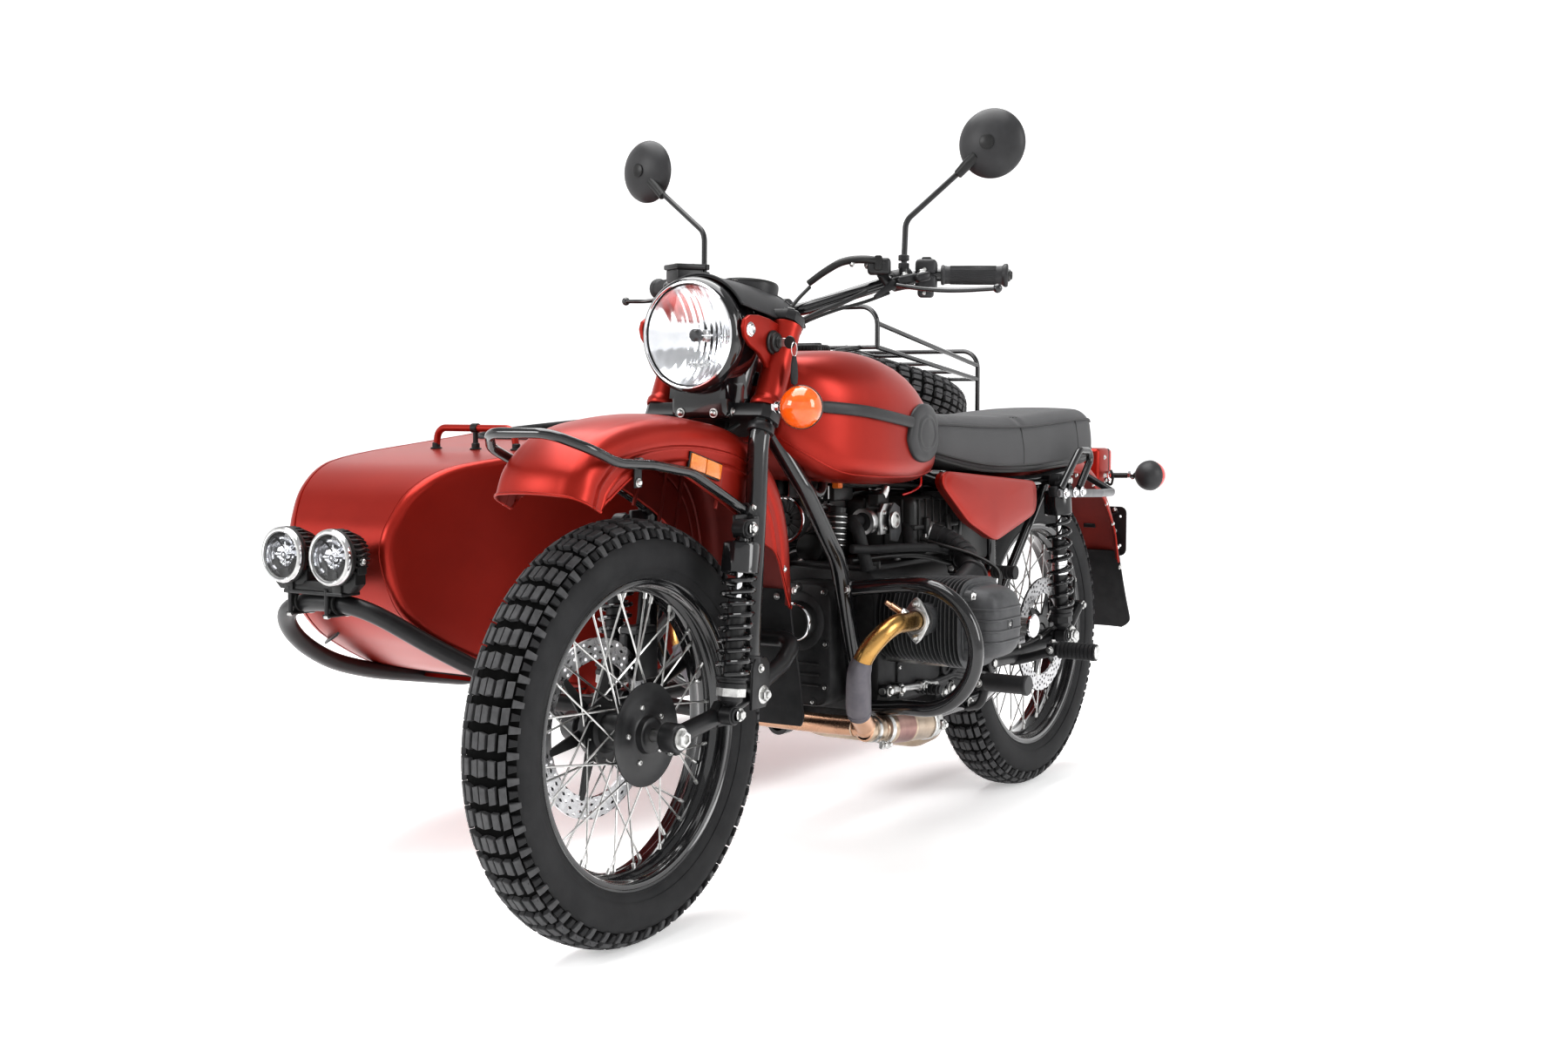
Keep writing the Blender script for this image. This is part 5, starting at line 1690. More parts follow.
# ------------------------------------------------------------------ crash bars and controls at the feet
def foot_parts():
    sh = Shape()
    for s in (1, -1):
        arc = [(s * (240 + 112 * math.cos(t)), -914 + 3 * math.sin(-t), 435 + 112 * math.sin(t)) for t in np.linspace(math.pi / 2, -math.pi / 2, 30)]
        tube(sh, smooth([(s * 100, -928, 534), (s * 150, -923, 540), (s * 200, -919, 545)], 4).tolist() + arc + smooth([(s * 200, -907, 321), (s * 150, -901, 315), (s * 104, -896, 311)], 4).tolist(), 14, "gloss_black", 28)
        for y, z in ((-928, 534), (-896, 311)):
            rbox(sh, (s * 88, y - 16, z - 16), (s * 112, y + 16, z + 16), "gloss_black", 6, 2)
            bolt(sh, (s * 104, y - 16, z), -Y, 6, "zinc", "hex")
    sh.make("engine_guard_bars", "chassis", "gloss_black", ["crash_bars"], sharp=35)

    sh = Shape()
    for s in (1, -1):
        # rider's peg: smooth rubber with an end flange
        lathe(sh, [(0, 0), (10, 0), (15, 3), (18.4, 6), (18.8, 20), (18.4, 84), (19.6, 88), (20.4, 91), (20.4, 96), (18.6, 98.4), (0, 99)], A(s * 165, -505, 312), A(s, 0, 0), "grey_plastic", 36)
        tube(sh, bend([(s * 110, -470, 250), (s * 150, -490, 262), (s * 172, -505, 312)], 40, 8), 9, "satin_black", 18)
        rbox(sh, (s * 150, -520, 296), (s * 172, -488, 326), "satin_black", 4, 2)
        bolt(sh, (s * 160, -521, 311), -Y, 6, "zinc", "hex")
        bolt(sh, (s * 120, -478, 262), A(s, 0, 0), 7, "zinc", "hex")
        # passenger's peg with ribs
        prof = [(0, 0), (10, 0)]
        for k in range(9):
            h = 8 + 9 * k
            prof += [(15.4, h), (18.2, h + 1.4), (18.2, h + 6.2), (15.4, h + 7.6)]
        prof += [(17.4, 89), (17.4, 92), (0, 92.5)]
        lathe(sh, prof, A(s * 206, -250, 350), A(s, 0, 0), "soft_rubber", 32)
        lathe(sh, [(0, 91), (13, 91), (14.5, 92), (14.5, 94), (12.5, 95.5), (0, 96)], A(s * 206, -250, 350), A(s, 0, 0), "zinc", 28)
        tube(sh, bend([(s * 106, -262, 318), (s * 150, -256, 330), (s * 210, -250, 350)], 60, 8), 10, "satin_black", 18)
        rbox(sh, (s * 190, -266, 336), (s * 210, -234, 364), "satin_black", 4, 2)
        bolt(sh, (s * 200, -267, 350), -Y, 5.5, "zinc", "hex")
        bolt(sh, (s * 196, -242, 364), Z, 5.0, "zinc", "hex")
    sh.make("foot_peg_set", "chassis", "soft_rubber", ["foot_pegs"], sharp=34)

    # kick lever: red arm, ribbed rubber, splined boss with a bright cap
    sh = Shape()
    path = bend([(110, -424, 430), (119, -422, 450), (122, -404, 522), (150, -402, 526)], [0, 20, 14, 0], 7)
    T, U, W = frames(path, X)
    ring = []
    for i, p in enumerate(path):
        ring.append([p + U[i] * 6 * math.cos(a) + W[i] * 9.5 * math.sin(a) for a in np.linspace(0, 2 * math.pi, 16, endpoint=False)])
    loft(sh, ring, "paint_red")
    prof = [(0, 0), (9, 0)]
    for k in range(6):
        prof += [(11.2, 2 + 8 * k), (13.8, 3.4 + 8 * k), (13.8, 7.4 + 8 * k), (11.2, 8.8 + 8 * k)]
    prof += [(14.2, 51), (14.2, 54), (0, 54.5)]
    lathe(sh, prof, A(130, -402, 524), X, "soft_rubber", 30)
    lathe(sh, [(18, -4), (18, 26), (16, 28), (0, 28)], A(92, -424, 430), X, "satin_black", 28)
    for k in range(18):
        a = 2 * math.pi * k / 18
        tube(sh, np.array([(122, -424 + 13.6 * math.cos(a), 421 + 13.6 * math.sin(a)), (226, -424 + 13.6 * math.cos(a), 421 + 13.6 * math.sin(a))]), 1.6, "zinc", 6)
    lathe(sh, [(0, 30), (13.6, 30), (13.6, 134), (15.5, 135), (22.5, 137), (24.0, 139), (24.0, 144), (22.0, 146), (0, 147)], A(92, -424, 421), X, ["zinc"] * 3 + ["chrome"] * 5, 40)
    sh.make("kick_starter", "chassis", "satin_black", ["kick_lever"], sharp=34)

    sh = Shape()
    bar(sh, (96, -560, 330), (128, -560, 330), 11, "satin_black")
    tube(sh, bend([(122, -700, 322), (122, -560, 330), (122, -420, 300)], 60, 8), 7, "satin_black", 16)
    for y, z, L in ((-700, 322, 52), (-420, 300, 42)):
        prof = [(0, 0), (8, 0)]
        for k in range(5):
            prof += [(8.8, 3 + L * k / 5.4), (11, 4.2 + L * k / 5.4), (11, 8 + L * k / 5.4), (8.8, 9.2 + L * k / 5.4)]
        prof += [(8, L), (0, L)]
        lathe(sh, prof, A(118, y, z), X, "soft_rubber", 24)
    # linkage above it with bright rod ends
    lathe(sh, [(0, 0), (6.5, 0), (6.5, 34), (9, 36), (9, 60), (6, 62), (6, 140), (9.5, 142), (9.5, 176), (6, 178), (6, 214), (0, 214)], A(132, -862, 338), unit(A(0, 1, -0.06)), ["steel"] * 11, 24)
    for y in (-846, -800, -706):
        bolt(sh, (140, y, 338 - 0.06 * (y + 862)), X, 6.4, "zinc", "hex")
        rbox(sh, (122, y - 9, 326 - 0.06 * (y + 862)), (140, y + 9, 350 - 0.06 * (y + 862)), "satin_black", 3, 2)
    sh.make("gear_lever", "chassis", "satin_black", ["gear_pedal"], sharp=34)
    sh = Shape()
    bar(sh, (-96, -560, 330), (-128, -560, 330), 11, "satin_black")
    tube(sh, np.array([(-122, -690, 316), (-122, -560, 330)]), 7, "satin_black", 16)
    lathe(sh, [(0, 0), (11, 0), (12, 2), (12, 52), (11, 54), (0, 54)], A(-118, -690, 316), -X, "soft_rubber", 28)
    sh.make("brake_lever_foot", "chassis", "satin_black", ["brake_pedal"], sharp=34)


foot_parts()


# ------------------------------------------------------------------ tank, pads, seat, side covers
def sect_ring(y, hw, zb, zt, rt, rb, n=9, crown=0.0):
    """Rounded section at y as points, same number for any size."""
    pts = []
    for cx, cz, r, a0 in ((hw - rt, zt - rt, rt, 0), (-hw + rt, zt - rt, rt, 90), (-hw + rb, zb + rb, rb, 180), (hw - rb, zb + rb, rb, 270)):
        for k in range(n + 1):
            a = math.radians(a0 + 90 * k / n)
            pts.append([cx + r * math.cos(a), y, cz + r * math.sin(a)])
    P = np.array(pts)
    # extra points on the flats so that the top can crown
    out = []
    m = len(P)
    for i in range(m):
        out.append(P[i])
        q = P[(i + 1) % m]
        L = np.linalg.norm(q - P[i])
        if i % (n + 1) == n:
            for k in range(1, 8):
                out.append(P[i] + (q - P[i]) * k / 8)
    out = np.array(out)
    if crown:
        t = np.clip(1 - (out[:, 0] / (hw - 0.3 * rt)) ** 2, 0, 1)
        out[:, 2] += np.where(out[:, 2] > zt - 0.6 * rt, crown * t, 0)
    return out


def body_loft(sh, S, mat, n=6, crown=0.0, ends=(0.86, 0.955), nose=(1.2, 5.0)):
    rows = smooth(np.array(S, float), n)
    rings = [sect_ring(*r, crown=crown) for r in rows]
    R = []
    for idx, (first, row) in enumerate(((True, rings[0]), (False, rings[-1]))):
        c = row.mean(0)
        dirn = 1 if first else -1
        caps = []
        for k, f in enumerate((0.25, 0.62, ends[0], ends[1])):
            q = c + (row - c) * f
            q[:, 1] = row[:, 1] + dirn * (0.0, 0.0, nose[0] * 0.6, nose[0] * 1.7)[k]
            caps.append(q)
        R.append(caps)
    allr = R[0] + [rings[0] + np.array([0, nose[1], 0])] + rings[1:-1] + [rings[-1] - np.array([0, nose[1], 0])] + R[1][::-1]
    loft(sh, allr, mat)
    return rows


def bodywork():
    TS = [(-1120, 62, 812, 912, 40, 34), (-1085, 112, 775, 948, 60, 40), (-1020, 150, 738, 962, 84, 44), (-930, 168, 726, 966, 96, 46),
          (-840, 170, 722, 956, 98, 46), (-760, 162, 722, 932, 92, 44), (-690, 146, 728, 884, 74, 38), (-650, 128, 736, 836, 46, 30)]
    sh = Shape()
    body_loft(sh, TS, "paint_red", n=8)
    # pressed seam round the underside
    rows = smooth(np.array(TS, float), 6)
    for s in (1, -1):
        tube(sh, np.array([(s * (r[1] - r[5] * 0.30), r[0], r[2] + r[5] * 0.30) for r in rows[2:-2]]), 2.0, "paint_red", 8)
    # filler neck, cap with a milled edge and a hinge
    nk = A(0, -905, 0)
    lathe(sh, [(40, 958), (40, 965), (38, 967), (36.5, 967.5)], nk, Z, "paint_red", 48)
    cap = [(0, 966), (37, 966), (38, 967), (38, 975), (37, 977), (33, 978.4), (20, 979), (0, 979.2)]
    lathe(sh, cap, nk, Z, "black_plastic", 60)
    for k in range(40):
        a = 2 * math.pi * k / 40
        tube(sh, np.array([(38 * math.cos(a), -905 + 38 * math.sin(a), 968), (38 * math.cos(a), -905 + 38 * math.sin(a), 975)]), 1.4, "black_plastic", 5)
    rbox(sh, (-26, -909, 976), (26, -901, 982), "black_plastic", 3, 2)
    sh.make("tank_shell", "chassis", "paint_red", ["fuel_tank"], sharp=40)

    # rubber strip and knee pad on each side
    for s, nm, hide in ((1, "tank_rubbers_left", ["tank_pads"]), (-1, "tank_rubbers_right", [])):
        sh = Shape()
        path = smooth([(120, -1094, 868), (153, -1030, 862), (167, -980, 857), (173.5, -930, 850), (175.5, -880, 843), (175.5, -830, 836)], 8)
        T, U, W = frames(path, Z)
        ring = []
        for i, p in enumerate(path):
            e = min(1.0, 0.35 + i / 5.0)
            ring.append([p + U[i] * 10.5 * e * math.sin(a) * (1.0) + W[i] * 5.6 * e * math.copysign(abs(math.cos(a)) ** 0.75, math.cos(a)) for a in np.linspace(0, 2 * math.pi, 20, endpoint=False)])
        loft(sh, ring, "grey_plastic")
        out = smooth([(-838, 802), (-834, 826), (-824, 850), (-800, 864), (-766, 870), (-726, 866), (-694, 850), (-674, 826), (-668, 804), (-684, 782), (-708, 768), (-744, 761), (-786, 762), (-818, 774)], 4, closed=True)
        c = out.mean(0)
        # the pad follows the tank's side, which narrows towards the rear

        def side_x(y):
            return float(np.interp(y, [-1020, -930, -840, -760, -690, -650], [150, 168, 170, 162, 146, 128]))
        rings = []
        for f, dx in ((1.0, -9), (1.0, 3.5), (0.985, 6.5), (0.95, 8.6), (0.86, 10.4), (0.7, 11.2), (0.66, 10.6), (0.62, 10.6), (0.57, 12.2), (0.52, 12.4), (0.48, 10.8), (0.40, 11.4), (0.2, 12.0)):
            rings.append([(side_x(c[0] + (q[0] - c[0]) * f) + dx - 1, c[0] + (q[0] - c[0]) * f, c[1] + (q[1] - c[1]) * f) for q in out])
        loft(sh, rings, "grey_plastic")
        if s < 0:
            sh = sh.mirrored()
        sh.make(nm, "chassis", "soft_rubber", hide, sharp=40)

    # side covers: dished panels with rounded edges and a turned-in flange
    for s, nm, hide in ((1, "side_panel_left", ["side_covers"]), (-1, "side_panel_right", [])):
        sh = Shape()
        corner = [(-690, 718), (-676, 742), (-262, 706), (-254, 694), (-252, 650), (-262, 636), (-440, 592), (-455, 592), (-570, 636), (-586, 648)]
        out = []
        m = len(corner)
        for i in range(m):
            a, b = np.array(corner[i]), np.array(corner[(i + 1) % m])
            k = max(2, int(np.linalg.norm(b - a) / 14))
            for j in range(k):
                out.append(a + (b - a) * j / k)
        out = np.array(out)
        # soften the corners
        for _ in range(3):
            out = 0.5 * out + 0.25 * (np.roll(out, 1, 0) + np.roll(out, -1, 0))
        c = np.array([-455, 672])
        rings = []
        for f, x in ((0.972, 141), (0.978, 149), (0.985, 154), (1.0, 157.6), (0.998, 160.2), (0.985, 161.6), (0.955, 162.0), (0.94, 162.2), (0.925, 163.4), (0.86, 165.0), (0.72, 167.2), (0.5, 169.0), (0.25, 169.8)):
            rings.append([(x, c[0] + (q[0] - c[0]) * f, c[1] + (q[1] - c[1]) * f) for q in out])
        loft(sh, rings, "paint_red", cap0=False)
        inner = [[(x - 3, y, z) for x, y, z in r] for r in rings[2:]]
        loft(sh, inner, "paint_in", cap0=False)
        if s < 0:
            sh = sh.mirrored()
        sh.make(nm, "chassis", "paint_red", hide, sharp=44)
    sh = Shape()
    for s in (1, -1):
        bar(sh, (s * 86, -430, 640), (s * 150, -430, 640), 8, "satin_black")
        bar(sh, (s * 86, -300, 678), (s * 150, -300, 678), 8, "satin_black")
        bar(sh, (s * 80, -610, 690), (s * 150, -610, 690), 8, "satin_black")
    # battery box and a bracket between the side panels
    rbox(sh, (-86, -500, 545), (86, -330, 690), "black_plastic", 8, 2)
    rbox(sh, (-88, -470, 600), (88, -455, 640), "satin_black", 3, 2)
    sh.make("bay_parts", "chassis", "satin_black", sharp=34)


bodywork()


def rider_seat():
    S = [(-648, 94, 776, 842, 30, 14), (-600, 121, 757, 847, 36, 16), (-420, 131, 731, 842, 40, 18), (-230, 133, 725, 840, 40, 18),
         (-60, 133, 729, 848, 40, 18), (80, 129, 735, 853, 40, 18), (128, 118, 752, 846, 40, 22)]
    sh = Shape()
    rows = smooth(np.array(S, float), 12)
    rings = []
    for r in rows:
        y, hw, zb, zt, rt, rb = r
        q = sect_ring(y, hw, zb, zt, rt, rb, n=9, crown=5.0)
        # stitched channels across the top where the panels meet
        g = 0.0
        for yc, dp in ((-262, 5.0), (-560, 1.5)):
            g += dp * math.exp(-((y - yc) / 7.0) ** 2)
        g -= 1.6 * math.exp(-((y + 240) / 16.0) ** 2) + 1.6 * math.exp(-((y + 284) / 16.0) ** 2)
        top = np.clip((q[:, 2] - (zt - 52)) / 40, 0, 1)
        q[:, 2] -= g * top
        # sides fill out between the seams
        bul = np.clip(1 - ((q[:, 2] - (zb + zt - rt) / 2) / (0.5 * (zt - rt - zb))) ** 2, 0, 1)
        q[:, 0] += np.sign(q[:, 0]) * 3.2 * bul * (np.abs(q[:, 0]) > hw - 4)
        rings.append(q)
    caps0, caps1 = [], []
    for f, dy in ((0.2, -1.0), (0.5, -0.8), (0.76, 0.4), (0.9, 3.4), (0.965, 8)):
        for lst, row, s in ((caps0, rings[0], 1), (caps1, rings[-1], -1)):
            c = row.mean(0)
            q = c + (row - c) * f
            q[:, 1] = row[:, 1] + s * dy
            lst.append(q)
    first = rings[0] + np.array([0, 15, 0])
    last = rings[-1] - np.array([0, 15, 0])
    body = caps0 + [first] + [r for r in rings if first[0, 1] + 2 < r[0, 1] < last[0, 1] - 2] + [last] + caps1[::-1]
    loft(sh, body, "seat_vinyl")
    o = sh.make("rider_cushion", "chassis", "seat_vinyl", ["rider_seat"], sharp=60, sub=1)
    # piping round the top panel, cross seam with stitches, edge trim along the base
    sh = Shape()
    side = []
    for r in rows:
        y, hw, zb, zt, rt, rb = r
        a = math.radians(28)
        side.append((hw - rt + rt * math.cos(a) + 0.9, y, zt - rt + rt * math.sin(a) + 0.6))
    side = np.array(side)[1:-1]
    loop = list(side) + [(side[-1][0] * 0.88, 127, side[-1][2]), (side[-1][0] * 0.5, 130.2, side[-1][2] + 1), (0, 130.8, side[-1][2] + 1.5), (-side[-1][0] * 0.5, 130.2, side[-1][2] + 1), (-side[-1][0] * 0.88, 127, side[-1][2])]
    loop += [(-p[0], p[1], p[2]) for p in side[::-1]]
    loop += [(-side[0][0] * 0.86, -648, side[0][2]), (-side[0][0] * 0.5, -650.5, side[0][2] + 1), (0, -650.8, side[0][2] + 1), (side[0][0] * 0.5, -650.5, side[0][2] + 1), (side[0][0] * 0.86, -648, side[0][2])]
    lp = smooth(np.array(loop), 3, closed=True)
    tube(sh, np.vstack([lp, lp[:1]]), 2.5, "seat_welt", 8, caps=False)
    for yc in (-262.0, 22.0):
        r = [np.interp(yc, rows[:, 0], rows[:, j]) for j in range(6)]
        hw, zb, zt, rt, rb = r[1:]
        for s in (1, -1):
            zs = np.linspace(zb + rb * 0.9, zt - rt * 0.55, 12)
            bul = np.clip(1 - ((zs - (zb + zt - rt) / 2) / (0.5 * (zt - rt - zb))) ** 2, 0, 1)
            tube(sh, np.stack([s * (hw + 3.0 * bul - 0.2 - 6.0 * np.clip((zs - (zt - rt)) / rt, 0, 1) ** 2 * 2), np.full(12, yc) + (zs - zb) * -0.10, zs], 1), 1.5, "seat_welt", 7)
    low = []
    for r in rows[1:-1]:
        low.append((r[1] - 0.6, r[0], r[2] + r[5] * 0.75))
    low = np.array(low)
    for s in (1, -1):
        tube(sh, low * [s, 1, 1], 3.4, "black_plastic", 8)
    # stitches across the seam
    yc = -262.0
    r = [np.interp(yc, rows[:, 0], rows[:, j]) for j in range(6)]
    hw, zb, zt, rt = r[1], r[2], r[3], r[4]
    for k in range(34):
        x = -hw + 22 + (2 * hw - 44) * k / 33
        z = zt + 5.0 * (1 - (x / hw) ** 2) - 2.6
        for dy in (-8, 8):
            tube(sh, np.array([(x - 2.0, yc + dy, z), (x + 2.0, yc + dy, z)]), 0.6, "seat_welt", 5)
    sh.make("rider_cushion_piping", "chassis", "seat_vinyl", sharp=50)
    sh = Shape()
    # seat pan seen below the cushion
    for s in (1, -1):
        tube(sh, smooth(np.array([(s * (q[1] - 10), q[0], q[2] + 3) for q in rows[3:-3]]), 2), 5.0, "black_plastic", 8)
    sh.make("seat_pan_edge", "chassis", "satin_black", sharp=40)


rider_seat()


# ------------------------------------------------------------------ sidecar body
TUB = [(-1396, 594), (-1391, 630), (-1375, 663), (-1337, 711), (-1262, 749), (-1150, 767), (-950, 784), (-800, 797), (-640, 812),
       (-200, 836), (-120, 836), (60, 812), (330, 742), (500, 668), (560, 600), (572, 520), (548, 400), (480, 330), (330, 300), (-850, 290), (-960, 303),
       (-1090, 334), (-1165, 364), (-1240, 400), (-1292, 428), (-1339, 464), (-1366, 497), (-1385, 544)]
PLAN_OUT = [(-1420, -818), (-1385, -862), (-1318, -893), (-1220, -926), (-1080, -955), (-900, -976), (-700, -986), (-300, -988), (200, -988), (420, -975), (620, -938)]
PLAN_IN = [(-1420, -602), (-1300, -570), (-1100, -518), (-950, -479), (-800, -444), (-600, -440), (0, -440), (200, -440), (420, -455), (620, -500)]
_po, _pi = smooth(PLAN_OUT, 6), smooth(PLAN_IN, 6)


def tub_out(y):
    return float(np.interp(y, _po[:, 0], _po[:, 1]))


def tub_in(y):
    return float(np.interp(y, _pi[:, 0], _pi[:, 1]))


_top = np.array([p for p in smooth(TUB[:17], 8)])


def tub_top(y):
    q = _top[(_top[:, 1] > 590)]
    i = np.argsort(q[:, 0])
    return float(np.interp(y, q[i, 0], q[i, 1]))


HOLES = [(-840.0, -170.0, 90.0), (-60.0, 430.0, 40.0)]


def hole_w(y):
    """Half width of the opening at y, its share, and whether y lies in one."""
    for a, b, r in HOLES:
        if a - 1e-6 <= y <= b + 1e-6:
            d = min(y - a, b - y)
            w = 210.0 if d >= r else 210.0 - r + math.sqrt(max(0.0, r * r - (r - d) ** 2))
            return w, True
    return 150.0, False


def sidecar_body():
    prof = smooth(TUB, 6, closed=True)
    # stations that follow the openings along the top
    ys = []
    for a, b, r in HOLES:
        for k in range(8):
            t = math.pi / 2 * k / 7
            ys += [a + r * (1 - math.cos(t)), b - r * (1 - math.cos(t))]
        ys += list(np.arange(a + r + 30, b - r - 10, 36))
    ys += [-1230, -1190, -1140, -1090, -1040, -990, -940, -900, -870, -140, -115, -90, 462, 490]
    ys = sorted(set(round(v, 3) for v in ys))
    hi = [(y, tub_top(y)) for y in ys]
    y_lo, y_hi = hi[0][0], hi[-1][0]
    rest = [p for p in prof if not (p[1] > 590 and y_lo - 12 < p[0] < y_hi + 8)]
    # order: along the top from front to back, then round the tail, along the floor, and up the nose
    cen = np.array([-430.0, 560.0])
    allp = [tuple(p) for p in rest] + hi
    allp.sort(key=lambda p: -math.atan2(p[1] - cen[1], p[0] - cen[0]))
    Q = np.array(allp)
    n = len(Q)
    T = np.roll(Q, -1, 0) - np.roll(Q, 1, 0)
    T /= np.linalg.norm(T, axis=1, keepdims=True)
    Nn = np.stack([-T[:, 1], T[:, 0]], 1)
    flip = np.sum(Nn * (cen - Q), axis=1) < 0
    Nn[flip] *= -1
    R = 14.0
    V, D, cols = [], [], None
    hole = []
    for (y, z), nn in zip(Q, Nn):
        w, inside = hole_w(y) if z > 700 and y > -1000 else (150.0, False)
        xi, xo = tub_in(y), tub_out(y)
        row, dirs = [], []
        mid = -720.0
        if xi - R - 14 < mid + w:
            w = xi - R - 14 - mid
        w2 = min(w, mid - (xo + R + 14))
        sides = []
        for s, xe in ((1, xi), (-1, xo)):
            part = []
            # panel, scaled towards the middle, then its rolled edge, then a fine groove beside the sheet
            for f in (0.06, 0.3, 0.6, 0.84, 0.95):
                inner = Q[len(hole)] + nn * R
                q = cen + (inner - cen) * f
                xx = tub_in(q[0]) if s > 0 else tub_out(q[0])
                part.append(((xx + s * 1.2 * (1 - f), q[0], q[1]), (-s, 0, 0)))
            for a in (90, 72, 54, 36, 18, 0):
                r = math.radians(a)
                off = R * (1 - math.cos(r))
                q = Q[len(hole)] + nn * (off - 0.6)
                xx = tub_in(q[0]) if s > 0 else tub_out(q[0])
                part.append(((xx - s * R * (1 - math.sin(r)), q[0], q[1]), (-s * math.sin(r), nn[0] * math.cos(r), nn[1] * math.cos(r))))
            for dx, off in ((16.5, -0.6), (17.2, 1.3), (18.8, 1.3), (19.6, 0.0)):
                q = Q[len(hole)] + nn * off
                xx = tub_in(q[0]) if s > 0 else tub_out(q[0])
                part.append(((xx - s * dx, q[0], q[1]), (0, nn[0], nn[1])))
            sides.append(part)
        a, b = sides[0][-1][0][0], sides[1][-1][0][0]
        flat = []
        for x in list(np.linspace(a, mid + w, 6)[1:]) + list(np.linspace(mid + w, mid - w2, 10)[1:]) + list(np.linspace(mid - w2, b, 6)[1:-1]):
            flat.append(((x, y, z), (0, nn[0], nn[1])))
        full = sides[0] + flat + sides[1][::-1]
        V.append([p for p, _ in full])
        D.append([d for _, d in full])
        hole.append(inside)
        cols = len(full)
    c0 = len(sides[0]) - 1 + 5
    c1 = c0 + 9
    V, D = np.array(V).reshape(-1, 3), np.array(D).reshape(-1, 3)
    NV = len(V)
    F, edge = [], {}
    for i in range(n):
        k = (i + 1) % n
        for j in range(cols - 1):
            if hole[i] and hole[k] and c0 <= j < c1:
                continue
            f = [i * cols + j, i * cols + j + 1, k * cols + j + 1, k * cols + j]
            F.append(f)
            for p, q in zip(f, f[1:] + f[:1]):
                edge[(p, q)] = edge.get((p, q), 0) + 1
    # middles of the two side panels
    Fc = [[i * cols for i in range(n)][::-1], [i * cols + cols - 1 for i in range(n)]]
    rim = [(p, q) for (p, q) in edge if (q, p) not in edge and p % cols not in (0, cols - 1)]
    sh = Shape()
    sh.add(V, F + Fc, "paint_red")
    inner = V + D * 8.0
    n0 = sh.n
    sh.add(inner, [f[::-1] for f in F + Fc], "lining")
    sh.f.extend([[p, q, q + NV, p + NV] for p, q in rim])
    sh.m.extend(["paint_red"] * len(rim))
    o = sh.make("sidecar_shell", "chassis", "paint_red", ["sidecar_body"], sharp=36)
    bmn = bmesh.new()
    bmn.from_mesh(o.data)
    bmesh.ops.dissolve_degenerate(bmn, edges=bmn.edges, dist=0.00002)
    bmn.to_mesh(o.data)
    bmn.free()

    # edge trim round the cockpit, its inner lining and a padded roll at the front
    sh = Shape()
    for (a, b, r), rad, mat in ((HOLES[0], 7.5, "soft_rubber"),):
        loop = []
        m = 10
        for cx, cy, a0 in ((210 - r, a + r, -90), (210 - r, b - r, 0), (-210 + r, b - r, 90), (-210 + r, a + r, 180)):
            for k in range(m + 1):
                t = math.radians(a0 + 90 * k / m)
                loop.append((-720 + cx + r * math.cos(t), cy + r * math.sin(t)))
        dense = []
        for p, q in zip(loop, loop[1:] + loop[:1]):
            L = math.hypot(q[0] - p[0], q[1] - p[1])
            k = max(1, int(L / 45))
            for j in range(k):
                dense.append((p[0] + (q[0] - p[0]) * j / k, p[1] + (q[1] - p[1]) * j / k))
        path = np.array([(x, y, tub_top(y) - 3.0) for x, y in dense])
        path = np.vstack([path, path[:1]])
        tube(sh, path + A(0, 0, 1.0), rad, mat, 12, caps=False)
    # bulkhead behind the seat, cover over the drive shaft, floor mat with ribs
    rbox(sh, (-976, -112, 302), (-452, -104, 822), "lining", 2, 1)
    rbox(sh, (-976, -86, 300), (-452, 24, 388), "lining", 16, 3)
    rbox(sh, (-940, -900, 300), (-500, -610, 312), "soft_rubber", 4, 2)
    for k in range(20):
        x = -925 + k * 21.5
        rbox(sh, (x, -888, 311), (x + 8, -640, 315), "soft_rubber", 1.5, 1)
    sh.make("sidecar_trim", "chassis", "soft_rubber", sharp=40)

    # bolts, hinge knuckles, seals where the drive shaft passes, folded seam under the nose
    sh = Shape()
    for x in (-830.0, -610.0):
        lathe(sh, [(3.1, -14), (6, -14), (6.6, -13.2), (6.6, 13.2), (6, 14), (3.1, 14)], A(x, -84, 845), X, "satin_black", 20)
        rbox(sh, (x - 13.5, -104, 826), (x + 13.5, -86, 842), "satin_black", 3, 2)
        prism(sh, [(-20, -17), (20, -17), (20, 15), (-20, 15)], A(x, -112, tub_top(-112) - 0.6), X, Y, Z, 3.4, "satin_black", 1.0, 2)
        for dx in (-12, 12):
            bolt(sh, (x + dx, -118, tub_top(-118) + 2.4), Z, 3.4, "zinc", "dome", washer=False)
    for x, sgn in ((-440, 1), (-988, -1)):
        c = A(x, -10.5 if sgn > 0 else -47.0, 345.5)
        lathe(sh, [(18, 1), (44, 1.5), (47, 0.2), (47, 2.4), (44, 4.0), (33, 4.4), (30, 8), (31.5, 12), (27, 15), (28, 19), (22, 22), (22.5, 26), (18.4, 28), (17.0, 28), (17, 2)], c, X * sgn, "soft_rubber", 40)
        for k in range(6):
            a = math.radians(60 * k + 30)
            bolt(sh, c + A(sgn * 3.8, 39 * math.cos(a), 39 * math.sin(a)), X * sgn, 3.0, "zinc", "dome", washer=False)
    for y in (-1120, -960, -700, -420, -140, 140):
        for x in (-470, -958):
            if tub_out(y) + 20 < x < tub_in(y) - 20:
                z = 290 if y > -850 else float(np.interp(y, [-1165, -1090, -960, -850], [364, 334, 303, 290]))
                bolt(sh, (x, y, z), -Z, 4.4, "zinc", "dome")
    for y, z in ((-1215, 391), (-1120, 350)):
        bolt(sh, (tub_in(y) - 34, y, z - 3), unit(A(0, -0.4, -0.9)), 4.2, "zinc", "dome")
    sh.make("sidecar_fixings", "chassis", "satin_black", sharp=34)


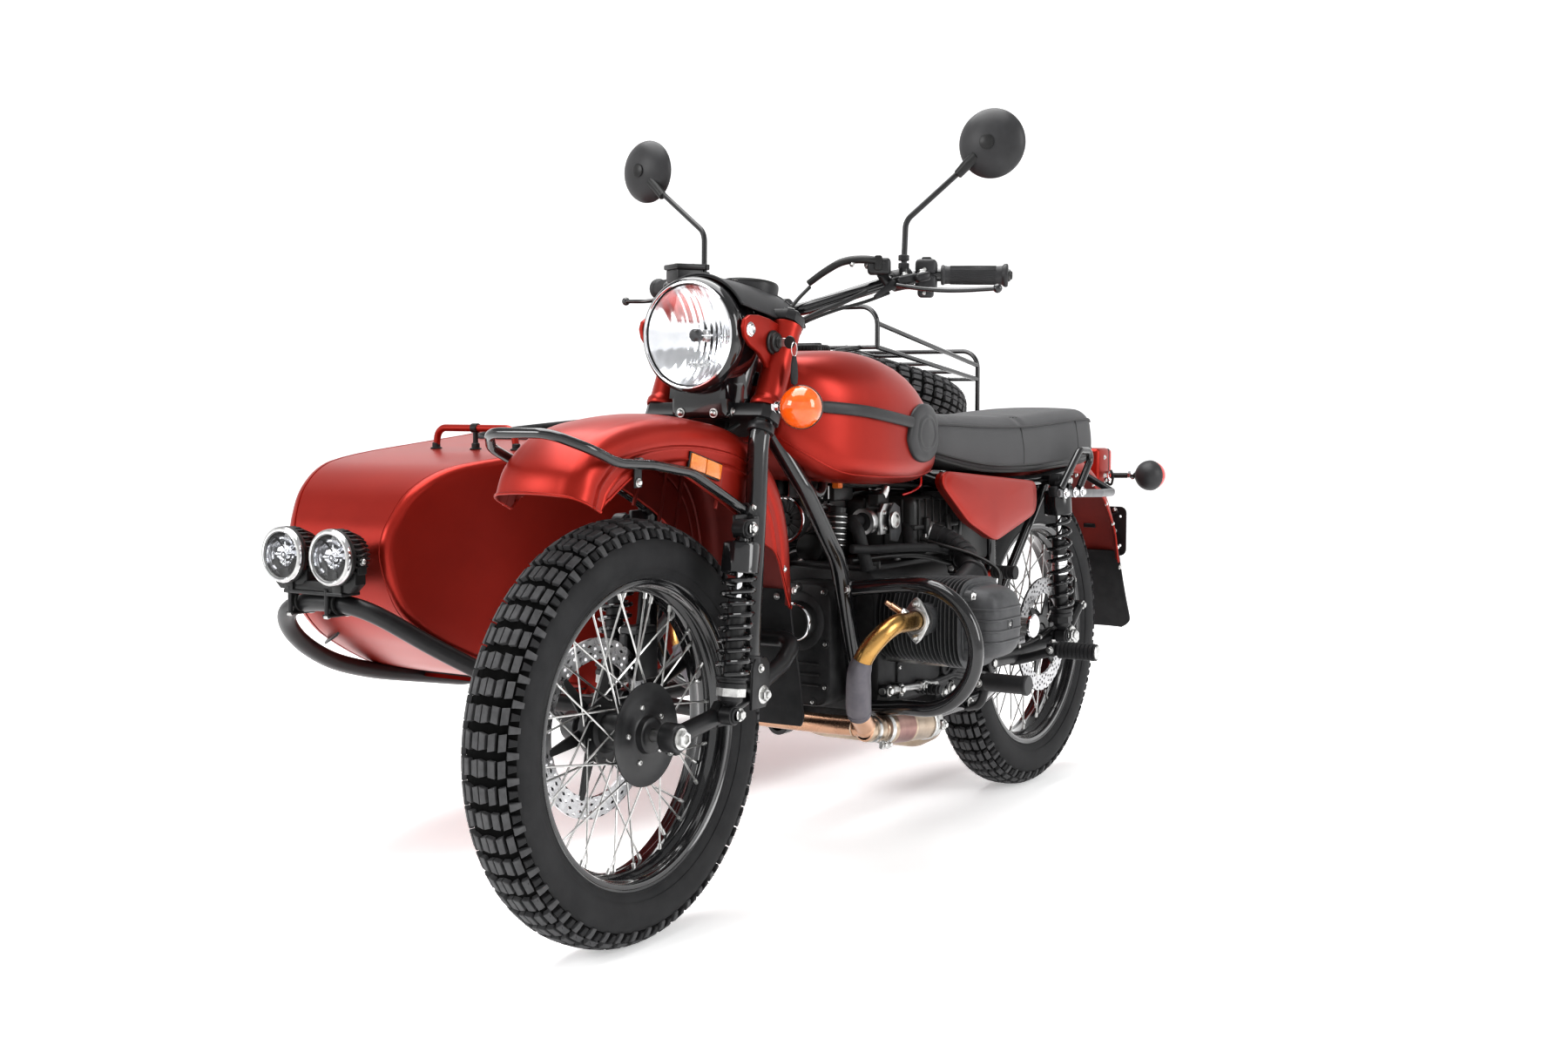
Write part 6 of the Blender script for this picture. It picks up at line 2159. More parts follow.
surf("lining", (0.020, 0.020, 0.021), (0.034, 0.034, 0.035), rough=0.85, rvar=0.05, scale=60, bump=0.6, bscale=900, dist=0.0006, spec=0.2, sheen=0.3)
sidecar_body()


def cushion_block(lo, hi, p=5.0, crown=12.0, pull=5.0, chan=(), edge="top", n=22):
    """Crowned pad: rounded block whose faces swell and whose sides pull in between the corners; chan are sewn channels across x."""
    lo, hi = np.array(lo, float), np.array(hi, float)
    c, h = (lo + hi) / 2, (hi - lo) / 2
    bm = bmesh.new()
    bmesh.ops.create_cube(bm, size=2.0)
    bmesh.ops.subdivide_edges(bm, edges=bm.edges, cuts=n, use_grid_fill=True)
    V = np.array([v.co[:] for v in bm.verts])
    F = [[v.index for v in f.verts] for f in bm.faces]
    bm.free()
    g = np.sin(V * math.pi / 2 * 0.999)
    s = (np.abs(g) ** p).sum(1) ** (1 / p)
    big = np.max(np.abs(g), axis=1)
    S = g / s[:, None] * big[:, None] ** 0.0
    out = S.copy()
    # faces swell, edges stay
    u, v, w = out.T
    top = np.clip(w, 0, 1)
    P = c + out * h
    P[:, 2] += crown * (top ** 3) * (1 - u ** 2) * (1 - v ** 2)
    side = 1 - np.clip(np.abs(w) * 1.2, 0, 1)
    P[:, 0] -= np.sign(u) * pull * (np.abs(u) ** 6) * (1 - v ** 2) * (1 - np.abs(w) ** 2) * 0.8
    P[:, 1] -= np.sign(v) * pull * (np.abs(v) ** 6) * (1 - u ** 2) * (1 - np.abs(w) ** 2) * 0.8
    for x0, dep, wid in chan:
        P[:, 2] -= dep * np.exp(-((P[:, 0] - x0) / wid) ** 2) * np.clip(w, 0, 1) ** 2 * np.clip(1.15 - np.abs(v) ** 8, 0, 1)
    return P, F


def sidecar_seat():
    # bench cushion
    P, F = cushion_block((-904, -598, 404), (-536, -214, 486), 5.5, 14, 7, chan=((-812, 7, 6), (-720, 7, 6), (-628, 7, 6)), n=44)
    sh = Shape()
    sh.add(P, F, "seat_vinyl")
    o = sh.make("sidecar_seat_cushion", "chassis", "seat_vinyl", ["sidecar_seat"], sharp=70)
    # back cushion, leaning with the body's rear wall
    P, F = cushion_block((-898, -150, -40), (-542, 150, 30), 5.5, 13, 7, chan=((-812, 7, 6), (-720, 7, 6), (-628, 7, 6)), n=44)
    th = math.radians(10.8)
    up = A(0, math.sin(th), math.cos(th))
    fw = A(0, -math.cos(th), math.sin(th))
    c = A(0, -196, 652)
    W = A(1, 0, 0) * P[:, :1] + up * P[:, 1:2] + fw * P[:, 2:3] + c
    sh = Shape()
    sh.add(W, F, "seat_vinyl")
    o = sh.make("sidecar_back_cushion", "chassis", "seat_vinyl", sharp=70)
    # piping along the cushions' edges and stitching beside the channels
    sh = Shape()

    def ring(x0, x1, a0, a1, r, f):
        pts = []
        for cx, cy, t0 in ((x1 - r, a0 + r, -90), (x1 - r, a1 - r, 0), (x0 + r, a1 - r, 90), (x0 + r, a0 + r, 180)):
            for k in range(7):
                t = math.radians(t0 + 90 * k / 6)
                pts.append(f(cx + r * math.cos(t), cy + r * math.sin(t)))
        pts.append(pts[0])
        return np.array(pts)
    tube(sh, ring(-895, -545, -589, -223, 40, lambda x, y: (x, y, 474)), 3.0, "seat_welt", 8, caps=False)
    tube(sh, ring(-890, -550, -141, 141, 36, lambda x, s: tuple(c + A(x, 0, 0) + up * s + fw * 19)), 3.0, "seat_welt", 8, caps=False)
    for x in (-812, -720, -628):
        for k in range(30):
            y = -566 + k * 11
            z = 486 + 14 * (1 - ((x + 720) / 184) ** 2) * (1 - ((y + 406) / 192) ** 2) - 7.4
            for d in (-4.5, 4.5):
                tube(sh, np.array([(x + d, y, z), (x + d, y + 5, z)]), 0.6, "seat_welt", 5)
    # plywood base the cushion rests on, with its trim panel
    rbox(sh, (-888, -578, 302), (-552, -124, 403), "lining", 6, 2)
    rbox(sh, (-894, -590, 392), (-546, -200, 404), "satin_black", 4, 2)
    sh.make("sidecar_seat_base", "chassis", "seat_vinyl", sharp=40)


sidecar_seat()


def sidecar_guard():
    crown = [(-50 - 405 * math.cos(math.radians(4 + 15.6 * k)), 345 + 405 * math.sin(math.radians(4 + 15.6 * k))) for k in range(13)]
    under = [(-50 - 352 * math.cos(math.radians(3 + 15.8 * k)), 345 + 352 * math.sin(math.radians(3 + 15.8 * k))) for k in range(13)]
    dl = [44, 47, 49.5, 52, 54, 57, 60, 64, 70, 78, 90]

    def prof(d):
        return bump(d, 52, 3.2, 2.0)
    sh = Shape()
    guard(sh, crown, under, 79.4, 90, -1130, "paint_red", "paint_in", dl, prof, n=7)
    o = sh.make("sidecar_mudguard", "chassis", "paint_red", ["sidecar_fender"], sharp=34)
    weld(o)
    sh = Shape()
    # stays from the body and frame
    for y, z in ((-250, 640), (150, 640)):
        rbox(sh, (-1052, y - 14, z - 30), (-1047, y + 14, z + 8), "satin_black", 1.5, 1)
        bar(sh, (-1050, y, z - 22), (-985, y, z - 22), 8, "satin_black")
        bolt(sh, (-1044, y, z - 4), X, 4.5, "zinc", "hex")
    sh.make("sidecar_guard_stays", "chassis", "satin_black")
    # position lamp on top and tail lamp behind
    sh = Shape()
    rbox(sh, (-1158, -158, 753), (-1102, -102, 768), "black_plastic", 5, 3)
    rbox(sh, (-1155, -155, 766), (-1105, -105, 788), "amber_lens", 8, 4)
    for s in (1, -1):
        bolt(sh, (-1130 + s * 15, -130, 787.5), Z, 2.4, "zinc", "dome", washer=False)
    bar(sh, (-1130, -130, 745), (-1130, -130, 756), 9, "black_plastic")
    rbox(sh, (-1168, 331, 562), (-1092, 341, 638), "black_plastic", 5, 3)
    rbox(sh, (-1164, 339, 566), (-1096, 351, 634), "red_lens", 5, 3)
    for k in range(6):
        rbox(sh, (-1162, 350.0, 570 + k * 10.6), (-1098, 351.6, 573 + k * 10.6), "red_lens", 0.6, 1)
    rbox(sh, (-1148, 302, 588), (-1112, 332, 612), "satin_black", 4, 2)
    sh.make("sidecar_lamps", "chassis", "amber_lens", ["sidecar_lights"], sharp=36)


sidecar_guard()


def sidecar_chassis():
    sh = Shape()
    ring = bend([(-452, 260, 268), (-452, -960, 268), (-500, -1110, 300), (-530, -1238, 376), (-560, -1310, 418), (-592, -1392, 474), (-612, -1452, 513), (-762, -1452, 509),
                 (-832, -1440, 484), (-870, -1364, 418), (-900, -1249, 360), (-925, -1111, 322), (-948, -820, 268), (-960, 260, 268)],
                [0, 160, 120, 90, 90, 60, 40, 60, 50, 90, 120, 120, 160, 0], 9)
    # even steps, then the corners of the nose part are eased into one sweep
    ring = np.asarray(ring, float)
    run = np.concatenate([[0], np.cumsum(np.linalg.norm(np.diff(ring, axis=0), axis=1))])
    st = np.linspace(0, run[-1], int(run[-1] / 12))
    ring = np.stack([np.interp(st, run, ring[:, j]) for j in range(3)], 1)
    soft = ring.copy()
    for _ in range(3):
        soft[3:-3] = sum(soft[3 + j:len(soft) - 3 + j] for j in range(-3, 4)) / 7
    wt = np.clip((-900 - ring[:, 1]) / 80, 0, 1)[:, None]
    ring = ring * (1 - wt) + soft * wt
    tube(sh, ring, 17, "satin_black", 28)
    for a, b, r in (((-452, 240, 268), (-960, 240, 268), 15), ((-452, -800, 268), (-948, -800, 268), 15), ((-452, -380, 268), (-1010, -380, 268), 19)):
        bar(sh, a, b, r, "satin_black", seg=24)
        for p, d in ((A(*a), 1), (A(*b), -1)):
            u = unit(A(*b) - A(*a)) * d
            lathe(sh, [(r - 1, 14), (r + 3.4, 15.2), (r + 3.4, 21), (r - 1, 24)], p, u, "satin_black", 24)
    tube(sh, bend([(-452, -846, 268), (-300, -846, 262), (-98, -846, 258)], 90, 6), 15, "satin_black", 24)
    tube(sh, bend([(-452, -345, 268), (-330, -345, 300), (-200, -345, 304), (-98, -345, 260)], [0, 50, 40, 0], 6), 15, "satin_black", 24)
    for a, b, r in (((-452, -960, 276), (-92, -1000, 640), 13), ((-432, -240, 270), (-92, -250, 700), 13)):
        a, b = A(*a), A(*b)
        d = unit(b - a)
        bar(sh, a, b, r, "satin_black", seg=22)
        L = np.linalg.norm(b - a)
        # threaded adjuster, lock nut and forked end
        lathe(sh, [(r, 70), (r + 4, 73), (r + 4, 84), (r, 87)], a, d, "zinc", 6)
        lathe(sh, [(r, L - 96), (r + 5, L - 92), (r + 5, L - 60), (r, L - 56)], a, d, "satin_black", 24)
        lathe(sh, [(r, L - 112), (r + 3.5, L - 110), (r + 3.5, L - 102), (r, L - 100)], a, d, "zinc", 6)
    # clamps that grip the motorcycle's frame
    for x, y, z, ax in ((-98, -846, 258, Y), (-98, -345, 260, Y), (-92, -1000, 640, Z)):
        lathe(sh, [(16.3, -17), (23, -17), (24.5, -15), (24.5, 15), (23, 17), (16.3, 17)], A(x, y, z), ax, "satin_black", 28)
        for s in (1, -1):
            bolt(sh, A(x, y, z) + unit(ax) * 10 * s + A(-24.5, 0, 0), -X, 5, "zinc", "hex")
    # gusset plates at the ring's corners
    for x0, sx in ((-452, -1), (-955, 1)):
        for y0, sy in ((-380, 1), (-380, -1), (240, -1)):
            prism(sh, [(0, 0), (62, 0), (0, 62)], A(x0, y0, 266), X * sx, Y * sy, Z, 4.0, "satin_black", 0.8, 1)
    # hoop that carries the spring unit
    tube(sh, bend([(-1003, -380, 268), (-1003, -262, 690), (-1003, -100, 690), (-1003, 20, 268)], 40, 8), 12, "satin_black", 22)
    bar(sh, (-958, 20, 268), (-1017, 20, 268), 15, "satin_black", seg=22)
    rbox(sh, (-1008, -206, 626), (-998, -174, 690), "satin_black", 2, 2)
    bar(sh, (-1003, -190, 640), (-1036, -190, 640), 7.4, "zinc")
    lathe(sh, [(7.4, 0), (12, 0.4), (12, 6), (7.4, 7)], A(-1035, -190, 640), -X, "zinc", 6)
    # tabs that hold the body's nose: a pressed strip with its bolt
    for x, xd in ((-551, 1), (-895, -1)):
        y, z = -1262, 391
        prism(sh, [(-10, -6), (64, -10), (72, 0), (64, 10), (-10, 6)], A(x - 4 * xd, y, z + 12), A(-xd * 0.86, -0.36, 0.36), unit(A(0, 0.7, 0.7)), unit(A(0.2 * xd, -0.6, 0.75)), 5.0, "satin_black", 1.2, 2)
        bolt(sh, A(x - xd * 54, y - 22, z + 40), unit(A(0, -0.75, -0.4)), 5.2, "zinc", "hex")
    # rubber body mounts
    for y in (-780, -120, 200):
        for x in (-470, -942):
            lathe(sh, [(0, 0), (17, 0), (19, 2), (19, 5.5), (17, 7), (0, 7)], A(x, y, 284.4), Z, "soft_rubber", 24)
    sh.make("sidecar_chassis_tubes", "chassis", "satin_black", ["sidecar_frame"], sharp=36)


sidecar_chassis()


def driving_lamps():
    sh = Shape()
    for x in (-636, -759):
        c = A(x, 0, 597)
        f = -Y                                   # the way the lamp looks
        # finned body behind the ring
        lathe(sh, [(0, 1428), (27, 1429), (30, 1432), (33, 1440), (40, 1452), (43, 1474), (46, 1482), (48, 1486), (44.5, 1487)], c, f, "black_plastic", 48)
        for k in range(30):
            a = 2 * math.pi * (k + 0.5) / 30
            u, w = A(math.cos(a), 0, math.sin(a)), A(-math.sin(a), 0, math.cos(a))
            path = []
            for j in range(9):
                t = j / 8
                y = -1434 - 48 * t
                wob = 2.0 * math.sin(t * math.pi * 2.0)
                path.append(c + u * (36 + 12.2 * min(1, t * 1.6)) + w * wob + A(0, y, 0))
            tube(sh, np.array(path), [2.6] * 9, "black_plastic", 6)
        # outer shell, bright ring, seal
        lathe(sh, [(44, 1478), (50.5, 1480), (51.8, 1483), (51.8, 1488), (50.4, 1490)], c, f, "black_plastic", 60)
        lathe(sh, [(50.2, 1489), (51.6, 1490.5), (51.8, 1493), (50.6, 1497.4), (48.0, 1500.2), (45.2, 1500.8), (43.6, 1499.6), (43.4, 1494)], c, f, ["black_plastic", "steel", "chrome", "steel", "steel", "chrome", "steel"], 64)
        lathe(sh, [(44.0, 1496), (43.0, 1498.4), (41.6, 1498.0), (41.4, 1494)], c, f, "alloy_ring", 60)
        # faceted reflector in four sectors with ribs between, bulb shield in the middle
        prof = [(40.6, 1494.5), (39.5, 1488), (36, 1479), (30, 1471), (22, 1465.5), (14, 1462.5), (9, 1462)]
        for q in range(4):
            a0 = math.radians(90 * q + 45 + 8)
            lathe(sh, prof, c, f, "reflector", 12, ref=X, a0=a0, a1=a0 + math.radians(74))
            a1 = math.radians(90 * q + 45 - 8)
            lathe(sh, [(r - 2.2, h + 2.4) for r, h in prof], c, f, "reflector", 4, ref=X, a0=a1, a1=a1 + math.radians(16))
        lathe(sh, [(12, 1461), (12, 1466), (9.6, 1469), (7.2, 1470), (7.2, 1478), (5.8, 1482), (3.4, 1484.2), (0, 1485)], c, f, "reflector", 24)
        for q in range(4):
            a = math.radians(90 * q)
            u = A(math.cos(a), 0, math.sin(a))
            tube(sh, np.array([c + u * 8 + A(0, -1472, 0), c + u * 22 + A(0, -1474, 0)]), 2.1, "reflector", 8)
        # clear front lens, slightly domed, with thickness
        dome = [(42.6, 1494.5), (42.4, 1497.5), (38, 1499.0), (30, 1500.2), (18, 1501.2), (8, 1501.7), (0, 1501.9)]
        back = [(0, 1499.6), (8, 1499.4), (18, 1498.9), (30, 1497.8), (38, 1496.4), (41, 1494.5)]
        lathe(sh, dome, c, f, "glass", 56)
        lathe(sh, back, c, f, "glass", 56)
        # trunnion ears and side bolts
        for s in (1, -1):
            rbox(sh, (x + s * 40, -1472, 566), (x + s * 46.5, -1450, 606), "black_plastic", 2.5, 2)
            bolt(sh, (x + s * 46.4, -1461, 590), X * s, 5.0, "zinc", "dome")
        # foot: a block with chamfered shoulders that steps down to the bracket
        prism(sh, [(-44, 40), (-30, 58), (-20, 62), (-9, 48), (9, 48), (20, 62), (30, 58), (44, 40), (44, 20), (26, 4), (-26, 4), (-44, 20)],
              A(x, -1477, 529), X, Z, Y, 26, "black_plastic", 2.0, 2)
        prism(sh, [(-11, 2), (11, 2), (11, 46), (-11, 46)], A(x, -1481.5, 529), X, Z, Y, 8, "black_plastic", 1.8, 2)
    # cross piece between the feet, with a six-sided window above it
    prism(sh, [(-66, 0), (66, 0), (74, 10), (30, 12), (22, 20), (-22, 20), (-30, 12), (-74, 10)], A(-697.5, -1478, 531), X, Z, Y, 27, "black_plastic", 2.0, 2)
    rbox(sh, (-772, -1482, 526), (-622, -1436, 533), "satin_black", 2, 2)
    # clamps round the bumper tube with their bolts
    for x in (-664, -758):
        lathe(sh, [(17.3, -9), (22, -9), (23, -8), (23, 8), (22, 9), (17.3, 9)], A(x, -1452, 511), X, "black_plastic", 28)
        for dy in (-26, 24):
            tube(sh, np.array([(x, -1452 + dy, 490), (x, -1452 + dy, 538)]), 4.4, "satin_black", 12)
            lathe(sh, [(3.4, -1), (6.8, 0), (6.8, 5), (3.4, 6)], A(x, -1452 + dy, 490), -Z, "zinc", 6)
        rbox(sh, (x - 9, -1482, 486), (x + 9, -1424, 492), "black_plastic", 2, 1)
    sh.make("driving_lamp_pair", "chassis", "lamp", ["driving_lamps"], sharp=34)
    # red carrying handle on dark feet
    sh = Shape()
    p = bend([(-604, -1030, 778), (-610, -1030, 820), (-812, -1030, 820), (-818, -1030, 778)], 30, 9)
    tube(sh, p, 7, "paint_red", 20)
    for x in (-604, -711, -818):
        z = tub_top(-1030)
        lathe(sh, [(0, 0), (11.5, 0), (12.2, 1.4), (11.4, 3.2), (8.2, 4.4), (8.2, 12), (6.8, 13.6)], A(x, -1030, z - 0.8), Z, "black_plastic", 24)
        if x == -711:
            tube(sh, np.array([(x, -1030, z + 3), (x, -1030, 815)]), 5.2, "black_plastic", 14)
            lathe(sh, [(7.4, -8), (9.6, -7), (9.6, 7), (7.4, 8)], A(x, -1030, 820), X, "black_plastic", 20)
    sh.make("sidecar_front_handle", "chassis", "paint_red", ["sidecar_handle"], sharp=36)


driving_lamps()


def lid_and_rack():
    # boot lid: a pressed panel with a rounded edge, shallow swage and turned-down rim
    sh = Shape()
    xs = [-950, -949.2, -946.5, -940, -928, -912, -906, -900, -880, -800, -720, -640, -560, -540, -534, -528, -512, -500, -493.5, -490.8, -490]
    ys = [-83.4, -82.6, -80, -72, -56, -40, -33, -27, 0, 60, 120, 200, 280, 330, 380, 398, 404, 410, 425, 440, 448, 453, 454.4, 455]

    def edge(d):
        return -6.4 if d <= 0 else (-6.4 * (1 - min(1, d / 7)) ** 2.2)

    def hh(x, y):
        d = min(x + 950, -490 - x, y + 84, 455 - y)
        dd = min(x + 950, -490 - x, y + 84, 455 - y)
        h = edge(d) + 8.6
        # swage line about 45 mm in from the rim
        h += 1.6 / (1 + math.exp(-(dd - 47) / 1.4))
        return h

    def lidz(y):
        return float(np.interp(y, [-100, 60, 330, 500], [836, 812, 742, 668]))
    nx, ny = len(xs), len(ys)
    V = [(x, y, lidz(y) + hh(x, y)) for y in ys for x in xs]
    low = [(x, y, lidz(y) + 1.2) for y in ys for x in xs]
    F = [[i * nx + j, i * nx + j + 1, (i + 1) * nx + j + 1, (i + 1) * nx + j] for i in range(ny - 1) for j in range(nx - 1)]
    NV = nx * ny
    rim = [(j, j + 1) for j in range(nx - 1)] + [((ny - 1) * nx + j + 1, (ny - 1) * nx + j) for j in range(nx - 1)]
    rim += [((i + 1) * nx, i * nx) for i in range(ny - 1)] + [(i * nx + nx - 1, (i + 1) * nx + nx - 1) for i in range(ny - 1)]
    # notches round the fixed hinge knuckles stay clear: the panel starts behind them there
    sh.add(V, F, "paint_red")
    n0 = 0
    sh.add(low, [f[::-1] for f in F], "paint_in")
    sh.f.extend([[b, a, a + NV, b + NV] for a, b in rim])
    sh.m.extend(["paint_red"] * len(rim))
    # hinge knuckles and leaves
    for x in (-830.0, -610.0):
        for d in (-1, 1):
            lathe(sh, [(0, 20), (6, 20), (6.5, 20.8), (6.5, 48.2), (6, 49), (0, 49)], A(x, -84, 845), X * d, "satin_black", 20)
            rbox(sh, (x + d * 21, -84, 839.5), (x + d * 47, -54, 843.5), "satin_black", 1.5, 1)
            bolt(sh, (x + d * 34, -62, 843.2), Z, 3.2, "zinc", "dome", washer=False)
        bar(sh, (x - 26, -84, 845), (x + 26, -84, 845), 3.0, "zinc", seg=12)
    # latch handle at the rear edge
    rbox(sh, (-752, 425, 700), (-688, 447, 712), "satin_black", 4, 3, rot=rotx(-22), at=(-720, 436, 706))
    # pedestal, stud and wing nut for the spare wheel
    cc = A(-715, 380, 878)
    nn = A(0, math.sin(math.radians(13.5)), math.cos(math.radians(13.5)))
    lathe(sh, [(0, -150), (60, -150), (60, -139), (52, -132), (50, -120), (50, -50), (46, -46), (0, -46)], cc, nn, "satin_black", 40)
    bar(sh, cc - nn * 118, cc + nn * 33, 9.6, "zinc")
    lathe(sh, [(10, 0), (26, 0.4), (26, 3), (16, 5), (14, 16), (10, 18), (0, 18)], cc + nn * 45 - nn * 12, nn, "zinc", 28)
    for s in (1, -1):
        tube(sh, smooth([tuple(cc + nn * 38 + X * s * 9), tuple(cc + nn * 46 + X * s * 22), tuple(cc + nn * 50 + X * s * 34)], 5), 4.6, "zinc", 10)
    sh.make("boot_lid_panel", "trunk_lid", "paint_red", ["trunk_lid"], sharp=30)
    sh = Shape()
    r = 6
    x0, x1 = -450.0, -980.0
    tube(sh, bend([(x0, 133, 1004), (x0, 133, 1104), (x1, 133, 1104), (x1, 133, 1004)], 45, 9), r, "gloss_black", 16)
    tube(sh, bend([(x0, 680, 790), (x0, 680, 1005), (x1, 680, 1005), (x1, 680, 790)], 45, 9), r, "gloss_black", 16)
    for x in (x0, x1):
        bar(sh, (x, 133, 1004), (x, 680, 929), r, "gloss_black", seg=16)
        bar(sh, (x, 133, 1063), (x, 680, 966), r, "gloss_black", seg=16)
    for k in range(1, 6):
        x = x0 + (x1 - x0) * k / 6
        bar(sh, (x, 133, 1004), (x, 680, 929), 4, "gloss_black", seg=12)
    for y in (133, 270, 407, 544, 680):
        z = 1004 - (y - 133) * 75 / 547
        bar(sh, (x0, y, z), (x1, y, z), 5, "gloss_black", seg=14)
    for x in (-500, -930):
        tube(sh, bend([(x, 133, 1004), (x, -2, 990), (x, -30, 838)], 30, 7), r, "gloss_black", 16)
        lathe(sh, [(0, 0), (17, 0), (18, 1.2), (17, 3), (8, 5), (6, 9)], A(x, -30, 840 - 4.2), Z, "gloss_black", 24)
    tube(sh, bend([(x0, 680, 795), (x0 - 42, 560, 708), (x0 - 46, 446, 704)], 40, 7), r, "gloss_black", 16)
    tube(sh, bend([(x1, 680, 795), (x1 + 42, 560, 708), (x1 + 46, 446, 704)], 40, 7), r, "gloss_black", 16)
    # weld beads where the rods cross
    for k in range(0, 7):
        x = x0 + (x1 - x0) * k / 6
        for y in (133, 270, 407, 544, 680):
            z = 1004 - (y - 133) * 75 / 547
            lathe(sh, [(0, -3.4), (5.8, -2.4), (6.4, 0), (5.8, 2.4), (0, 3.4)], A(x, y, z), Y, "gloss_black", 12)
    sh.make("luggage_rack_rods", "trunk_lid", "gloss_black", ["luggage_rack"], sharp=40)


lid_and_rack()


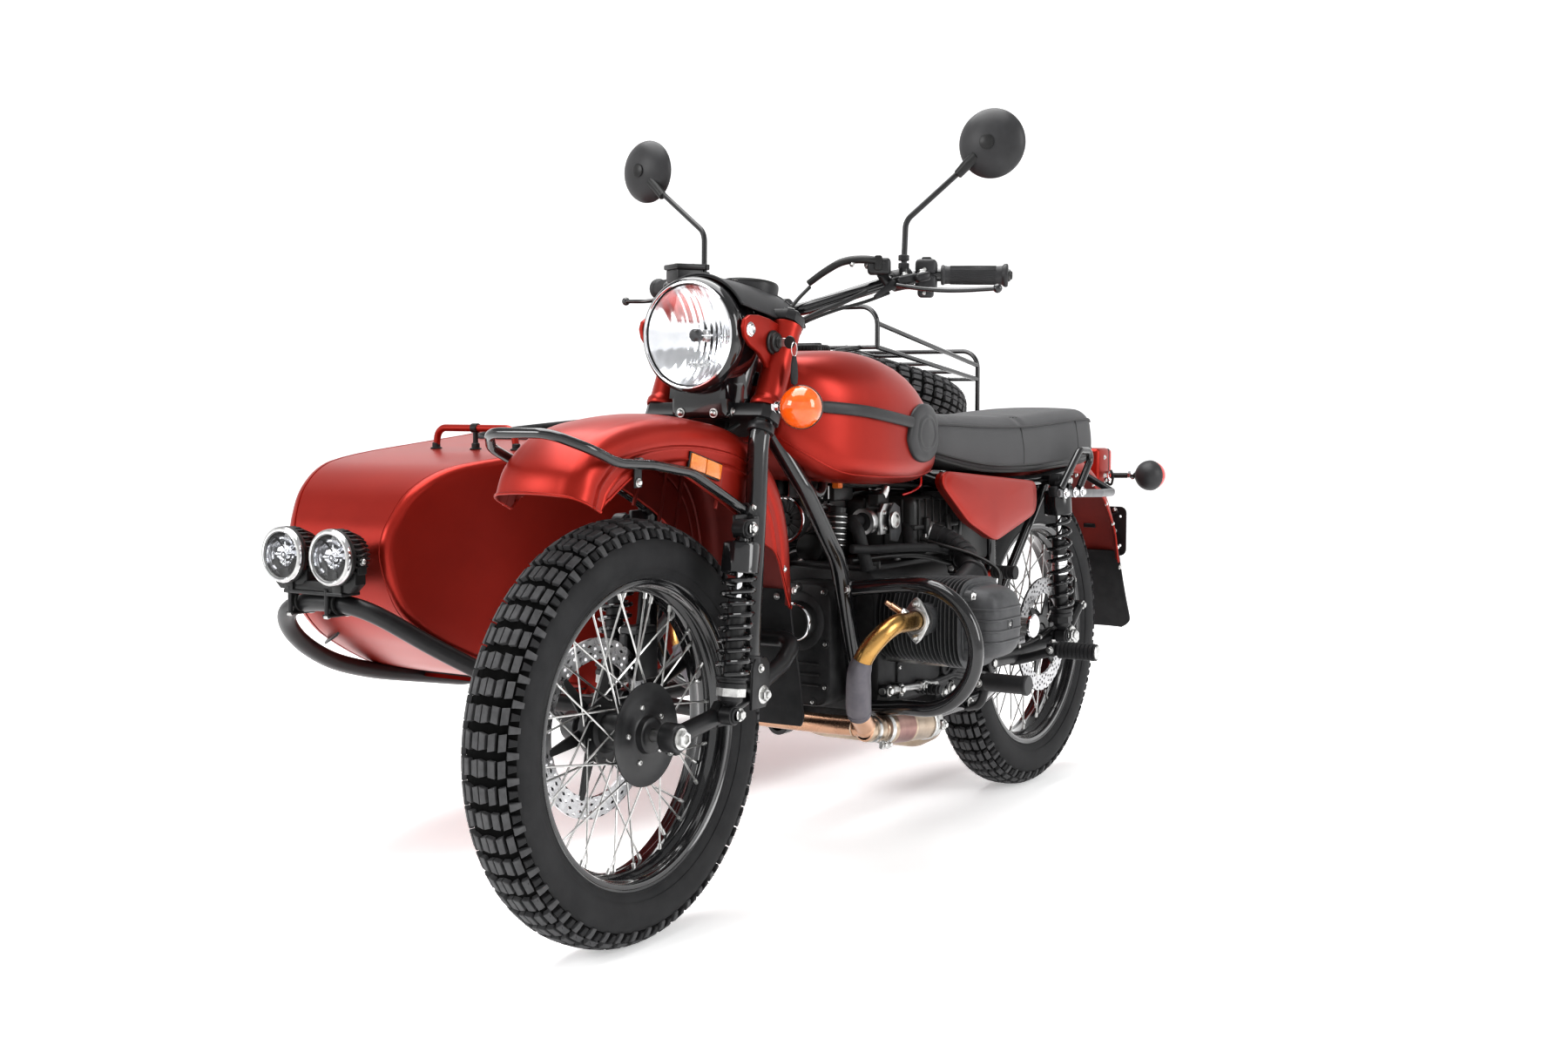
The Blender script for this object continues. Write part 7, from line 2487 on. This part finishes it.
# ------------------------------------------------------------------ rear end
def rear_guard():
    under = [(480, 440), (400, 462), (370, 560), (300, 640), (190, 700), (60, 716), (-130, 716), (-240, 680), (-320, 610), (-360, 540), (-440, 520)]
    dl = [44, 47, 49.5, 52, 54, 57, 60, 64, 70, 78, 86, 96, 110]

    def prof(d):
        return bump(d, 52, 3.2, 2.0)
    sh = Shape()
    guard(sh, REAR_CROWN[:-1] + [(432, 488)], under, 80, 110, 0, "paint_red", "paint_in", dl, prof, n=8)
    o = sh.make("rear_mudguard", "chassis", "paint_red", ["rear_fender"], sharp=34)
    weld(o)
    sh = Shape()
    # bolts along the sides and a stiffening strap inside the tail
    for s in (1, -1):
        for y, z in ((150, 716), (250, 690), (330, 640), (372, 590), (404, 530), (420, 480)):
            bolt(sh, (s * 78.5, y - 14, z - 14), X * s, 4.0, "zinc", "dome")
        # bracket from the frame's end to the mudguard
        prism(sh, [(-22, -16), (40, -10), (46, 6), (34, 16), (-22, 14)], A(s * 82, 60, 712), Y, Z, X * s, 4.0, "satin_black", 1.0, 2)
        bolt(sh, (s * 86.5, 50, 712), X * s, 5.6, "zinc", "hex")
        bolt(sh, (s * 86.5, 88, 712), X * s, 4.6, "zinc", "hex")
    sh.make("rear_guard_fixings", "chassis", "satin_black")

    # tail lamp on a red housing with a dark gasket
    sh = Shape()
    rbox(sh, (-43, 352, 669), (43, 421, 757), "paint_red", 9, 3)
    rbox(sh, (-41, 419, 671), (41, 427, 755), "soft_rubber", 4, 2)
    rbox(sh, (-39, 425, 673), (39, 445.6, 753), "red_lens", 7, 4)
    rbox(sh, (-34, 432, 678), (34, 441, 748), "reflector", 5, 2)
    for k in range(7):
        rbox(sh, (-36, 444.6, 681 + k * 10), (36, 446.0, 684 + k * 10), "red_lens", 0.6, 1)
    for sx in (1, -1):
        for z in (682, 744):
            bolt(sh, (sx * 30, 445.2, z), Y, 2.4, "zinc", "dome", washer=False)
        for z in (690, 735):
            bolt(sh, (sx * 42.6, 388, z), X * sx, 4.0, "zinc", "dome")
    # base pad below it on the mudguard and a small reflector
    rbox(sh, (-30, 360, 655), (30, 412, 672), "satin_black", 6, 2)
    rbox(sh, (-24, 430, 632), (24, 437, 662), "satin_black", 3, 2)
    rbox(sh, (-21, 436, 635), (21, 440, 659), "red_lens", 2, 2)
    # bracket and stalk of the indicator
    prism(sh, [(-10, -22), (10, -22), (12, 10), (6, 16), (-8, 14)], A(36, 400, 690), Y, Z, X, 5, "satin_black", 1.2, 2)
    tube(sh, smooth([(40, 404, 676), (52, 402, 668), (60, 396, 672), (64, 392, 690), (60, 388, 704)], 6), 3.0, "black_plastic", 9)
    bolt(sh, (41.5, 396, 678), X, 4.6, "zinc", "hex")
    lathe(sh, [(6.6, 0), (11, 0.5), (11, 9), (8.5, 12), (8.5, 15)], A(41, 402, 690), unit(A(130, 15, 2)), "chrome", 6)
    sh.make("tail_lamp", "chassis", "red_lens", ["rear_lights"], sharp=34)
    ball_signal("rear_indicator", (150, 417, 692), (0.30, 0.95, 0), "red_lens", "chassis", None, ((150, 417, 692), (41, 402, 690)), "red_lens")

    # plate bracket: rounded plate with four holes (a ring of wall round each), slotted braces and bolts
    sh = Shape()
    bm = bmesh.new()
    out = []
    r = 16
    for cx, cz, a0 in ((80 - r, 612 - r, 0), (-80 + r, 612 - r, 90), (-80 + r, 491 + r, 180), (80 - r, 491 + r, 270)):
        for k in range(7):
            a = math.radians(a0 + 15 * k)
            out.append((cx + r * math.cos(a), cz + r * math.sin(a)))
    ov = [bm.verts.new(Vector((x, 440.3, z))) for x, z in out]
    oe = [bm.edges.new((ov[i], ov[(i + 1) % len(ov)])) for i in range(len(ov))]
    he = []
    for hx in (-65, 65):
        for hz in (516, 588):
            hv = [bm.verts.new(Vector((hx + 3.5 * math.cos(2 * math.pi * k / 14), 440.3, hz + 3.5 * math.sin(2 * math.pi * k / 14)))) for k in range(14)]
            he += [bm.edges.new((hv[i], hv[(i + 1) % 14])) for i in range(14)]
    bmesh.ops.triangle_fill(bm, use_beauty=True, edges=oe + he)
    ex = bmesh.ops.extrude_face_region(bm, geom=list(bm.faces))
    for g in ex["geom"]:
        if isinstance(g, bmesh.types.BMVert):
            g.co.y += 3.4
    bmesh.ops.recalc_face_normals(bm, faces=bm.faces)
    from_bm(sh, bm, "satin_black")
    rbox(sh, (-15.6, 400, 560.4), (15.6, 441, 571.6), "satin_black", 2.5, 2)
    for z0, z1 in ((545, 505), (585, 600)):
        tube(sh, np.array([(0, 424, (z0 + z1) / 2), (34, 437, z0), (60, 438, z1)]), 3.0, "satin_black", 8)
        tube(sh, np.array([(0, 424, (z0 + z1) / 2), (-34, 437, z0), (-60, 438, z1)]), 3.0, "satin_black", 8)
    for x, z in ((50, 604), (50, 552), (50, 502), (-50, 604), (-50, 502)):
        bolt(sh, (x, 440.6, z), -Y, 4.2, "zinc", "dome")
        lathe(sh, [(0, 0), (4.6, 0), (4.6, 1.6), (3.6, 3.0), (0, 3.2)], A(x, 443.4, z), Y, "zinc", 6)
    for x, z in ((50, 600), (-50, 600)):
        lathe(sh, [(0, 0), (6, 0.2), (6.6, 1.4), (6, 3.4), (3.6, 4.4), (0, 4.6)], A(x * 0.7, 443.6, 600), Y, "soft_rubber", 18)
    sh.make("plate_carrier", "chassis", "satin_black", ["plate_bracket"], sharp=34)

    # rear rubber flap
    sh = Shape()
    mid = smooth([(420, 506), (424, 486), (434, 452), (458, 392), (484, 340), (500, 308)], 7)
    V, nx = [], 15
    for i, (y, z) in enumerate(mid):
        t = i / (len(mid) - 1)
        hw = 70 + 5 * math.sin(min(1, t * 1.2) * math.pi / 2)
        if t > 0.80:
            hw -= 26 * ((t - 0.80) / 0.20) ** 2.6
        for j in range(nx):
            u = -1 + 2 * j / (nx - 1)
            V.append((u * hw, y - 4 * (1 - u * u) * t, z + 2.0 * (1 - u * u) * t))
    off = len(V)
    W = [(x, y - 4.6, z - 1.5) for x, y, z in V]
    F, K = [], len(mid)
    for i in range(K - 1):
        for j in range(nx - 1):
            a = i * nx + j
            F.append([a, a + 1, a + nx + 1, a + nx])
            F.append([off + a, off + a + nx, off + a + nx + 1, off + a + 1])
    for i in range(K - 1):
        for j in (0, nx - 1):
            a = i * nx + j
            F.append([a, a + nx, off + a + nx, off + a])
    for i in (0, K - 1):
        for j in range(nx - 1):
            a = i * nx + j
            F.append([a, off + a, off + a + 1, a + 1])
    sh.add(V + W, F, "soft_rubber")
    for x in (-46, 0, 46):
        bolt(sh, (x, 424.5, 494), unit(A(0, 1, 0.1)), 4.4, "zinc", "dome")
    sh.make("rear_rubber_flap", "chassis", "soft_rubber", ["rear_mudflap"], sharp=30)

    # grab handles: black loop bolted to a flat alloy bar
    for s, nm, hd in ((1, "grab_rail_left", ["grab_handles"]), (-1, "grab_rail_right", [])):
        sh = Shape()
        tube(sh, bend([(172, -160, 684), (172, -60, 765), (172, 20, 762), (172, -60, 682)], 24, 9), 8, "gloss_black", 18)
        path = bend([(174, -172, 676), (174, 60, 666), (150, 190, 662), (118, 206, 668)], [0, 60, 30, 0], 9)
        tube(sh, path, 9.0, "alloy_grey", 18, flat=0.62)
        for y in (-150, -100, -62):
            bolt(sh, (180.5, y, 675), X, 7.6, "chrome", "dome")
        lathe(sh, [(8, 0), (14, 0.6), (14, 18), (11, 22), (9, 24)], A(150, -128, 690), X, "satin_black", 24)
        bar(sh, (150, 186, 662), (78, 186, 700), 8, "satin_black", seg=14)
        rbox(sh, (78, 172, 690), (83, 200, 712), "satin_black", 1.5, 1)
        rbox(sh, (150, -176, 668), (170, -84, 690), "satin_black", 5, 2)
        if s < 0:
            sh = sh.mirrored()
        sh.make(nm, "chassis", "satin_black", hd, sharp=36)


surf("alloy_grey", (0.17, 0.17, 0.175), (0.24, 0.24, 0.245), metal=0.7, rough=0.42, rvar=0.05, scale=40, bump=0.12, bscale=900, dist=0.0002)
rear_guard()
shock("rear_shock_left", 147, (-84, 358), (-122, 700), 29, 30, 22, 8.0, "chassis", "rear_shocks", up="chrome")
shock("rear_shock_right", -147, (-84, 358), (-122, 700), 29, 30, 22, 8.0, "chassis", None, up="chrome")
shock("sidecar_spring_unit", -1022, (-150, 330), (-190, 640), 27, 26, 22, 9.0, "chassis", "sidecar_shock")


def swing_arm():
    sh = Shape()
    for s in (1, -1):
        tube(sh, bend([(s * 100, -374, 330), (s * 114, -240, 332), (s * 118, -20, 345)], 80, 8), 17, "satin_black", 26)
        lathe(sh, [(10, 0), (24, 0), (27, 2.5), (27, 25), (24.5, 28), (10, 28)], A(s * 104, 0, 345), X * s, "satin_black", 36)
        bar(sh, (s * 112, -70, 358), (s * 134, -70, 358), 12, "satin_black", seg=22)
        bar(sh, (s * 130, -70, 358), (s * 164, -70, 358), 7.4, "zinc", seg=16)
        lathe(sh, [(7.4, -2), (14, -1.6), (14, 0), (11, 0.4), (11, 6.4), (8, 8), (7.4, 12), (0, 12.6)], A(s * 160, -70, 358), X * s, "zinc", 6)
        rbox(sh, (s * 104, -88, 340), (s * 126, -52, 372), "satin_black", 5, 2)
        # gusset along the tube's top, and weld beads
        prism(sh, [(-60, 0), (60, 4), (30, 22), (-40, 14)], A(s * 112.5, -120, 352), Y, Z, X * s, 5.0, "satin_black", 1.0, 2)
        for y, x, z in ((-356, 101.5, 330.3), (-24, 118, 345)):
            lathe(sh, [(17, -3), (19, -1.4), (19, 1.4), (17, 3)], A(s * x, y, z), Y, "satin_black", 26)
        # pivot end caps
        lathe(sh, [(0, 0), (21, 0.2), (22.4, 1.6), (22.4, 5), (20, 7), (13, 7.6), (12, 5.6), (0, 5.6)], A(s * 117, -376, 330), X * s, "satin_black", 32)
        bolt(sh, (s * 122, -376, 330), X * s, 8.5, "zinc", "hex", washer=False)
    bar(sh, (-118, -376, 330), (118, -376, 330), 19, "satin_black", seg=28)
    for s in (1, -1):
        rbox(sh, (s * 68, -402, 254), (s * 80, -300, 354), "satin_black", 4, 2)
    bar(sh, (-150, 0, 345), (136, 0, 345), 10, "zinc", seg=24)
    # axle nuts, washer and split pin
    lathe(sh, [(10, -1), (21, 0), (21, 3), (16.5, 3.4), (16.5, 12), (14, 14), (10, 14)], A(131, 0, 345), X, "zinc", 6)
    lathe(sh, [(10, 131), (10, 143), (8.4, 146.5), (0, 147)], A(0, 0, 345), X, "zinc", 20)
    lathe(sh, [(0, 131.4), (23, 131.4), (23.6, 132), (23.6, 133.4), (22.4, 134.4), (0, 134.4)], A(0, 0, 345), X, "zinc", 28)
    tube(sh, np.array([(141, -9, 352), (141, 10, 338)]), 1.4, "zinc", 6)
    # bevel drive on the right: ribbed housing with a bolted cover, cone and shaft tube
    c = A(0, 0, 345)
    lathe(sh, [(0, 92), (66, 92), (72, 94.5), (74, 98), (74, 110), (72, 115), (66, 117.6), (40, 119), (38, 122), (40, 126), (39.4, 146), (36, 149.6), (12, 150), (0, 150)], c, -X, "alu_cast", 64)
    for k in range(12):
        a = 2 * math.pi * k / 12
        u = A(0, math.cos(a), math.sin(a))
        tube(sh, np.array([c + u * 42 + A(-121, 0, 0), c + u * 64 + A(-117.6, 0, 0)]), 2.6, "alu_cast", 8)
        if k % 2:
            bolt(sh, c + u * 68 + A(-116, 0, 0), -X, 4.4, "zinc", "hex")
    lathe(sh, [(22, -120), (24, -121), (25.5, -118), (30, -4), (26, 0), (0, 0)], A(-100, 0, 345), -Y * -1, "alu_cast", 36)
    bar(sh, (-100, -285, 335), (-100, -110, 345), 20, "satin_black", seg=26)
    lathe(sh, [(20, -3), (27, -1), (28, 2), (28, 7), (26, 9), (20, 10)], A(-100, -124, 344.4), Y, "alu_cast", 32)
    lathe(sh, [(20, -2), (25, 0), (22, 9), (25, 14), (21.5, 22), (24.5, 28), (20, 34)], A(-100, -286, 335), Y, "soft_rubber", 30)
    # rear caliper on its holder, two pistons, bleed screw and hose
    rbox(sh, (66, 78, 392), (84, 128, 470), "satin_black", 6, 3)
    rbox(sh, (40, 78, 392), (51, 128, 470), "satin_black", 5, 3)
    rbox(sh, (40, 80, 455), (84, 126, 470), "satin_black", 5, 3)
    rbox(sh, (52.5, 84, 398), (55.5, 122, 448), "soft_rubber", 1, 1)
    rbox(sh, (61.5, 84, 398), (64.5, 122, 448), "soft_rubber", 1, 1)
    for z in (412, 446):
        lathe(sh, [(0, 0), (13, 0), (14, 1.5), (13.4, 5), (10, 6.6), (0, 7)], A(83.6, 103, z), X, "satin_black", 24)
    for y, z in ((85, 402), (121, 402), (85, 460), (121, 460)):
        bolt(sh, (84, y, z), X, 4.6, "zinc", "button")
    rbox(sh, (72, 70, 398), (122, 100, 416), "satin_black", 5, 2)
    bar(sh, (116, 10, 350), (116, 85, 410), 9, "satin_black", seg=18)
    bolt(sh, (122, 85, 407), X, 6.5, "zinc", "hex")
    lathe(sh, [(0, 0), (3.2, 0), (3.2, 7), (4.4, 8), (4.4, 12), (2, 14), (0, 14)], A(80, 86, 469), Z, "zinc", 14)
    # brake hose along the arm, held by clips
    hose = smooth([(84, 92, 452), (98, 84, 468), (112, 56, 452), (121, 20, 400), (124, -20, 372), (125, -56, 378), (122, -130, 362), (120, -200, 352), (116, -270, 350), (108, -340, 354), (94, -372, 380)], 7)
    tube(sh, hose, 3.6, "black_plastic", 9)
    for i in (26, 44, 54):
        lathe(sh, [(3.6, -4), (6, -4), (6, 4), (3.6, 4)], hose[i], hose[i + 1] - hose[i], "zinc", 12)
    sh.make("rear_swing_arm_assembly", "chassis", "satin_black", ["rear_swing_arm"], sharp=34)


surf("alu_cast", (0.10, 0.10, 0.105), (0.16, 0.16, 0.165), metal=0.65, rough=0.5, rvar=0.06, scale=40, bump=0.4, bscale=900, dist=0.0003, wear=((0.28, 0.28, 0.28), 0.56))
swing_arm()


def main_frame():
    sh = Shape()
    bar(sh, P_ax(-150), P_ax(-18), 27, "gloss_black", seg=40)
    for s0 in (-150, -18):
        d = 1 if s0 > -50 else -1
        lathe(sh, [(27, -9), (30, -8), (30.6, -6), (30.6, 0), (28, 1.6), (20, 2.2)], A(*P_ax(s0)), UST * d, "gloss_black", 40)
    for s in (1, -1):
        tube(sh, bend([(s * 25, -1136, 878), (s * 84, -1056, 722), (s * 92, -952, 585), (s * 96, -900, 390), (s * 98, -868, 258),
                       (s * 98, -640, 258), (s * 99, -392, 258), (s * 78, -304, 262)], [0, 60, 120, 160, 70, 200, 40, 0], 9), 16, "gloss_black", 26)
        tube(sh, bend([(s * 20, -1118, 915), (s * 44, -1000, 868), (s * 60, -700, 752), (s * 91, -520, 702), (s * 94.5, -120, 700), (s * 94.5, 60, 714)],
                      [0, 80, 120, 80, 120, 0], 8), 13, "gloss_black", 22)
        tube(sh, bend([(s * 76, -304, 256), (s * 76, -300, 470), (s * 90, -335, 702)], 120, 8), 12, "gloss_black", 22)
        bar(sh, (s * 80, -300, 420), (s * 94, -60, 700), 10, "gloss_black", seg=20)
        bar(sh, (s * 84, -100, 700), (s * 134, -100, 700), 11, "gloss_black", seg=22)
        bar(sh, (s * 130, -100, 700), (s * 168, -100, 700), 7.4, "zinc", seg=18)
        lathe(sh, [(7.4, -2), (15, -1.4), (15, 0.2), (11.6, 0.6), (11.6, 7), (9, 9), (7.4, 12), (0, 12.6)], A(s * 160, -100, 700), X * s, "zinc", 6)
        # second tube and slotted plate that stiffen the frame behind the head
        tube(sh, bend([(s * 30, -1122, 842), (s * 66, -1040, 742), (s * 74, -985, 690), (s * 60, -940, 790)], [0, 50, 30, 0], 7), 9, "gloss_black", 18)
        prism(sh, [(-36, -14), (30, -64), (38, -56), (52, -20), (-20, 34)], A(s * 44, -1082, 822), unit(A(0, 1, 0)), unit(A(0, 0, 1)), X * s, 4.0, "gloss_black", 1.2, 2)
        # lug plates at the lower rear and engine mounting ears with their bolts
        for y, z in ((-846, 292), (-520, 292)):
            prism(sh, [(-22, -24), (22, -24), (15, 16), (0, 22), (-15, 16)], A(s * 92, y, z), Y, Z, X * s, 5.0, "gloss_black", 1.0, 2)
            bolt(sh, (s * 97.5, y, z + 4), X * s, 8.0, "zinc", "hex")
        prism(sh, [(-12, -14), (12, -14), (12, 14), (-12, 14)], A(s * 72, -640, 250), Y, Z, X * s, 12.0, "gloss_black", 1.5, 2)
    bar(sh, (-98, -838, 256), (98, -838, 256), 12, "gloss_black", seg=22)
    bar(sh, (-98, -372, 258), (98, -372, 258), 12, "gloss_black", seg=22)
    bar(sh, (-88, -640, 240), (88, -640, 240), 5.8, "zinc", seg=18)
    for s in (1, -1):
        bolt(sh, (s * 84, -640, 240), X * s, 6.4, "zinc", "hex")
    bar(sh, (-90, -505, 702), (90, -505, 702), 11, "gloss_black", seg=20)
    bar(sh, (-94, 45, 705.5), (94, 45, 705.5), 9, "gloss_black", seg=20)
    tube(sh, bend([(0, -1118, 905), (0, -1020, 872), (0, -640, 745), (0, -505, 702)], 90, 8), 15, "gloss_black", 24)
    # wiring loom along the backbone
    tube(sh, smooth([(26, -1090, 866), (34, -1010, 842), (40, -900, 800), (46, -780, 758), (56, -640, 716), (64, -560, 690)], 6), 6.0, "black_plastic", 10)
    sh.make("frame_tubes", "chassis", "gloss_black", ["main_frame"], sharp=36)


main_frame()


def small_ends():
    # centre stand: bent legs with flat feet, foot lever and its spring
    sh = Shape()
    bar(sh, (-66, -640, 240), (66, -640, 240), 10, "satin_black", seg=24)
    for s in (1, -1):
        tube(sh, bend([(s * 56, -640, 240), (s * 58, -500, 238), (s * 60, -415, 238)], [0, 80, 0], 6), 9, "satin_black", 20)
        rbox(sh, (s * 46, -431, 229.4), (s * 76, -405, 246), "satin_black", 4, 2)
        lathe(sh, [(10, -4), (13, -3), (13, 3), (10, 4)], A(s * 62, -640, 240), X, "satin_black", 24)
    bar(sh, (-58, -520, 238), (58, -520, 238), 8, "satin_black", seg=18)
    sh.make("centre_stand_legs", "centre_stand", "satin_black", ["centre_stand"], sharp=36)
    # sidecar wheel carrier: trailing arm, knuckle, axle and caliper
    sh = Shape()
    tube(sh, bend([(-1052, -392, 265), (-1052, -300, 288), (-1052, -50, 345)], 60, 7), 16, "satin_black", 24)
    lathe(sh, [(0, 0), (18, 0), (20, 2), (20, 56), (18, 58), (0, 58)], A(-1012, -380, 268), -X, "satin_black", 32)
    bolt(sh, (-1070, -380, 268), -X, 9, "zinc", "hex")
    lathe(sh, [(0, 0), (24, 0), (26, 2), (26, 36), (23, 38), (0, 38)], A(-1030, -50, 345), -X, "satin_black", 36)
    bar(sh, (-1030, -50, 345), (-1190, -50, 345), 10, "zinc", seg=22)
    lathe(sh, [(10, 0), (20, 0.6), (20, 3.6), (16, 4), (16, 13), (13.6, 15), (10, 15)], A(-1175, -50, 345), -X, "zinc", 6)
    bar(sh, (-1052, -150, 330), (-1008, -150, 330), 7.4, "zinc", seg=16)
    rbox(sh, (-1064, 10, 392), (-1050, 58, 462), "satin_black", 4, 3)
    rbox(sh, (-1092, 10, 392), (-1083, 58, 462), "satin_black", 4, 3)
    rbox(sh, (-1092, 10, 456), (-1050, 58, 464), "satin_black", 3, 2)
    bar(sh, (-1052, -50, 350), (-1052, 30, 420), 9, "satin_black", seg=16)
    for y in (22, 46):
        bolt(sh, (-1050, y, 430), X, 5, "zinc", "button")
    sh.make("sidecar_wheel_carrier", "chassis", "satin_black", ["sidecar_suspension"], sharp=36)
    # drive shaft to the sidecar's wheel, with a joint at each end
    sh = Shape()
    a, b = A(-148, 1, 345), A(-1026, -50, 345)
    d = unit(b - a)
    L = np.linalg.norm(b - a)
    lathe(sh, [(0, 4), (22, 4), (24, 6), (24, 24), (20, 27), (17, 30), (19.5, 40), (19.5, 58), (16, 64), (15.4, L - 64), (19.5, L - 58), (19.5, L - 40), (17, L - 30), (20, L - 27), (24, L - 24), (24, L - 6), (22, L - 4), (0, L - 4)], a, d, "satin_black", 32)
    for h in (35, L - 35):
        for ax in (Z, np.cross(d, Z)):
            bar(sh, a + d * h - unit(ax) * 21, a + d * h + unit(ax) * 21, 6, "zinc", seg=14)
    sh.make("sidecar_wheel_shaft", "chassis", "brushed_steel", ["sidecar_drive_shaft"], sharp=34)


small_ends()
